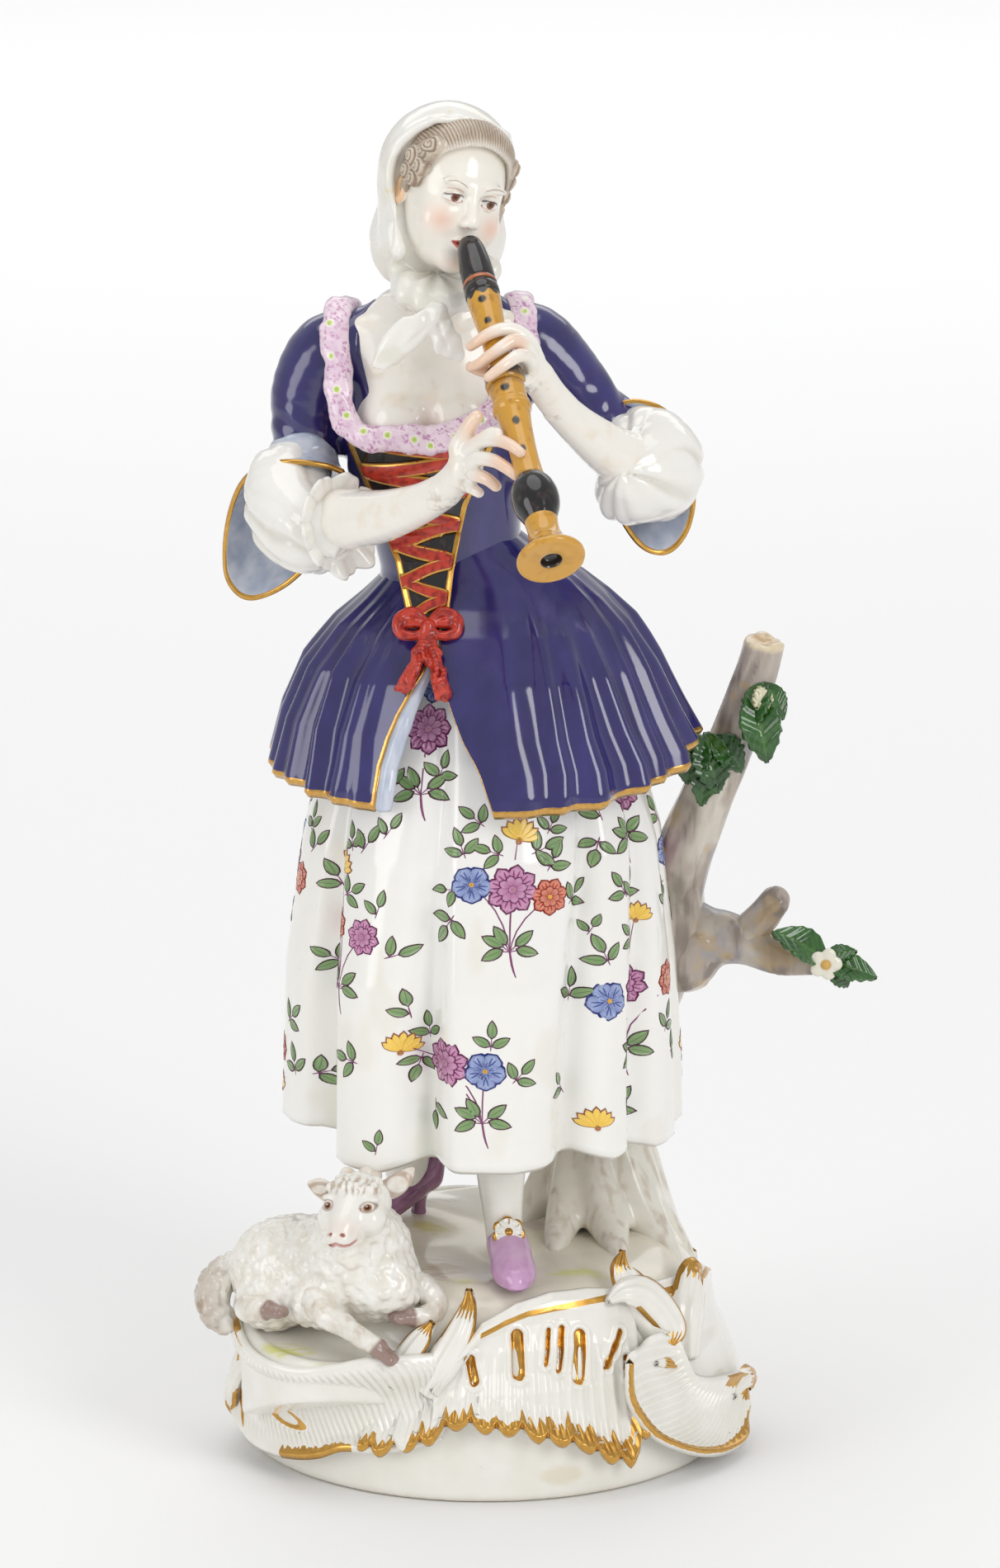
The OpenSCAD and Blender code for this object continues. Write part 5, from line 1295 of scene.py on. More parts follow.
c.egg(on_head(0, -13.7, -3.9), (1.2, 1.15, 1.05), 0.8, TURN)
c.tube(on_head_all([(-2.2, -11.35, -8.2), (-1.3, -12.15, -7.75), (-0.45, -12.55, -7.5), (0, -12.5, -7.62),
                    (0.45, -12.55, -7.5),
                    (1.3, -12.15, -7.75), (2.2, -11.35, -8.2)]), [0.2, 0.42, 0.5, 0.46, 0.5, 0.42, 0.2],
       0.4, steps=18)
c.tube(on_head_all([(-1.9, -11.4, -8.5), (-0.8, -12.2, -8.95), (0, -12.4, -9.05), (0.8, -12.2, -8.95),
                    (1.9, -11.4, -8.5)]),
       [0.22, 0.5, 0.58, 0.5, 0.22], 0.4, steps=14)
c.tube(on_head_all([(-2.2, -11.6, -8.3), (-1, -12.7, -8.2), (0, -13.0, -8.25), (1, -12.7, -8.2),
                    (2.2, -11.6, -8.3)]),
       [0.05, 0.1, 0.12, 0.1, 0.05], 0.3, cut=True, steps=14)
c.tube(on_head_all([(0, -13.4, -5.4), (0, -13, -7.0)]), [0.28, 0.34], 0.5, cut=True)
c.slab((0, 0, 234), (0, 0, -1))
p, q = c.mesh(1)
l = to_head(p)
x, y, z = l.T
ax = np.abs(x)
front = ease(y, -7, -8.5)
col = blend(WHITE, linear(244, 238, 226), 0.7)
cheek = np.exp(-((ax - 5.4) / 2.5) ** 2 - ((z + 4.6) / 2.4) ** 2) * front
col = blend(col, linear(234, 164, 130), cheek * 0.5)
col = blend(col, linear(236, 190, 160), np.exp(-(x / 2.4) ** 2 - ((z + 12.4) / 1.6) ** 2) * 0.5 * front)
# Painted shade: a grey band in the hollow under the lower lip.
col = blend(col, linear(200, 196, 190), np.exp(-(x / 2.6) ** 2 - ((z + 10.4) / 0.8) ** 2) * 0.4 * front)
ear = ease(ax, 9.7, 10.4) * ease(np.abs(z + 1.5), 3.4, 2.6) * ease(np.abs(y), 3.2, 2.2)
col = blend(col, linear(236, 188, 140), ear * 0.85)
ex, ez = ax - 3.85, z - 0.05
lid = 0.78 - 0.14 * ex ** 2 - 0.06 * ex
low = -0.72 + 0.10 * ex ** 2
white = ease(ez, low - 0.1, low + 0.1) * ease(ez, lid + 0.1, lid - 0.1) * ease(np.abs(ex), 1.9, 1.7) * front
col = blend(col, linear(240, 240, 236), white)
iris = np.hypot(ex, ez - 0.1)
col = blend(col, linear(150, 84, 30), white * ease(iris, 0.92, 0.74))
col = blend(col, linear(98, 46, 14), white * ease(iris, 0.92, 0.78) * ease(iris, 0.5, 0.8))
col = blend(col, linear(30, 20, 14), white * ease(iris, 0.5, 0.34))
lash = ease(np.abs(ez - lid - 0.06), 0.24, 0.1) * ease(np.abs(ex), 2.05, 1.7) * front
col = blend(col, linear(70, 40, 26), lash * 0.92)
fold = ease(np.abs(ez - (1.75 - 0.16 * ex ** 2)), 0.2, 0.05) * ease(np.abs(ex), 1.9, 1.3) * front
col = blend(col, linear(196, 128, 98), fold * 0.6)
under = ease(np.abs(ez - low + 0.1), 0.18, 0.06) * ease(np.abs(ex), 1.9, 1.5) * front
col = blend(col, linear(190, 110, 84), under * 0.6)
corner = ease(np.hypot(ax - 2.15, ez + 0.35), 0.3, 0.12) * front
col = blend(col, linear(176, 62, 44), corner * 0.9)
brow = 3.35 - 0.12 * (ax - 4.6) ** 2
hair_line = ease(np.abs(z - brow), 0.26 - 0.02 * ax, 0.06) * ease(np.abs(ax - 4.1), 2.6, 1.7) * front
col = blend(col, linear(140, 112, 90), hair_line * 0.75)
upper = -7.42 - 0.16 * ax ** 1.6 - 0.22 * ease(ax, 0.5, 0.0)
lower = -9.55 + 0.24 * ax ** 2
lips = (ease(z, lower - 0.1, lower + 0.16) * ease(z, upper + 0.14, upper - 0.1) * ease(ax, 2.4, 2.1)
        * ease(y, -10.8, -11.2))
col = blend(col, linear(190, 66, 48), lips * 0.92)
col = blend(col, linear(150, 36, 26), ease(np.abs(z + 8.28), 0.2, 0.06) * lips * 0.9)
nostril = ease(np.hypot((ax - 0.75) / 1.4, z + 4.95), 0.36, 0.16) * ease(y, -11.6, -12.2)
col = blend(col, linear(190, 96, 70), nostril * 0.85)
piece("head_and_face", (p, q), MAT["skin"], ["head"], col)

# ---- Hair ---------------------------------------------------------------------------------


def hairline(x):
    """Height of the hairline over the face, by head x."""
    return 10.6 - 0.055 * x * x - 3.4 * ease(np.abs(x), 6.8, 9.2)


CURLS = [((-9.3, -5.6, 7.2), 2.1), ((-9.6, -5.4, 4.0), 1.9), ((-10.2, -3.2, 5.4), 2.3),
         ((-9.9, -4.6, 1.4), 1.8), ((-10.3, -2.2, 2.4), 2.0), ((-8.4, -7.0, 8.8), 1.8),
         ((9.9, -3.0, 4.6), 2.0), ((10.0, -2.6, 1.4), 1.8),
         ((9.8, -2.2, -1.4), 1.6), ((9.4, -4.6, 7.2), 1.9)]

c = Clay((-22, -17, 245), (10, 8, 270.5), 0.22)
c.egg(on_head(0, 0.4, 5.2), (10.9, 12.2, 11.2), 0, TURN)
c.egg(on_head(0, -5.6, 9.4), (8.2, 4.6, 4.4), 2.5, TURN)


def below_hairline(x, y, z):
    p = np.stack(np.broadcast_arrays(x, y, z), -1)
    l = to_head(p)
    return l[..., 2] - hairline(l[..., 0])


c.field(below_hairline, 0.7, cut=True)
for at, r in CURLS:
    c.egg(on_head(*at), (r * 0.85, r, r * 1.05), 0.7, TURN)
for at, r in (((-10.2, -1.6, -0.6), 1.3), ((9.9, -3.2, -3.0), 1.2)):
    c.egg(on_head(*at), (r * 0.7, r, r * 1.5), 0.8, TURN)


def combed(p):
    """Fine grooves: combed back over the brow, coiled in the curls."""
    l = to_head(p)
    a = np.arctan2(l[:, 0], l[:, 2] + 4.5)
    out = 0.085 * np.sin(a * 170 + 2.0 * fbm(l * 0.35)) * ease(l[:, 2], 7.5, 9.5)
    for at, r in CURLS:
        d = l - vec(*at)
        across = np.hypot(d[:, 1], d[:, 2])
        inside = ease(across, r * 1.15, r * 0.9) * (np.sign(l[:, 0]) == np.sign(at[0]))
        spiral = np.sin(across * 8.2 - np.arctan2(d[:, 2], d[:, 1]) + at[2])
        out = out * (1 - inside) + inside * (0.17 * spiral + 0.12 * ease(across, r, 0))
    return out


c.relief(combed)
p, q = c.mesh(0)
l = to_head(p)
groove = combed(p)
root = ease(l[:, 2] - hairline(l[:, 0]), 2.2, -0.2)
tone = blend(linear(206, 192, 174), linear(140, 118, 98), ease(groove, 0.06, -0.08) * 0.95)
tone = blend(tone, linear(150, 128, 108), ease(fbm(l * 0.22 + 4), 0.0, 0.8) * 0.5)
tone = blend(tone, linear(240, 234, 224), root * 0.75 * ease(np.abs(l[:, 0]), 9, 7.4))
piece("swept_hair", (p, q), MAT["hair"], ["hair"], tone)

# ---- Head scarf ---------------------------------------------------------------------------

RIM = ([-17, -14, -10, -5, 0, 4, 8, 11, 13.2, 15.4, 18],
       [-9.5, -6.6, -3.0, -0.2, 0.8, 0.8, -0.2, -1.8, -3.8, -6.4, -10])


def ahead_of_rim(x, y, z):
    p = np.stack(np.broadcast_arrays(x, y, z), -1)
    l = to_head(p)
    return (l[..., 1] - np.interp(l[..., 2], *RIM)) * 0.85


c = Clay((-25, -16, 228), (11.5, 18, 272), 0.38)
c.egg(on_head(-0.8, 1.4, 3.0), (13.3, 14.8, 14.2), 0, TURN)
c.egg((-13.2, 3.4, 243), (9.0, 9.4, 11.5), 3)
c.egg((-4.4, 4.4, 243), (8.4, 8.6, 11), 3)
c.field(ahead_of_rim, 0.6, cut=True)
rim_path = []
RIM_LEVELS = (-10, -6, -2, 2, 6, 9.6, 12, 13.6)
for zz, s in [(-13, -1)] + [(z, -1) for z in RIM_LEVELS] + [(z, 1) for z in RIM_LEVELS[::-1]]:
    yy = float(np.interp(zz, *RIM))
    root = max(1 - ((zz - 3) / 14.2) ** 2 - ((yy - 1.4) / 14.8) ** 2, 0.012)
    xx = -0.8 + s * 13.3 * math.sqrt(root) - s * 0.9
    if zz < 0:
        xx = s * min(abs(xx), 11.6) if s > 0 else -max(abs(xx), 11.4 + 0.12 * zz)
    rim_path.append(tuple(on_head(xx, yy - 0.2, zz)))
c.tube(rim_path, 0.8, 0.9, steps=70)
c.tube([rim_path[0], (-17.2, -5, 238.4), (-14.6, -9, 235), (-11.6, -12.4, 232.6), (-9, -14.4, 231.2)],
       [0.8, 1.5, 2.2, 2.2, 1.6], 1.6, steps=20)
c.tube([rim_path[-1], (1.4, -6.6, 239), (-1.8, -10, 235.4), (-5, -12.8, 232.6), (-8, -14.2, 231.2)],
       [0.8, 1.5, 2.2, 2.2, 1.6], 1.6, steps=20)
c.egg((-9.4, -6.4, 233.2), (8.6, 8.4, 3.6), 2.4)


def scarf_folds(p):
    l = to_head(p)
    low = ease(l[:, 2], 2, -10)
    return (0.35 * low * np.sin(np.arctan2(l[:, 1] + 4, l[:, 0]) * 11 + l[:, 2] * 0.25) + 0.12 * fbm(l * 0.18)
            + 0.22 * np.exp(-((l[:, 2] - 9 + 0.12 * (l[:, 1] + 4) ** 2) / 1.2) ** 2) * (l[:, 0] < 0))


c.relief(scarf_folds)
p, q = c.mesh(2)
piece("head_scarf_cloth", (p, q), MAT["white"], ["head_scarf"],
      blend(blend(WHITE, IVORY, ease(fbm(p * 0.15), -0.2, 0.8)), linear(226, 206, 150),
            ease(fbm(p * 0.45 + 12), 0.85, 1.2) * 0.5))

c = Clay((-24, -22, 216), (0, -9, 236), 0.24)
c.egg((-9, -15.2, 231.2), (2.2, 2.0, 2.3), 0)
c.tube([(-9.6, -15.2, 231), (-13, -16.2, 229), (-16.4, -16.6, 226.4), (-18.6, -17, 223.8),
        (-20, -17.2, 221.6)],
       [1.2, 2.2, 2.8, 2.5, 1.5], 0.8, flat=((0, -1, 0.1), 0.46), steps=18)
c.tube([(-9.6, -15.4, 230.6), (-12, -17, 227.6), (-14.6, -17.6, 225), (-17, -17.6, 222)],
       [0.9, 1.3, 1.2, 0.7], 0.7, flat=((0, -1, 0.1), 0.7), steps=14)
c.tube([(-8.4, -15.4, 230.8), (-7.6, -16.8, 228), (-6.4, -17.4, 225.2), (-5.4, -17.4, 223.4)],
       [1.2, 1.9, 2.3, 1.5], 0.8, flat=((0, -1, 0.1), 0.5), steps=14)
c.tube([(-8.6, -15.6, 230.4), (-9, -17, 227), (-8.6, -17.6, 224)], [0.9, 1.4, 0.9], 0.7,
       flat=((0, -1, 0.1), 0.6), steps=10)
c.tube([(-11, -17.6, 228.6), (-15, -18.6, 225.4), (-18.4, -18.8, 222.6)], [0.2, 0.4, 0.3], 0.6, cut=True)
c.tube([(-8.8, -17.4, 229), (-7.6, -18.8, 226), (-7, -19, 224)], [0.2, 0.36, 0.3], 0.6, cut=True)
c.relief(lambda p: 0.1 * np.sin(p[:, 0] * 1.9 - p[:, 2] * 1.2))
p, q = c.mesh(1)
piece("scarf_knot_tails", (p, q), MAT["white"], ["scarf_knot"],
      blend(WHITE, IVORY, ease(fbm(p * 0.3), 0, 0.8)))

# ---- Recorder -----------------------------------------------------------------------------

TIP = vec(-2.8, -13.4, 243.8)
ALONG = unit(vec(0.1935, -0.76, -0.6206))
SIDE = unit(np.cross(ALONG, vec(0, 0, 1)))
OVER = np.cross(SIDE, ALONG)


def turned(profile, n=72):
    """A solid turned about the recorder's axis from (distance, radius) pairs.

    Returns points, quads, and the distance and angle of each point.
    """
    prof = np.array(profile, float)
    a = 2 * np.pi * np.arange(n) / n
    ring = np.cos(a)[:, None] * OVER + np.sin(a)[:, None] * SIDE
    p, q = loft([TIP + ALONG * t + ring * r for t, r in prof])
    t = (p - TIP) @ ALONG
    d = p - TIP - t[:, None] * ALONG
    angle = np.arctan2(d @ SIDE, d @ OVER)
    return p, q, t, angle


def smooth_profile(points, steps):
    c = curve([(t, r) for t, r in points], steps)
    return [(t, max(r, 0.01)) for t, r in c]


# The angle round the recorder of the line that its finger holes lie on.
FACE = math.atan2(*(np.array([SIDE, OVER]) @ vec(-0.14, -0.647, 0.749)))


def finger_hole(t, a, at, long, wide, r, skew):
    """A painted hole on the recorder's face, 0..1, for points t mm along it at angle a."""
    angle = wrap(np.degrees(a - FACE)) * math.pi / 180
    return ease(np.hypot((t - at) / long, (angle - skew) * r / wide), 1.25, 0.9)


def ochre(p, amount=0.5):
    """Yellow enamel rubbed brown in places."""
    return blend(OCHRE, linear(150, 96, 30), ease(fbm(p * 0.8 + 3, 4), 0.25, 1.0) * amount)
p, q, t, a = turned([(-1.6, 0.4), (-1.5, 1.2), (-1.0, 1.9)] + smooth_profile(
    [(-0.6, 2.2), (1.5, 2.75), (5, 3.15), (8, 3.25), (9.5, 3.2)], 26)
    + [(9.6, 3.1), (9.75, 3.22), (10.3, 3.34), (10.9, 3.3), (11.05, 3.15), (11.2, 3.32), (12.2, 3.42),
       (13.0, 3.38), (13.4, 3.3)])
col = blend(linear(30, 26, 28), linear(58, 46, 42), ease(fbm(p * vec(1.2, 0.4, 0.4)), 0, 1))
col = blend(col, linear(196, 112, 62), ease(np.abs(t - 10.3), 0.62, 0.45))
piece("recorder_mouthpiece", (p, q), MAT["black"], ["recorder_beak"], col)

p, q, t, a = turned(smooth_profile([(13.3, 3.25), (15.4, 3.2), (18.5, 2.95), (23, 2.6), (28, 2.5),
                                    (31, 2.7), (32.6, 3.1)], 60)
                    + [(32.8, 3.2), (33, 3.65), (33.7, 3.8), (34.3, 3.62), (34.6, 3.66), (35.4, 3.95),
                       (36.1, 3.8), (36.4, 3.3)])
col = ochre(p)
notch = 13.9 + 0.75 * np.abs(np.sin(a * 4 + 0.6)) + 0.2 * np.sin(a * 7)
col = blend(col, BLACK, ease(t, notch + 0.12, notch - 0.12))
col = blend(col, BLACK, ease(np.abs(t - 34.4), 1.75, 1.5) * ease(fbm(p * 0.9 + 1), -1.1, -0.6))
for at in (16.2, 21.4):
    col = blend(col, BLACK, finger_hole(t, a, at, 0.75, 0.75, 3.0, 0.12))
col = blend(col, linear(120, 74, 34), ease(t, 31.5, 35) * 0.5 * ease(fbm(p * 1.4 + 6), -0.2, 0.6))
piece("recorder_head_joint", (p, q), MAT["ochre"], ["recorder_upper_joint"], col)

p, q, t, a = turned([(36.3, 3.1), (36.5, 3.45)] + smooth_profile([(36.9, 3.5), (39, 3.42), (40.3, 3.35)], 10)
                    + [(40.5, 3.38), (40.8, 3.62), (41.3, 3.68), (41.6, 3.5), (41.8, 3.66), (42.3, 3.7),
                       (42.7, 3.45)]
                    + smooth_profile([(43, 3.3), (46, 2.95), (50, 2.7), (54, 2.6), (57.5, 2.7),
                                      (59.2, 2.9)], 50) + [(59.4, 2.8)])
col = ochre(p)
for at, skew in ((38.8, 0.1), (46.9, -0.05), (53.6, 0.0)):
    col = blend(col, BLACK, finger_hole(t, a, at, 0.85, 0.7, 2.9, skew))
col = blend(col, linear(110, 66, 28), ease(t, 38.4, 36.6) * 0.6)
piece("recorder_middle_joint", (p, q), MAT["ochre"], ["recorder_lower_joint"], col)

p, q, t, a = turned([(59.2, 2.6), (59.35, 3.0)] + smooth_profile(
    [(59.6, 3.15), (61.2, 4.0), (63.6, 4.5), (66.2, 4.3), (68.6, 3.4), (69.8, 2.9), (70.4, 2.8)], 44))
piece("recorder_foot_bulb", (p, q), MAT["black"], ["recorder_bulb"],
      blend(linear(24, 22, 24), linear(70, 58, 54), ease(fbm(p * 0.9), 0.1, 1) * 0.7))

p, q, t, a = turned([(69.2, 2.6), (69.4, 3.0)] + smooth_profile(
    [(69.7, 3.15), (71.6, 3.0), (73.6, 3.2), (75.6, 4.1), (77.2, 5.4), (78, 6.2)], 34)
    + [(78.4, 6.45), (78.9, 6.5), (79.25, 6.35), (79.4, 6.0), (79.42, 5.4), (79.3, 5.0), (79.3, 3.4),
       (79.32, 2.2), (79.2, 2.0), (78.4, 1.85), (77.4, 1.8), (77.3, 0.6)])
d = np.linalg.norm(p - TIP - t[:, None] * ALONG, axis=1)
col = ochre(p, 0.35)
col = blend(col, linear(52, 42, 38), ease(d, 2.25, 2.05) * ease(t, 76.9, 77.2))
crack = (ease(np.abs(t - 77.6 - 0.5 * np.sin(a * 9)), 0.35, 0.1)
         * ease(np.abs(wrap(np.degrees(a - FACE)) - 14), 24, 16))
col = blend(col, linear(40, 30, 24), crack * 0.85 * (fbm(p * 2) > -0.4))
piece("recorder_flared_bell", (p, q), MAT["ochre"], ["recorder_bell"], col)


# ---- Scroll base --------------------------------------------------------------------------


def lean(z):
    return np.interp(z, [0, 11, 22, 30, 36, 44], [0, 1.5, 3, 5.5, 9, 13])


def on_mound(a, z, off=0.0):
    """A point on the mound's side, a degrees round from the front towards +X, off mm proud of it."""
    a, z = np.broadcast_arrays(np.radians(a), z)
    w, d = 49.5 - lean(z) + off, 49 - lean(z) + off
    return np.stack([w * np.sin(a), -d * np.cos(a), z], -1)


def near(p, points, steps=40):
    """How far each of p lies from a smooth line through the points."""
    c = curve(points, steps)
    best = np.full(len(p), 99.0)
    for a, b in zip(c[:-1], c[1:]):
        ab = b - a
        t = np.clip((p - a) @ ab / (ab @ ab + 1e-9), 0, 1)
        best = np.minimum(best, np.linalg.norm(p - a - t[:, None] * ab, axis=1))
    return best


def ground_top(x, y):
    hill = (3.4 * np.exp(-((x + 15) ** 2 + (y - 10) ** 2) / 130)
            + 2.2 * np.exp(-((x - 17) ** 2 + (y - 14) ** 2) / 350)
            + 0.9 * np.exp(-((x + 6) ** 2 + (y + 32) ** 2) / 90))
    return 39.2 + hill + 0.5 * np.sin(x * 0.21 + 1) * np.cos(y * 0.17)


def mound(x, y, z):
    side = np.sqrt((x / (49.5 - lean(z))) ** 2 + (y / (49 - lean(z))) ** 2)
    d = (side - 1) * (46 - lean(z))
    top = z - ground_top(x, y)
    t = np.clip(7 - np.abs(d - top), 0, None) / 7
    d = np.maximum(d, top) + t * t * 7 * 0.25
    t = np.clip(1.6 - np.abs(d + z), 0, None) / 1.6
    return np.maximum(d, -z) + t * t * 1.6 * 0.25


def ledge(x, y, z):
    """The low shelf the lamb lies on, tipped forwards."""
    q = np.sqrt(((x + 29) / 19.5) ** 2 + ((y + 25.5) / 22) ** 2)
    d = (q - 1) * 20
    top = z - (32.6 + (y + 15) * 0.165) - 0.5 * np.exp(-((q - 0.9) / 0.05) ** 2) * (y < -5)
    t = np.clip(1.6 - np.abs(d - top), 0, None) / 1.6
    d = np.maximum(d, top) + t * t * 1.6 * 0.25
    return np.maximum(d, 12 - z + 0.5 * np.clip(-30 - y, 0, 20))


def patch(p, c, r):
    """A soft brushed patch of colour round c, 0..1."""
    q = (p[:, :2] - np.array(c[:2])) / np.array(r)
    brushed = noise(p * vec(0.5, 1.6, 0.7)) * 0.9 + noise(p * 0.22) * 0.5
    return ease(1.25 - np.linalg.norm(q, axis=1) - brushed * 0.75, 0, 0.6)


clay = Clay((-53, -52, -1), (53, 52, 46), 0.8)
clay.field(mound)
clay.tube([(0, 20, -2), (0, 20, 12)], 3.5, cut=True)
clay.relief(lambda p: 0.22 * fbm(p * 0.09, 2) * ease(p[:, 2], 4, 30))
p, q = clay.mesh(1)
up = normals(p, q)[:, 2]
top = ease(up, 0.4, 0.8) * (p[:, 2] > 30)
col = blend(WHITE, IVORY, 0.5 + 0.4 * fbm(p * 0.12))
col = blend(col, linear(238, 228, 206), 0.55 * top)
# Painted shade: the brown-grey patches at (-15, 17) and (-8, -21), round the legs and under the skirt, stand
# in for shade there, with some dirt in them.
for c, r, tone, power in (((-11, 2), (7, 5), linear(206, 196, 110), 0.75),
                          ((-3, -30), (5, 3), linear(232, 226, 140), 0.6),
                          ((18.7, -24), (9, 4), linear(222, 226, 130), 0.8),
                          ((9, 4), (9, 6), linear(196, 178, 180), 0.5),
                          ((-15, 17), (11, 9), linear(172, 152, 128), 0.8),
                          ((-8, -21), (8, 10), linear(190, 170, 142), 0.7),
                          ((26, 2), (12, 9), linear(205, 195, 178), 0.6),
                          ((34, -12), (8, 8), linear(222, 216, 200), 0.5)):
    col = blend(col, tone, patch(p, c, r) * power * top)
bare = ease(1 - np.linalg.norm((p - vec(16, -47, 5)) / vec(6, 4, 2.2), axis=1), 0, 0.3)
col = blend(col, linear(226, 218, 196), bare * 0.8)
col = blend(col, linear(214, 204, 184), ease(1.5 - p[:, 2], 0, 1.5) * 0.7)
piece("ground_mound", (p, q), MAT["base"], ["base_mound"], col)

clay = Clay((-52, -51, 8), (-8, 2, 36), 0.5)
clay.field(ledge)
p, q = clay.mesh(1)
col = blend(WHITE, IVORY, 0.4 + 0.4 * fbm(p * 0.15))
up = ease(normals(p, q)[:, 2], 0.5, 0.9)
col = blend(col, linear(222, 222, 128), up * patch(p, (-40, -40), (9, 5)) * 0.9)
col = blend(col, linear(214, 206, 150), up * patch(p, (-32, -47), (6, 2.5)) * 0.6)
piece("lamb_ledge_shelf", (p, q), MAT["base"], ["lamb_ledge"], col)

# The cartouche: a concave shell panel with gilded slots and a gold line below its top rim.
# Slots: (angle, height) of both ends and the radius.
SLOTS = [((-3.6, 28.7), (-2.5, 24.5), 0.9), ((8.3, 32.8), (8.3, 25.8), 1.25),
         ((16.7, 33.4), (15.2, 27.2), 0.45), ((20.3, 33.5), (18.3, 25.9), 0.6),
         ((24.9, 31.8), (23.3, 24.0), 1.25), ((36.6, 31.1), (31.0, 25.2), 0.6),
         ((37.2, 26.1), (37.1, 25.9), 0.5), ((36.6, 24.5), (36.5, 24.3), 0.5),
         ((36.3, 22.9), (36.2, 22.7), 0.45)]
MM_PER_DEGREE = 0.8


def slot_gap(a, z):
    """Distance from the edge of the nearest slot; below 0 inside."""
    best = np.full(np.shape(a), 9.0)
    for (a0, z0), (a1, z1), r in SLOTS:
        dx, dz = (a1 - a0) * MM_PER_DEGREE, z1 - z0
        x = (a - a0) * MM_PER_DEGREE
        t = np.clip((x * dx + (z - z0) * dz) / (dx * dx + dz * dz), 0, 1)
        best = np.minimum(best, np.hypot(x - t * dx, z - z0 - t * dz) - r)
    return best


def panel_top(a):
    return np.interp(a, [-12, -8.7, -5, -0.7, 8.4, 18.4, 29.7, 38, 44],
                     [23.5, 27, 31.5, 35.4, 38.7, 40.2, 40, 39, 36.5])


def panel_foot(a):
    return np.interp(a, [-28, -24, -20, -15, -11, -8, -4, 0, 4, 8, 12, 16.5, 21.8, 27.1, 32.9, 36.5, 44],
                     [11, 10.2, 11.6, 12.4, 14.2, 16.6, 17.4, 16.4, 15.8, 15.9, 14, 13.2, 11.7, 8.8, 6.8,
                      10.8, 16])


def panel_place(u, v):
    """Angle and height of the cartouche's point u, v."""
    a = 42 - 54 * u
    return a, panel_top(a) + (panel_foot(a) + 2.5 - panel_top(a)) * v


def cartouche_at(u, v):
    a, z = panel_place(u, v)
    bowl = np.interp(v, [0, 0.05, 0.12, 0.2, 0.35, 0.6, 0.85, 1], [2.6, 3.6, 3.3, 2.0, 1.2, 0.9, 1.7, 2.8])
    bowl = bowl + 1.2 * np.exp(-((a + 11) / 3) ** 2) * ease(v, 0.1, 0.4)
    ribs = 0.26 * np.sin(2 * np.pi * a / 2.9 + v * 2) * ease(v, 0.25, 0.5)
    g = slot_gap(a, z)
    carved = -1.1 * (1 - ease(g, -0.5, 0.1)) + 0.42 * np.exp(-((g - 0.65) / 0.45) ** 2)
    return on_mound(a, z, bowl + ribs + carved)


p, q, uv, side = sheet(cartouche_at, 230, 120, 1.8)
a, z = panel_place(*uv.T)
line = np.interp(a, [-8, -0.7, 5.2, 11.3, 19.4, 27.8, 36.8, 42], [29, 33.4, 35.5, 37, 37.6, 38, 38.0, 37])
front = side < 0.3
gilt = np.maximum(0.5 - (slot_gap(a, z) - 0.05) * 3, 0.5 - (np.abs(z - line) - 0.55) * 3 - 4 * (a < -1))
gilt = front * np.clip(gilt, 0, 1)
piece("front_shell_panel", (p, q), MAT["base"], ["front_cartouche"],
      blend(WHITE, IVORY, 0.35 + 0.3 * fbm(p * 0.2) + 0.5 * ease(0.8 - slot_gap(a, z), 0, 0.8)), gilt)


def fringe_at(u, v):
    a = 39 - 67 * u
    wave = np.abs(np.sin(np.pi * (a + 3) / 5.6)) ** 0.5
    foot = panel_foot(a) - 0.5 + 2.0 * (1 - wave)
    z = foot + 6.2 * (1 - v) ** 0.9
    off = np.interp(v, [0, 0.3, 0.6, 0.85, 1], [0.6, 1.9, 3.2, 4.6, 4.3]) + 0.9 * wave * ease(v, 0.2, 0.8)
    return on_mound(a, z, off + 0.22 * np.sin(2 * np.pi * a / 1.45) * ease(1 - v, 0.05, 0.4))


p, q, uv, side = sheet(fringe_at, 420, 44, 1.6)
a = 39 - 67 * uv[:, 0]
stroke = np.abs((a / 2.2 + 0.4 * noise(np.stack([a * 0.5, a * 0, a * 0], -1))) % 1 - 0.5) * 2
long = np.interp(a, [-28, 8, 20, 34, 39], [0.42, 0.45, 0.65, 1.0, 0.8]) \
    * (0.55 + 0.6 * noise(np.stack([a * 0.2, 0 * a, 0 * a + 4], -1)) * stroke ** 0.7 + 0.15 * stroke)
patchy = np.maximum(ease(noise(np.stack([a * 0.16, 0 * a, 0 * a + 9], -1)), 0.18, 0.3), ease(a, 8, 14))
gilt = np.clip(0.5 + (long * patchy - (1 - uv[:, 1])) * 14, 0, 1) * (side < 0.9)
piece("gilded_fringe", (p, q), MAT["base"], ["base_fringe"],
      blend(WHITE, IVORY, 0.4 + 0.3 * fbm(p * 0.2)), gilt)

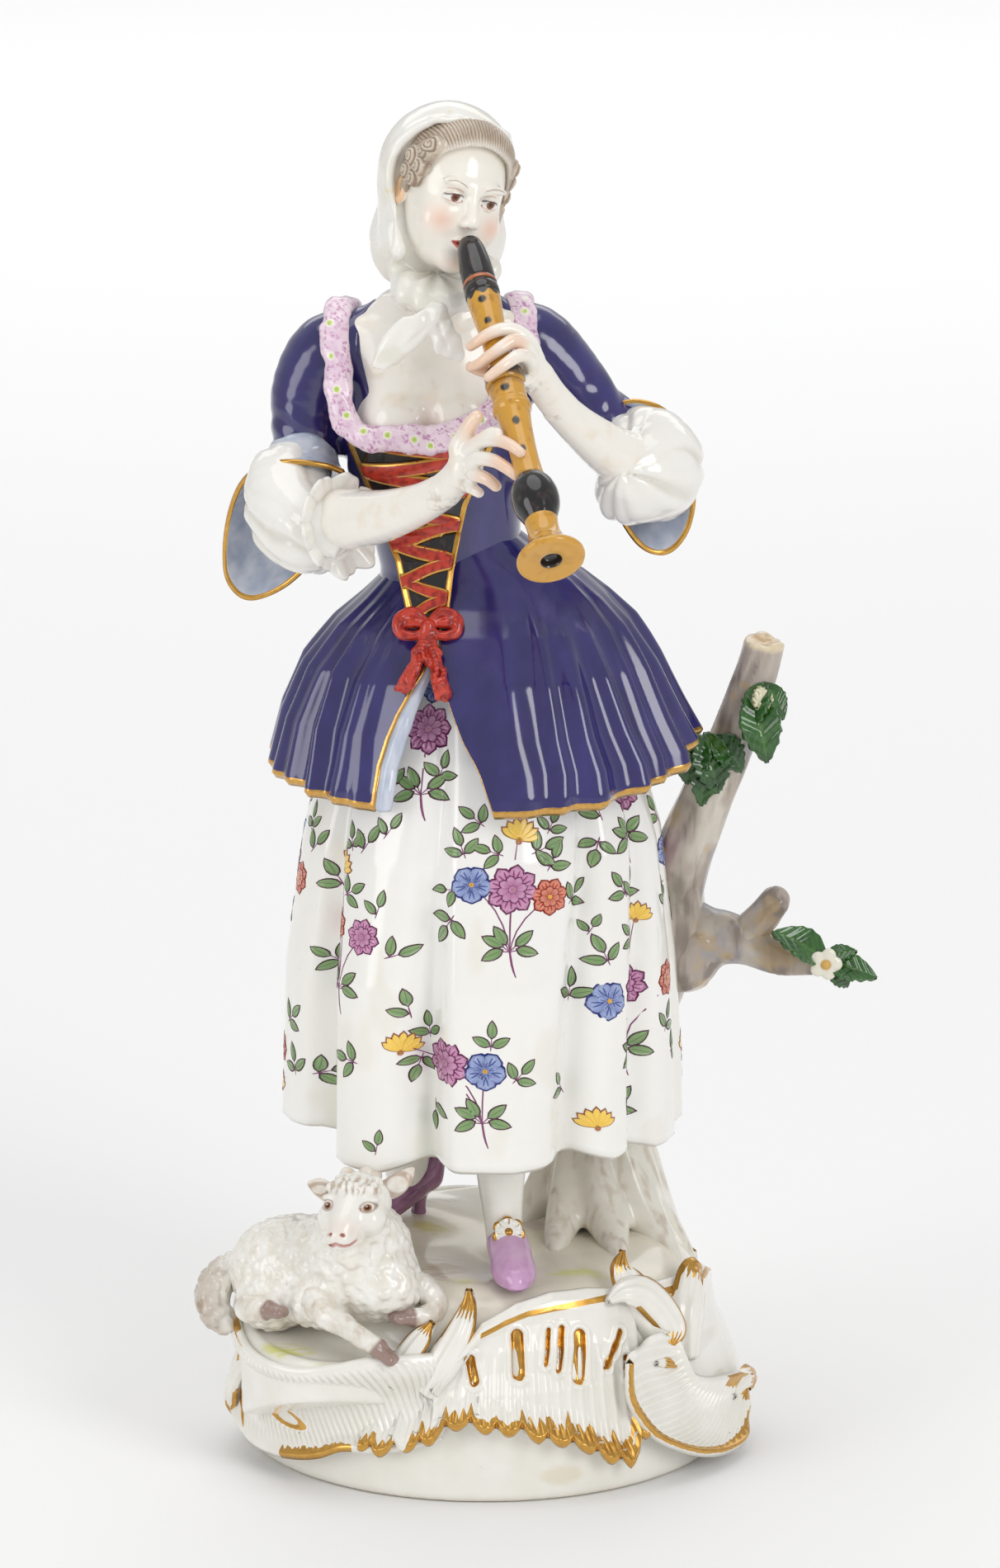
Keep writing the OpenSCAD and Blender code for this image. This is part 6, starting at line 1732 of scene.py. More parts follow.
# The left scroll: a ribbed channel from the shelf's rim down to the gilded lower curl.
LEFT_ROWS = [
    [(-7, -44.5, 29.5), (-13, -47, 29.6), (-22, -49, 29.4), (-30, -48.6, 27.6), (-37, -46.6, 26.3),
     (-43, -43, 26.8),
     (-47, -38, 28), (-49.3, -31, 29.6), (-50.2, -23, 31), (-49.6, -12, 32.4), (-45, -3, 32.4)],
    [(-7, -46.5, 26.5), (-13, -48, 26.5), (-22, -48.6, 26.2), (-30, -47.8, 24.8), (-37, -45.4, 24),
     (-43, -41.8, 24.4),
     (-47.2, -36.8, 25.4), (-49.6, -30, 26.8), (-50.2, -22, 28), (-49.4, -11, 29), (-45.4, -2, 29)],
    [(-8, -45.6, 21.5), (-14, -45.4, 20.6), (-21, -44.6, 20), (-28, -42.6, 18.8), (-34, -39.6, 18.4),
     (-39.6, -35.2, 19),
     (-44, -30, 20), (-47, -24, 21.4), (-48.6, -16, 22.6), (-48.8, -8, 23), (-46, -1, 23.4)],
    [(-8.4, -47.4, 17.6), (-14.4, -46.8, 15.4), (-21, -45, 13.6), (-27.4, -42.2, 12.6), (-33, -39, 11.4),
     (-38.4, -34.6, 11.4),
     (-43, -29.4, 12), (-46.6, -23, 13.4), (-49.2, -15, 15), (-50.4, -7, 17), (-47, 0, 17.6)],
    [(-8.8, -49.8, 14.8), (-15, -49, 12.2), (-21.8, -47.2, 11), (-28.2, -44.6, 10.6), (-33.4, -41.6, 7.9),
     (-38.4, -37.6, 6.2),
     (-43.4, -32, 5.2), (-47.8, -25, 5.4), (-51.4, -16, 8.4), (-52.2, -7, 12), (-48, 0.5, 13.4)],
]


def lofted(rows):
    """A smooth surface through rows of points; u runs along a row and v from row to row."""
    grid = np.array(rows, float)

    def weights(t, n):
        i = np.clip(np.floor(t * (n - 1)).astype(int), 0, n - 2)
        f = t * (n - 1) - i
        return i, [-0.5 * f ** 3 + f ** 2 - 0.5 * f, 1.5 * f ** 3 - 2.5 * f ** 2 + 1,
                   -1.5 * f ** 3 + 2 * f ** 2 + 0.5 * f, 0.5 * f ** 3 - 0.5 * f ** 2]

    wide = np.concatenate([2 * grid[:, :1] - grid[:, 1:2], grid, 2 * grid[:, -1:] - grid[:, -2:-1]], axis=1)
    wide = np.concatenate([2 * wide[:1] - wide[1:2], wide, 2 * wide[-1:] - wide[-2:-1]], axis=0)

    def at(u, v):
        i, wu = weights(u, grid.shape[1])
        j, wv = weights(v, grid.shape[0])
        return sum(wu[a][..., None] * wv[b][..., None] * wide[j + b, i + a]
                   for a in range(4) for b in range(4))

    return at


def outward(at, u, v, e=2e-3):
    """The unit normal of a lofted surface."""
    n = np.cross(at(u + e, v) - at(u - e, v), at(u, v + e) - at(u, v - e))
    return n / np.linalg.norm(n, axis=-1)[..., None]


left_loft = lofted(LEFT_ROWS)


def oval(u, v):
    """The slanting oval on the left scroll; 1 on its outline."""
    return np.hypot((u - 0.525) * 15, (v - 0.71) * 20 + (u - 0.525) * 4.8)


def left_channel(u, v):
    rib = 0.26 * np.sin(2 * np.pi * 51 * (u + 0.12 * v)) * ease(v, 0.03, 0.2) * ease(1 - v, 0.03, 0.2)
    rib = rib * ease(oval(u, v), 1.2, 1.6) - 0.45 * (1 - ease(oval(u, v), 0.6, 1))
    return left_loft(u, v) + outward(left_loft, u, v) * rib[..., None]


p, q, uv, side = sheet(left_channel, 400, 90, 1.7)
front = (side < 0.9) * 1.0
u, v = uv.T * vec(10 / 9, 1)[:, None]
gold = (np.abs(oval(*uv.T) - 1) - 0.26) * 3
rim_left = np.abs(v - 0.03) * 30 - np.interp(u, [0.55, 0.7, 0.8, 1], [-9, 0.4, 1.1, 0.6])
low = (1 - v) * 26 - np.interp(u, [0.26, 0.3, 0.36, 0.5, 0.6, 0.66], [-9, 0.2, 1.6, 1.5, 0.9, -9]) \
    - 1.1 * noise(np.stack([u * 140, v * 0, v * 0], -1))
inner = np.abs(v - 0.22 - 0.06 * np.sin(u * 9)) * 30 - np.interp(u, [0.7, 0.74, 0.9, 1], [-9, 0.35, 0.5, 0.5])
far = (np.abs(v - np.interp(u, [0.8, 0.9, 1], [0.95, 0.72, 0.6])) * 26
       - np.interp(u, [0.76, 0.8, 1], [-9, 0.6, 0.8]))
gilt = front * np.clip(0.5 - 1.6 * np.minimum.reduce([gold, rim_left, low, inner, far]), 0, 1)
piece("left_ribbed_scroll", (p, q), MAT["base"], ["left_scroll"],
      blend(WHITE, IVORY, 0.35 + 0.35 * fbm(p * 0.2)), gilt)

# The right scroll: a ribbed C curling out to the right, with the plain side of the base behind it.
RIGHT_ROWS = [
    [(37.4, -31.4, 29), (34.4, -35.2, 29.2), (31.4, -38.6, 28.6), (28.6, -41.4, 26.6)],
    [(39.6, -32.2, 24.4), (36.4, -35.4, 22.8), (32.4, -39, 21.8), (28.6, -42.6, 20.4)],
    [(41.4, -31, 20.2), (38.6, -34.4, 18), (34.6, -38, 16.8), (30.4, -42, 16)],
    [(44.2, -28, 18.4), (41.4, -32.4, 13.8), (38, -36, 12), (33.4, -40.8, 11.8)],
    [(47, -24, 17.4), (44.2, -29.6, 11), (41.6, -33.2, 8.8), (37.6, -38, 8.6)],
    [(49.4, -19.4, 16.4), (47.2, -26, 9.4), (45.2, -29.6, 6.8), (42.4, -33.8, 5.8)],
    [(51.2, -15.4, 15.4), (49.8, -21.4, 9.2), (48.8, -25, 6), (47, -28.6, 4.2)],
    [(52.6, -12, 13.8), (52.2, -16, 9.2), (52, -18.6, 6), (51.6, -20.6, 3.8)],
    [(53.2, -10.6, 10.6), (53.4, -11, 9), (53.6, -11.6, 7.2), (53.4, -11.4, 5.6)],
]

right_loft = lofted(RIGHT_ROWS)


def right_channel(u, v):
    dish = 1.6 * (np.abs(u - 0.5) * 2) ** 3 - 0.6
    rib = 0.3 * np.sin(2 * np.pi * (26 * v + 1.6 * u)) * ease(0.5 - np.abs(u - 0.5), 0.03, 0.16)
    return right_loft(u, v) + outward(right_loft, u, v) * ((dish + rib) * ease(1 - v, 0, 0.12))[..., None]


def slit_gap(a, z):
    """Distance from the edge of the slanting slit in the side wall; below 0 inside."""
    x = (a - 62.5 - (z - 26) * 0.25) * MM_PER_DEGREE
    return np.hypot(x, np.clip(np.abs(z - 25.8) - 3, 0, None)) - 0.55


def side_wall(u, v):
    a = 100 - 52 * u
    top = np.interp(a, [46, 60, 75, 90, 100], [38, 37, 35.5, 34, 31])
    foot = np.interp(a, [46, 66, 80, 90, 100], [9, 8, 8, 9, 12])
    z = top + (foot - top) * v
    off = (np.interp(v, [0, 0.06, 0.16, 0.4, 0.7, 0.9, 1], [1.6, 2.6, 1.8, 1.0, 2.8, 3.6, 2.6])
           + 0.5 * np.sin(np.radians(a * 9)) * v)
    slit = slit_gap(a, z)
    return on_mound(a, z, off - 0.9 * (1 - ease(slit, -0.4, 0.2)) + 0.3 * np.exp(-((slit - 0.6) / 0.4) ** 2))


p1, q1, uv1, s1 = sheet(right_channel, 60, 200, 1.7)
u, v = uv1.T
stroke = 0.05 * np.abs((v * 46) % 1 - 0.5) * 2
edge = np.minimum(1 - u, np.where(v > 0.55, u + 0.02, 9))
g1 = (s1 < 0.9) * np.clip(0.5 + (np.interp(v, [0, 0.1, 0.5, 0.75, 1], [0.02, 0.06, 0.08, 0.10, 0.4])
                                 + stroke * ease(v, 0.5, 0.8) - edge) * 30, 0, 1)
p2, q2, uv2, s2 = sheet(side_wall, 110, 70, 1.7)
a = 100 - 52 * uv2[:, 0]
slit = slit_gap(a, p2[:, 2])
g2 = (s2 < 0.4) * np.clip(0.5 - np.minimum(slit * 3, (np.abs(uv2[:, 1] - 0.06) - 0.02) * 60), 0, 1)
p, q, col = joined([(p1, q1, WHITE), (p2, q2, WHITE)])
piece("right_ribbed_scroll", (p, q), MAT["base"], ["right_scroll"],
      blend(WHITE, IVORY, 0.35 + 0.35 * fbm(p * 0.2)), np.concatenate([g1, g2]))


def back_wall(u, v):
    a = 248 - 138 * u
    top = 33 + 4 * np.sin(np.radians((a - 112) * 180 / 134)) + 0.6 * np.sin(np.radians(a * 8))
    foot = 13 - 4 * np.sin(np.radians((a - 112) * 180 / 134)) + 1.4 * np.sin(np.radians(a * 6))
    z = top + (foot - top) * v
    off = np.interp(v, [0, 0.08, 0.2, 0.5, 0.85, 1], [1.6, 2.8, 1.8, 0.8, 1.8, 3.0])
    ribs = 0.25 * np.sin(2 * np.pi * a / 3.2) * ease(v, 0.2, 0.4) * ease(1 - v, 0.05, 0.2)
    return on_mound(a, z, off + ribs)


p, q, uv, side = sheet(back_wall, 300, 60, 1.7)
stroke = np.abs((uv[:, 0] * 90) % 1 - 0.5) * 2
gilt = (side < 0.4) * np.clip(0.5 + np.maximum((0.02 - np.abs(uv[:, 1] - 0.07)) * 60,
                                               (0.04 + 0.08 * stroke * noise(uv[:, [0, 0, 0]] * 40)
                                                - (1 - uv[:, 1])) * 30), 0, 1)
piece("back_shell_panel", (p, q), MAT["base"], ["back_scroll"],
      blend(WHITE, IVORY, 0.4 + 0.3 * fbm(p * 0.2)), gilt)


def plume(points, widths, face, gold):
    """A pointed, grooved scroll leaf along points, facing the given way, gilded towards its tip."""
    line = curve(np.column_stack([np.array(points, float), widths]), 60)
    c, w = line[:, :3], np.maximum(line[:, 3], 0.12)
    t = np.gradient(c, axis=0)
    t /= np.linalg.norm(t, axis=1)[:, None]
    f = unit(np.array(face, float))
    across = np.cross(t, f)
    across /= np.linalg.norm(across, axis=1)[:, None]
    n = np.cross(across, t)

    def at(u, v):
        s = np.clip(v * 59, 0, 59)
        i = np.clip(s.astype(int), 0, 58)
        g = (s - i)[..., None]
        pick = [k[i] * (1 - g) + k[i + 1] * g for k in (c, across, n)]
        width = (w[i] * (1 - g[..., 0]) + w[i + 1] * g[..., 0])[..., None]
        x = (0.5 - u)[..., None] * 2
        hump = 0.55 * width * (0.35 - x ** 2) + 0.12 * np.cos(x * 3 * np.pi) * np.minimum(width, 1.6)
        return pick[0] - pick[1] * x * width + pick[2] * hump

    p, q, uv, side = sheet(at, 26, 60, 1.5)
    u, v = uv.T
    stroke = 0.16 * np.abs((u * 6) % 1 - 0.5) * 2
    rim = 0.5 - np.abs(u - 0.5)
    g = np.maximum(v - (1 - gold) - stroke, (0.09 - rim) * 2 * ease(v, 0.3, 0.42) - 0.05 * (v < 0.42))
    return p, q, np.clip(0.5 + g * 20, 0, 1) * (side < 0.9)


# Plumes: points, half widths, the way the face looks and the gilded share.
PLUMES = [
    ([(-18.6, -46.4, 24), (-15.6, -45.6, 29.4), (-12.8, -44.2, 33), (-10.6, -43, 35.4)],
     [1.6, 2.6, 2.3, 0.5], (-0.3, -1, 0.4), 0.3),
    ([(-11.6, -46.6, 22), (-8.6, -46.6, 28), (-5.2, -44.6, 34), (-3.4, -41.6, 38.4), (-3.2, -39.8, 41)],
     [2.6, 3.6, 3, 1.8, 0.5], (-0.2, -1, 0.5), 0.42),
    ([(37.4, -30.6, 24), (33.8, -31.8, 33.4), (29.6, -32.4, 39), (27.2, -31, 42.8), (27.4, -28.4, 45.4)],
     [3.4, 4.4, 3.6, 2.4, 0.6], (0.3, -1, 0.3), 0.34),
    ([(24.6, -37, 38.2), (27.6, -36, 39.8), (31.6, -34, 39), (35.2, -32.4, 35), (37.6, -31.8, 30.6),
      (37, -33.2, 27.6)],
     [0.8, 2.6, 3.6, 3.6, 2.8, 0.8], (0.2, -1, 0.7), 0.2),
    ([(40.6, -27, 23), (40.8, -24.8, 31), (41.6, -20.6, 35.4), (42.2, -16.6, 37.6), (43.4, -13.2, 36)],
     [3, 4, 3.8, 2.9, 0.8], (0.5, -1, 0.3), 0.46),
    ([(34.4, -36.6, 25), (36.4, -35.4, 24.6), (38, -33.6, 23.2)], [0.6, 1.1, 0.4], (0.4, -1, 0.4), 0.75),
    ([(-47.6, -24, 22), (-51, -20.6, 16), (-51.8, -17, 10.4), (-50.4, -15, 6)], [1, 2.2, 2.2, 0.5],
     (-1, -0.5, 0), 0.4),
    ([(50.4, -20, 12.6), (52.6, -14.6, 14), (54.2, -9.6, 12.8), (54.2, -7, 9.6)], [0.8, 2.2, 2.4, 0.5],
     (1, -0.6, 0.3), 0.6),
]
parts, gilt = [], []
for points, widths, face, gold in PLUMES:
    p, q, g = plume(points, widths, face, gold)
    parts.append((p, q, WHITE))
    gilt.append(g)
p, q, col = joined(parts)
piece("scroll_plumes", (p, q), MAT["base"], ["scroll_tips"],
      blend(WHITE, IVORY, 0.4 + 0.3 * fbm(p * 0.2)), np.concatenate(gilt))


# ---- Tree stump ---------------------------------------------------------------------------


def bark(p, up, height=0.55):
    """Long soft furrows; up is the direction of growth."""
    up = unit(np.array(up, float))
    along = p @ up
    q = p - along[:, None] * up
    return height * fbm(np.column_stack([q * 0.42, along * 0.05])[:, [0, 1, 3]] + q * 0.12, 3)


def bark_paint(p):
    """Grey-brown washes above, running out into bare white glaze towards the roots."""
    streak = fbm(p * vec(0.55, 0.55, 0.06), 3)
    tone = blend(linear(182, 170, 158), linear(130, 118, 108), ease(streak, -0.2, 0.7))
    tone = blend(tone, linear(150, 156, 170), ease(fbm(p * 0.11 + 5), 0.25, 0.6) * 0.6)
    tone = blend(tone, linear(196, 164, 110), ease(fbm(p * 0.16 + 9), 0.4, 0.75) * 0.6)
    tone = blend(tone, linear(226, 220, 206), ease(fbm(p * 0.13 + 14), 0.1, 0.7) * 0.55)
    pale = blend(linear(232, 228, 216), linear(196, 184, 164), ease(streak, 0.1, 0.9) * 0.6)
    pale = blend(pale, linear(170, 142, 116), ease(fbm(p * vec(0.5, 0.5, 0.05) + 3, 2), 0.5, 0.95) * 0.45)
    return blend(pale, tone, ease(p[:, 2], 64, 100))


def trunk_relief(p):
    """Bark above and smooth flutes between the roots below."""
    flutes = 0.5 * np.sin(np.arctan2(p[:, 1] - 19, p[:, 0] - 22) * 13 + 0.06 * p[:, 2])
    return bark(p, (0.1, 0, 1), 0.6) * ease(p[:, 2], 62, 84) + flutes * ease(-p[:, 2], -74, -52)


clay = Clay((-2, -14, 18), (62, 38, 118), 0.6)
clay.tube([(22, 19, 20), (22, 19, 32), (21.8, 19, 42), (21.8, 18.6, 56), (25, 17, 70), (30.6, 16, 85),
           (36, 14, 98), (37.8, 14, 108)],
          [17, 14.4, 11.6, 10.2, 9.2, 8.4, 7.9, 6.6], steps=30)
for pts, rad in (([(19, 12, 58), (17.5, 5, 47), (15.6, -3, 41), (13.6, -12, 38.4)], [4.4, 4.2, 3.0, 0.8]),
                 ([(22.4, 12, 60), (24.4, 4, 47), (26.4, -5, 41), (27.6, -14, 38)], [4.4, 4.4, 3.2, 0.8]),
                 ([(26, 13, 58), (31, 6.6, 46), (36, 0, 38), (39.4, -7, 33)], [4.4, 4.4, 3.2, 1.0]),
                 ([(28, 17, 58), (33, 15, 44), (38.5, 12, 33), (41.5, 8, 25)], [4.4, 4.2, 3.8, 2.4]),
                 ([(15, 16, 52), (11, 11, 44), (6, 7, 38)], [4, 3.8, 2.2]),
                 ([(24, 26, 54), (25, 32, 42), (26, 36, 32)], [5, 4.4, 3])):
    clay.tube(pts, rad, k=4.5, steps=16)
clay.relief(trunk_relief)
p, q = clay.mesh(1)
piece("tree_trunk_glazed", (p, q), MAT["bark"], ["tree_trunk"], bark_paint(p))

SAWN_AT, SAWN_WAY = vec(55.6, 12, 160.4), vec(0.2, -0.15, 1)
clay = Clay((30, 4, 104), (64, 24, 168), 0.45)
clay.tube([(37.4, 14, 107), (40, 13.6, 116), (43.6, 13, 126), (49, 12.6, 139), (54, 12, 153),
           (56.4, 12, 164)],
          [6.4, 5.8, 5.2, 4.7, 4.2, 4.0], steps=30)
clay.slab(SAWN_AT, SAWN_WAY, 0.6)
clay.relief(lambda p: bark(p, (0.35, 0, 1), 0.5))
p, q = clay.mesh(1)
col = bark_paint(p)
cut = (p - SAWN_AT) @ unit(SAWN_WAY)
ring = np.linalg.norm((p - SAWN_AT)[:, :2], axis=1)
col = blend(col, linear(222, 206, 176), ease(cut, -1.6, -0.6))
col = blend(col, linear(196, 168, 128), ease(cut, -0.6, -0.2) * ease(-ring, -3, -2.2))
piece("upper_branch_glazed", (p, q), MAT["bark"], ["upper_branch"], col)

clay = Clay((32, 2, 84), (74, 24, 110), 0.42)
clay.tube([(40, 14, 94), (44, 13, 97.6), (48, 12, 98.8), (53, 11, 98), (60, 9, 95.2), (68.4, 6.8, 94)],
          [7, 5.8, 5, 4.3, 3.2, 1.3], steps=30)
clay.tube([(41, 14, 104), (43.6, 13.4, 100), (47, 12.4, 99)], [3.4, 4.4, 4.2], k=3, steps=10)
clay.relief(lambda p: bark(p, (1, -0.3, 0.1), 0.4))
p, q = clay.mesh(1)
piece("lower_branch_glazed", (p, q), MAT["bark"], ["lower_branch"],
      blend(bark_paint(p + vec(0, 0, 12)), linear(148, 136, 130), 0.25))
clay = Clay((46, 4, 94), (64, 18, 112), 0.38)
clay.tube([(52.4, 11, 99.6), (56, 10.6, 103.4), (58.4, 10.2, 106.6)], [3.7, 3.5, 3.2], steps=10)
clay.egg((59, 10, 107.6), (1.8, 1.8, 0.9), k=0.6, rot=turn(y=28), cut=True)
clay.relief(lambda p: bark(p, (0.6, 0, 0.7), 0.35))
p, q = clay.mesh(1)
piece("branch_knob_glazed", (p, q), MAT["bark"], ["branch_knob"],
      blend(bark_paint(p + vec(0, 0, 10)), linear(140, 128, 120), 0.3))


def tree_leaf(at, tip, face, wide, cup=0.25, teeth=0.0, fold=0.3):
    """A thin leaf from its stem at `at` to `tip`, facing `face`, wide mm across."""
    at, tip = np.array(at, float), np.array(tip, float)
    run = tip - at
    t = unit(run)
    n = unit(np.array(face, float) - t * (np.array(face, float) @ t))
    side = np.cross(t, n)
    long = np.linalg.norm(run)

    def fn(u, v):
        s = (u - 0.5) * 2
        w = wide / 2 * np.sin(np.pi * np.clip(v, 0.004, 0.996) ** 0.8) ** 0.75
        w = w * (1 + teeth * np.abs((v * 7 - np.abs(s) * 1.2) % 1 - 0.5)) + 0.12
        lift = (fold * np.abs(s) * w + cup * long * np.sin(np.pi * v) * 0.5
                - 0.12 * np.cos(v * 34 + np.abs(s) * 7) * w * 0.35)
        return (at + v[..., None] * run + (s * w)[..., None] * side + lift[..., None] * n)

    p, q, uv, _ = sheet(fn, 22, 34, 0.8)
    s, v = (uv[:, 0] - 0.5) * 2, uv[:, 1]
    vein = np.maximum(np.exp(-(s / 0.07) ** 2),
                      np.exp(-((((v * 7 - np.abs(s) * 2.2) % 1) - 0.5) / 0.1) ** 2) * 0.5)
    col = blend(LEAF, LEAF_DARK, 0.4 + 0.5 * fbm(p * 0.4))
    return p, q, blend(col, linear(104, 150, 66), vein * 0.5)


parts = [tree_leaf((53.4, 6.6, 150.4), (56.2, 3.6, 137.2), (0.1, -1, 0.1), 7.6, 0.22, 0.1),
         tree_leaf((55.6, 7.4, 152.6), (53, 4.2, 143.4), (-0.6, -1, 0.2), 5, 0.2, 0.3),
         tree_leaf((55.8, 7.6, 152.4), (59.6, 6, 145.6), (0.8, -0.9, 0.2), 4, 0.2, 0.2)]
chip = tree_leaf((54.6, 5.6, 152), (55.8, 4.6, 146.6), (0.2, -1, 0.3), 2.6, 0.15, 0.9)
chip = (chip[0], chip[1],
        blend(linear(232, 224, 196), linear(168, 178, 120), ease(fbm(chip[0] * 0.9), 0, 0.8)))
p, q, col = joined(parts + [chip])
piece("upper_leaf_sprig", (p, q), MAT["leaf"], ["upper_leaves"], col)
parts = [tree_leaf((42.8, 8, 141.6), (40.2, 6.2, 132.2), (-0.3, -1, 0.2), 6.8, 0.25, 0.5),
         tree_leaf((44.2, 7.6, 142.2), (46.4, 5.4, 130.4), (0, -1, 0.1), 6.4, 0.25, 0.6),
         tree_leaf((45.4, 7.8, 141.4), (51.4, 6.6, 134.6), (0.4, -1, 0.3), 5.4, 0.3, 0.5),
         tree_leaf((44.6, 8, 138), (43.2, 5.8, 127.8), (-0.1, -1, 0), 4.6, 0.2, 0.6)]
p, q, col = joined(parts)
# Painted shade: the middle sprig, which hangs below the jacket skirt's hem, is blended darker than the other
# leaves.
piece("middle_leaf_sprig", (p, q), MAT["leaf"], ["middle_leaves"], blend(col, LEAF_DARK, 0.35))
parts = [tree_leaf((68.2, 2.6, 96.4), (57.8, 2, 102.6), (0, -0.75, 1), 7.2, 0.16, 0.05),
         tree_leaf((69, 2.4, 96.2), (73, 3, 91.2), (0.6, -1, 0.6), 5, 0.12, 0.1),
         tree_leaf((67.6, 2.4, 96.4), (78.4, 1.6, 93.4), (0.1, -0.9, 0.8), 5.4, 0.14, 0.1),
         tree_leaf((68.4, 3.4, 96.6), (74.2, 2.4, 98.6), (0.1, -0.8, 1), 3.6, 0.16, 0.1)]
p, q, col = joined(parts)
piece("lower_leaf_sprig", (p, q), MAT["leaf"], ["lower_leaves"], col)
clay = Clay((62, -5, 91), (74, 7, 102), 0.2)
for k in range(5):
    a = 2 * np.pi * k / 5
    clay.egg((68.2 + 1.9 * math.cos(a), 0.2, 96.4 + 1.9 * math.sin(a)), (1.5, 0.7, 1.5), k=0.3)
clay.egg((68.2, -0.4, 96.4), (0.9, 0.7, 0.9), k=0.1)
p, q = clay.mesh(1)
mid = np.linalg.norm((p - vec(68.2, 0, 96.4))[:, [0, 2]], axis=1)
piece("white_branch_flower", (p, q), MAT["white"], ["branch_flower"],
      blend(linear(206, 164, 84), blend(WHITE, linear(214, 208, 180), 0.5), ease(mid, 0.9, 1.3)))

# ---- Lamb ---------------------------------------------------------------------------------

rng = np.random.default_rng(5)


def fleece(clay, gap, height):
    """Covers the clay in small tufts about gap mm apart."""
    p, q = clay.mesh(0)
    n = normals(p, q)
    order = rng.permutation(len(p))
    picked = []
    cell = {}
    for i in order:
        x, y, z = (p[i] / gap).astype(int)
        close = [j for dx in (-1, 0, 1) for dy in (-1, 0, 1) for dz in (-1, 0, 1)
                 for j in cell.get((x + dx, y + dy, z + dz), ()) if ((p[i] - p[j]) ** 2).sum() < gap * gap]
        if not close:
            cell.setdefault((x, y, z), []).append(i)
            picked.append(i)
    for i in picked:
        out = n[i]
        slide = unit(np.cross(out, unit(rng.normal(size=3))))
        r = gap * (0.5 + 0.12 * rng.random())
        clay.egg(p[i] + out * height * 0.15, (r, r * 0.8, height), k=0.75,
                 rot=np.column_stack([slide, np.cross(out, slide), out]))
        clay.egg(p[i] + out * (height * 1.05) + slide * r * 0.25, (r * 0.3, r * 0.22, r * 0.3), k=0.4,
                 cut=True)


def wool(p, q):
    n = normals(p, q)
    deep = fbm(p * 0.5, 2)
    col = blend(linear(244, 242, 236), linear(222, 214, 196), 0.25 + 0.35 * deep)
    # Painted shade: the wool turns darker fawn on the faces that look down; the fbm term adds random brown
    # spots.
    return blend(col, linear(176, 160, 136),
                 ease(-n[:, 2], 0.1, 0.9) * 0.4 + ease(fbm(p * 0.9 + 7, 2), 0.5, 1) * 0.2)


clay = Clay((-55, -48, 27), (-8, -11, 62), 0.36)
clay.egg((-36.5, -24.5, 40.6), (12.8, 10.4, 10.4), rot=turn(z=-12, y=4))
clay.egg((-42, -22.5, 39.6), (8.2, 8.6, 8.4), k=3)
clay.egg((-27, -28.5, 42.5), (10, 10, 11), k=4, rot=turn(y=12))
clay.egg((-23.5, -32.5, 47.5), (8.6, 8, 8.8), k=4)
clay.egg((-21, -34.5, 40.5), (8.6, 8.6, 6.8), k=3)
clay.tube([(-26, -34, 46), (-25.4, -36.6, 53)], [8, 6.4], k=3)
clay.egg((-42, -30, 35.6), (6.6, 7.2, 5.4), k=2.5)
clay.egg((-32.6, -35, 37.4), (7, 7, 5), k=2.5)
fleece(clay, 2.1, 0.52)
p, q = clay.mesh(1)
piece("lamb_fleece_body", (p, q), MAT["wool"], ["lamb_body"], wool(p, q))

LAMB = vec(-25, -38.6, 58.2)
LOOK = turn(x=-8, y=-3, z=-20)


def on_lamb(*v):
    return LAMB + LOOK @ np.array(v, float)


def on_lamb_all(points):
    return [tuple(on_lamb(*v)) for v in points]


clay = Clay((-40, -54, 46), (-10, -30, 68), 0.26)
clay.egg(on_lamb(0, 1.4, 0.4), (6.4, 5.8, 5.8), rot=LOOK)
clay.tube(on_lamb_all([(0, -2, -0.6), (-0.2, -6.4, -3.2), (-0.3, -8.4, -4.8)]), [4.6, 3.3, 2.5], k=2.2,
          steps=12)
clay.egg(on_lamb(-0.3, -7.6, -5.6), (2.9, 2.6, 2.1), k=1.2, rot=LOOK)
clay.egg(on_lamb(-0.2, -4.6, -5.4), (3.2, 3.6, 2.2), k=1.4, rot=LOOK)
for s in (-1, 1):
    clay.egg(on_lamb(s * 4.4, -2.6, -2.2), (2.6, 3.4, 3), k=1.6, rot=LOOK)
    clay.egg(on_lamb(s * 4.2, -3.2, 1.9), (1.8, 1.5, 0.7), k=0.7, rot=LOOK)
    clay.egg(on_lamb(s * 4.2, -3.8, 0.5), (1.35, 1.2, 0.95), k=0.25, rot=LOOK)
    clay.egg(on_lamb(s * 1.2 - 0.3, -10.1, -4.3), (0.55, 0.8, 0.34), k=0.25,
             rot=LOOK @ turn(z=s * 25, y=s * 25), cut=True)
clay.tube(on_lamb_all([(-3.3, -7.2, -6), (-1.6, -9.6, -6.5), (-0.3, -10.4, -6.2), (1.2, -9.6, -6.5),
                       (3.4, -6.8, -5.6)]), 0.26, k=0.4, cut=True, steps=20)
clay.tube(on_lamb_all([(-0.3, -10.8, -5), (-0.3, -10.7, -6)]), 0.16, k=0.3, cut=True)
for k in range(34):
    a = rng.uniform(-1, 1)
    b = rng.uniform(0, 1)
    c = on_lamb(a * 4.6, -3.4 + 5 * b, 4.2 + 1.5 * b - 0.9 * abs(a))
    clay.egg(c, (1.15, 1.0, 1.0), k=0.4, rot=turn(z=rng.uniform(0, 180)))
p, q = clay.mesh(1)
h = (p - LAMB) @ LOOK
col = blend(WHITE, IVORY, 0.3 + 0.4 * fbm(p * 0.4))
brow = ease(h[:, 2], 2.2, 3.6) * ease(-h[:, 1], -1, 2)
col = blend(col, linear(160, 130, 98),
            brow * ease(np.sin(h[:, 0] * 4.2 + 5 * fbm(p * 0.3)) + 0.6 * fbm(p * 0.8), 0, 1.1) * 0.7)
col = blend(col, linear(236, 214, 200), np.exp(-(((h - vec(0, -8, -3.6)) / vec(3, 3, 2)) ** 2).sum(1)) * 0.6)
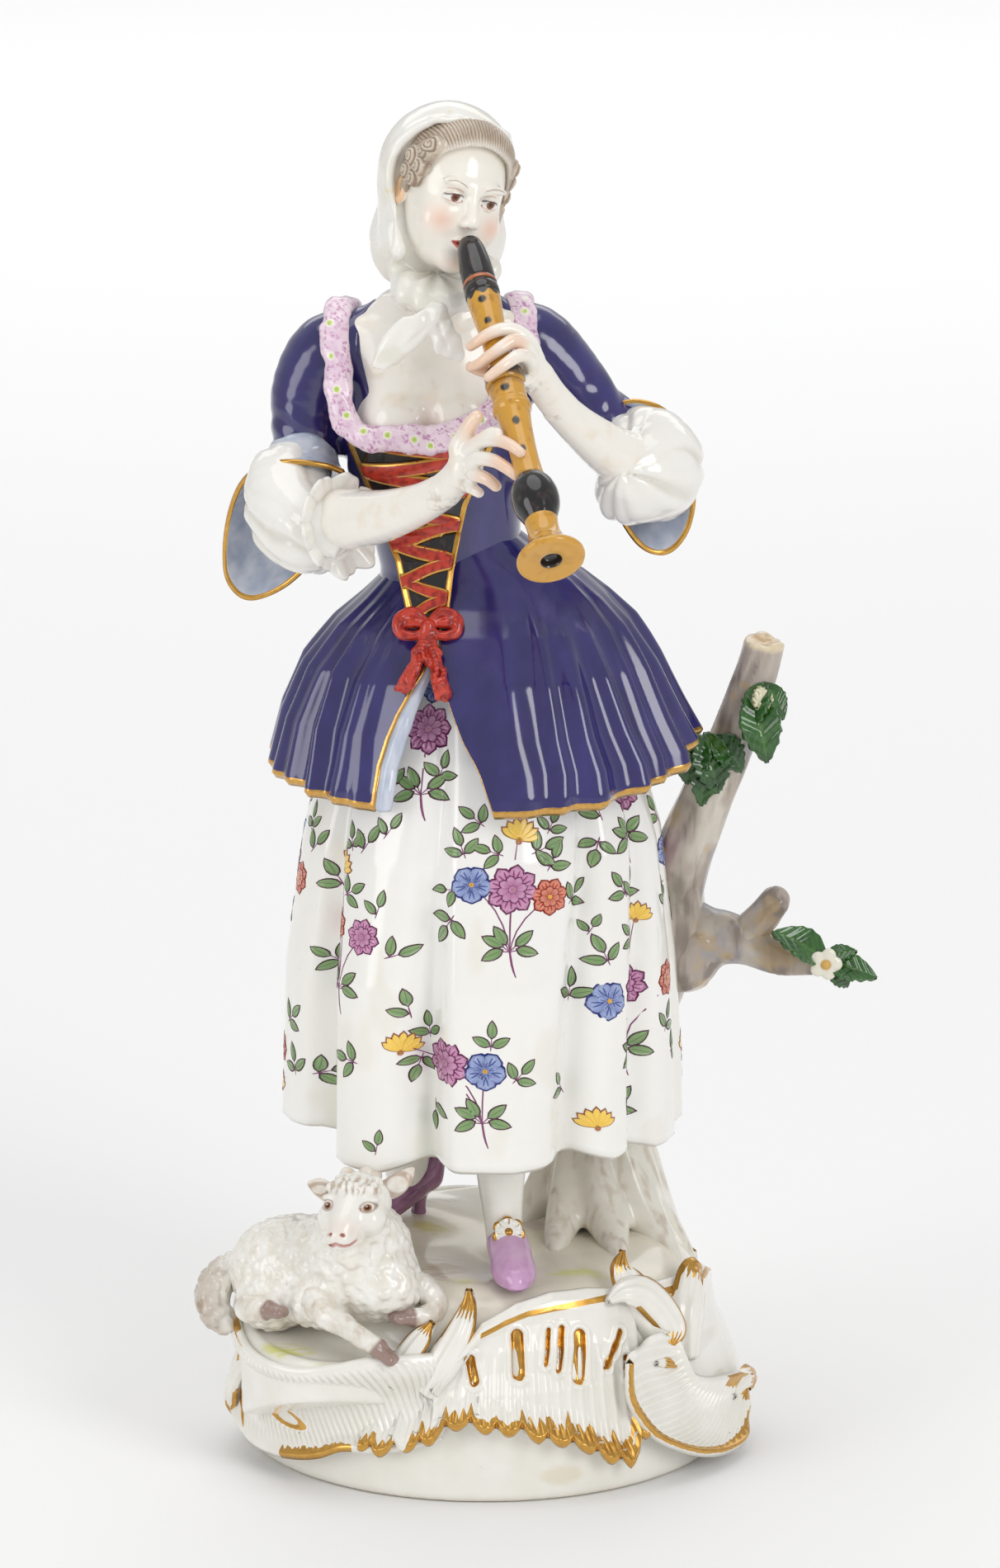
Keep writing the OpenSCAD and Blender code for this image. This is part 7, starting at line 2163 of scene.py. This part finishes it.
for s in (-1, 1):
    eye = h - vec(s * 4.2, -4.8, 0.5)
    d = np.hypot(eye[:, 0] * np.cos(0.2) * 0.8, eye[:, 2])
    front = h[:, 1] < -2.8
    lid = np.abs(np.hypot(eye[:, 0] * 0.72, eye[:, 2] - 0.1) - 0.95)
    col = blend(col, linear(120, 84, 60), front * ease(1.05 - lid * 2.6, 0.4, 1) * 0.7)
    col = blend(col, linear(150, 92, 48), front * ease(0.78 - d, 0, 0.2))
    col = blend(col, linear(24, 18, 16), front * ease(0.46 - d, 0, 0.16))
    # Painted highlight: a small white glint on each pupil.
    col = blend(col, linear(240, 238, 234),
                front * ease(0.16 - np.hypot(eye[:, 0] + 0.2, eye[:, 2] - 0.22), 0, 0.06))
    col = blend(col, linear(196, 70, 50),
                front * ease(0.24 - np.hypot(eye[:, 0] + s * 1.1, eye[:, 2] + 0.2), 0, 0.12) * 0.7)
    nostril = np.linalg.norm((h - vec(s * 1.2 - 0.3, -10, -4.3)) / vec(0.8, 1.2, 0.5), axis=1)
    col = blend(col, linear(214, 134, 116), ease(0.95 - nostril, 0, 0.4) * 0.6)
mouth = near(h, [(-3.3, -7.4, -6), (-1.6, -9.8, -6.5), (-0.3, -10.6, -6.2), (1.2, -9.8, -6.5),
                 (3.4, -7, -5.6)])
col = blend(col, linear(176, 66, 40), ease(0.62 - mouth, 0, 0.35) * 0.85)
piece("lamb_smiling_head", (p, q), MAT["wool"], ["lamb_head"], col)

clay = Clay((-42, -46, 54), (-8, -28, 70), 0.26)
clay.tube([(-30.6, -36.4, 60), (-32.2, -37, 61.4), (-34, -37.4, 62.2)], [1.9, 1.8, 0.8],
          flat=((-0.3, -1, 0.4), 0.5), steps=14)
clay.egg((-32.4, -38, 61.2), (1.7, 0.5, 0.9), k=0.3, rot=turn(y=-30, z=10), cut=True)
clay.tube([(-21, -36.4, 60), (-18, -37, 61.4), (-15.9, -36.6, 63), (-14.2, -35.4, 64.6)],
          [1.6, 2.2, 1.8, 0.6], flat=((0.2, -1, 0.5), 0.42), steps=20)
clay.egg((-17.1, -38, 62.2), (2.8, 0.7, 1.0), k=0.4, rot=turn(y=-40, z=8), cut=True)
for x, y, z in ((-23.2, -33.6, 63.4), (-21.6, -33, 62.6), (-27, -33, 63)):
    clay.egg((x, y, z), (1.5, 1.4, 1.3), k=0.5)
clay.tube([(-30.8, -36, 60), (-27, -34, 61.6), (-23, -34, 61.8), (-20, -36, 60)], [1, 1.4, 1.4, 1], k=0.8,
          steps=16)
p, q = clay.mesh(1)
col = blend(WHITE, linear(196, 168, 136), 0.3 + 0.3 * fbm(p * 0.5))
dish = np.minimum(np.linalg.norm((p - vec(-17.1, -37.6, 62.2)) / vec(2.4, 1.6, 1.9), axis=1),
                  np.linalg.norm((p - vec(-32.4, -37.6, 61.2)) / vec(1.8, 1.2, 1), axis=1))
col = blend(col, linear(150, 112, 84), ease(1.5 - np.abs(dish - 1.2) * 3, 0, 1) * 0.6)
piece("lamb_pointed_ears", (p, q), MAT["wool"], ["lamb_ears"], col)

clay = Clay((-60, -32, 26), (-44, -14, 44), 0.32)
clay.tube([(-48, -20, 39.6), (-50.6, -21, 39), (-53.2, -22.6, 37.4), (-54.2, -24.4, 34.8), (-53.4, -26, 32),
           (-51.6, -27, 30)],
          [3.2, 3.2, 3.2, 3.1, 2.9, 2.0], steps=24)
fleece(clay, 1.7, 0.6)
p, q = clay.mesh(1)
piece("lamb_woolly_tail", (p, q), MAT["wool"], ["lamb_tail"],
      blend(wool(p, q), linear(150, 124, 98),
            ease(-p[:, 0], 50.5, 54.5) * 0.5 + ease(fbm(p * 0.6), 0, 0.8) * 0.3))


def lamb_leg(name, node, lo, hi, line, radii, hoof):
    """A bent foreleg with a cloven hoof at its end."""
    c = Clay(lo, hi, 0.26)
    c.tube(line, radii, steps=26)
    a, b = np.array(line[-1], float), np.array(hoof, float)
    across = unit(np.cross(b - a, vec(0, 0, 1)))
    for s in (-1, 1):
        c.tube([a - unit(b - a) * 0.6 + across * s * 0.7, b + across * s * 0.85],
               [radii[-1] * 0.72, radii[-1] * 0.6], k=0.25)
    c.relief(lambda p: 0.16 * fbm(p * 0.8, 2))
    p, q = c.mesh(1)
    t = (p - a) @ unit(b - a)
    near_hoof = np.linalg.norm(p - (a + b) / 2, axis=1) < 5.5
    col = blend(WHITE, linear(206, 194, 172), 0.35 + 0.4 * fbm(p * 0.45))
    col = blend(col, linear(186, 160, 136), ease(fbm(p * vec(0.6, 0.6, 0.2) + 4), 0.3, 0.9) * 0.4)
    col = blend(col, linear(152, 128, 118), near_hoof * ease(t, -1.0, 0.0))
    piece(name, (p, q), MAT["wool"], [node], col)


lamb_leg("lamb_foreleg_stretched", "lamb_stretched_leg", (-38, -54, 25), (-12, -36, 44),
         [(-33, -39.5, 38.6), (-31, -43, 37.2), (-27.7, -45.4, 35.9), (-24.6, -47, 34.2), (-21, -47.8, 32)],
         [3.3, 2.9, 2.4, 2.0, 2.0], (-18.2, -48.8, 29.8))
lamb_leg("lamb_foreleg_folded", "lamb_folded_leg", (-24, -50, 30), (-4, -28, 46),
         [(-15, -35, 41), (-11.4, -35.4, 39.6), (-9.4, -37, 36.8), (-11.6, -40, 35.9), (-14.4, -41.2, 36)],
         [3.2, 2.7, 2.4, 2.1, 1.9], (-17.4, -42.4, 36.2))
lamb_leg("lamb_hind_hoof", "lamb_hind_leg", (-52, -50, 30), (-32, -30, 44),
         [(-46.4, -35, 35.8), (-44.2, -38, 36.6), (-42.4, -40, 37.2)], [3.0, 2.6, 1.9], (-40, -42, 37.2))

# ---- Legs and shoes -----------------------------------------------------------------------


def stocking(name, node, lo, hi, line, radii):
    c = Clay(lo, hi, 0.35).tube(line, radii, steps=24)
    p, q = c.mesh(1)
    piece(name, (p, q), MAT["white"], [node], blend(WHITE, IVORY, 0.4 + 0.3 * fbm(p * 0.3)))


stocking("left_stocking_leg", "left_leg", (-8, -34, 40), (14, -8, 78),
         [(3.2, -18, 76), (3.1, -19, 66), (3.2, -20.4, 58), (3.6, -21.6, 50), (4, -23, 45)],
         [6, 5.5, 4.7, 3.8, 3.6])
stocking("right_stocking_leg", "right_leg", (-30, -6, 44), (-4, 16, 78),
         [(-15, 5.4, 76), (-15.8, 5.2, 66), (-16, 5, 56), (-16, 4.4, 49)], [6, 5.6, 5, 3.6])

clay = Clay((-6, -45, 36), (16, -12, 54), 0.26)
clay.tube([(4.2, -19.5, 45), (4.6, -25, 45.6), (5.3, -30, 44.2), (6, -35, 42.6), (6.3, -37.6, 41.8)],
          [4.0, 4.3, 4.2, 3.5, 2.3], flat=((0, 0.25, 1), 0.82), k=0.5, steps=24)
clay.egg((5.7, -32.6, 42.6), (4.2, 6, 2.6), k=1.6, rot=turn(z=8))
clay.tube([(4, -18.6, 45), (4, -18.8, 39)], [3, 2.6], k=1)
clay.slab((0, 0, 40.2), (0, 0, -1), 0.5)
clay.egg((3.8, -20.4, 50.4), (3.4, 4.4, 3.2), k=0.8, cut=True)
clay.relief(lambda p: 0.12 * np.exp(-((p[:, 2] - 41.2) / 0.35) ** 2))
p, q = clay.mesh(1)
col = blend(linear(206, 164, 200), linear(184, 134, 180), 0.4 + 0.5 * fbm(p * 0.5))
# Painted light: the shoe turns paler lilac towards its top, where light from above falls.
col = blend(col, linear(226, 190, 220), ease(p[:, 2], 43.5, 46.5) * 0.4)
col = blend(col, linear(130, 76, 128), ease(41.3 - p[:, 2], 0, 0.5) * 0.8)
piece("left_lilac_shoe", (p, q), MAT["frill"], ["left_shoe"], col)

clay = Clay((-34, -10, 36), (-4, 16, 58), 0.3)
clay.tube([(-11.6, 6.4, 51.4), (-14.4, 4.6, 49.2), (-18.6, 2.4, 46.2), (-23, 0.4, 43.6),
           (-27.6, -1.8, 42.2)], [3.0, 3.4, 3.3, 2.9, 1.7], k=0.5, steps=24)
clay.tube([(-12.2, 6.4, 50), (-13, 6.8, 46.6), (-13.4, 7.4, 44), (-13.6, 7.8, 41.4)], [2.6, 1.5, 1.35, 1.7],
          k=1.2, steps=14)
clay.tube([(-11.4, 6.6, 50), (-10.6, 6.2, 53.6)], [2.9, 2.6], k=0.8)
clay.egg((-15.2, 4.8, 55), (3.9, 4.2, 4.4), k=0.8, cut=True)
p, q = clay.mesh(1)
piece("right_mauve_shoe", (p, q), MAT["frill"], ["right_shoe"],
      blend(linear(160, 112, 146), linear(118, 74, 108), 0.5 + 0.6 * fbm(p * 0.4)))

clay = Clay((-2, -33, 44), (12, -20, 56), 0.17)
ROSE = unit(vec(0.1, -0.9, 0.5))
ROSE_X = unit(np.cross(ROSE, vec(0, 0, 1)))
ROSE_Y = np.cross(ROSE_X, ROSE)
ROSE_TURN = np.column_stack([ROSE_X, np.cross(ROSE, ROSE_X), ROSE])
ROSE_AT = vec(4.7, -27.4, 49)
for k in range(7):
    a = 2 * np.pi * k / 7 + 0.3
    c = ROSE_AT + 2.15 * (math.cos(a) * ROSE_X - math.sin(a) * ROSE_Y)
    clay.egg(c, (1.25, 1.25, 0.75), k=0.15, rot=ROSE_TURN)
    clay.egg(c + ROSE * 0.75, (0.6, 0.6, 0.35), k=0.2, rot=ROSE_TURN, cut=True)
clay.egg(ROSE_AT - ROSE * 0.6, (2.6, 2.6, 1.3), k=0.3, rot=ROSE_TURN)
clay.egg(ROSE_AT + ROSE * 0.45, (0.8, 0.8, 0.6), k=0.1)
p, q = clay.mesh(1)
d = p - ROSE_AT
r = np.linalg.norm(d - (d @ ROSE)[:, None] * ROSE, axis=1)
gilt = np.clip(0.5 + np.maximum(r - 2.75, 0.85 - r) * 3, 0, 1)
between = np.abs(np.sin(3.5 * np.arctan2(d @ ROSE_Y, d @ ROSE_X) + 0.5)) < 0.2
gilt = np.maximum(gilt, 0.62 * between * (r > 1.2))
piece("gilt_shoe_rosette", (p, q), MAT["white"], ["shoe_rosette"], blend(WHITE, IVORY, 0.4),
      gilt)


# ---- Floor, light and camera --------------------------------------------------------------


FLOOR_HALF = 3.0
PAPER = (0.93, 0.93, 0.93, 1)
SKY_STRENGTH = 0.55
MIDDLE = (0, 0, 0.14)
# Lamps: name, place, the point it faces, size and power.
LAMPS = [("key", (0.95, -1.15, 0.85), MIDDLE, (0.7, 1.0), 8.0),
         ("fill", (-1.25, -0.9, 0.55), MIDDLE, (0.8, 1.1), 5.4),
         ("top", (-0.1, 0.1, 1.5), MIDDLE, (1.2, 1.2), 5.0),
         ("sweep", (0, 2.0, 1.3), (0, 2.2, 0), (3.0, 2.0), 16.0)]
LENS = 150.2
CAMERA_UP = math.radians(14)
CAMERA_AWAY = 1.3
CAMERA_TARGET = vec(0.003, 0, 0.1336)


def place(name, data, at, target):
    """Adds a lamp or camera that stands at one point and faces another."""
    o = bpy.data.objects.new(name, data)
    bpy.context.collection.objects.link(o)
    o.location = at
    o.rotation_euler = (Vector(target) - Vector(at)).to_track_quat("-Z", "Y").to_euler()
    return o


def sky():
    world = bpy.data.worlds.new("studio")
    bpy.context.scene.world = world
    world.use_nodes = True
    background = world.node_tree.nodes["Background"]
    background.inputs["Color"].default_value = (1, 1, 1, 1)
    background.inputs["Strength"].default_value = SKY_STRENGTH


def ground():
    s = FLOOR_HALF
    me = bpy.data.meshes.new("floor")
    me.from_pydata([(-s, -s, 0), (s, -s, 0), (s, s, 0), (-s, s, 0)], [], [(0, 1, 2, 3)])
    me.update()
    floor = bpy.data.objects.new("floor", me)
    bpy.context.collection.objects.link(floor)
    paper = bpy.data.materials.new("paper")
    paper.use_nodes = True
    surface = paper.node_tree.nodes["Principled BSDF"]
    surface.inputs["Base Color"].default_value = PAPER
    surface.inputs["Roughness"].default_value = 0.9
    surface.inputs["Specular IOR Level"].default_value = 0.1
    me.materials.append(paper)


def lamps():
    for name, at, target, size, power in LAMPS:
        lamp = bpy.data.lights.new(name, "AREA")
        lamp.shape = "ELLIPSE"
        lamp.size, lamp.size_y = size
        lamp.energy = power
        place(name, lamp, at, target)


def camera():
    cam = bpy.data.cameras.new("camera")
    cam.sensor_fit = "VERTICAL"
    cam.sensor_height = 36
    cam.lens = LENS
    cam.clip_start, cam.clip_end = 0.05, 20
    at = CAMERA_TARGET + CAMERA_AWAY * vec(0, -math.cos(CAMERA_UP), math.sin(CAMERA_UP))
    bpy.context.scene.camera = place("camera", cam, tuple(at), tuple(CAMERA_TARGET))


sky()
ground()
lamps()
camera()
bpy.context.scene.view_settings.view_transform = "Standard"
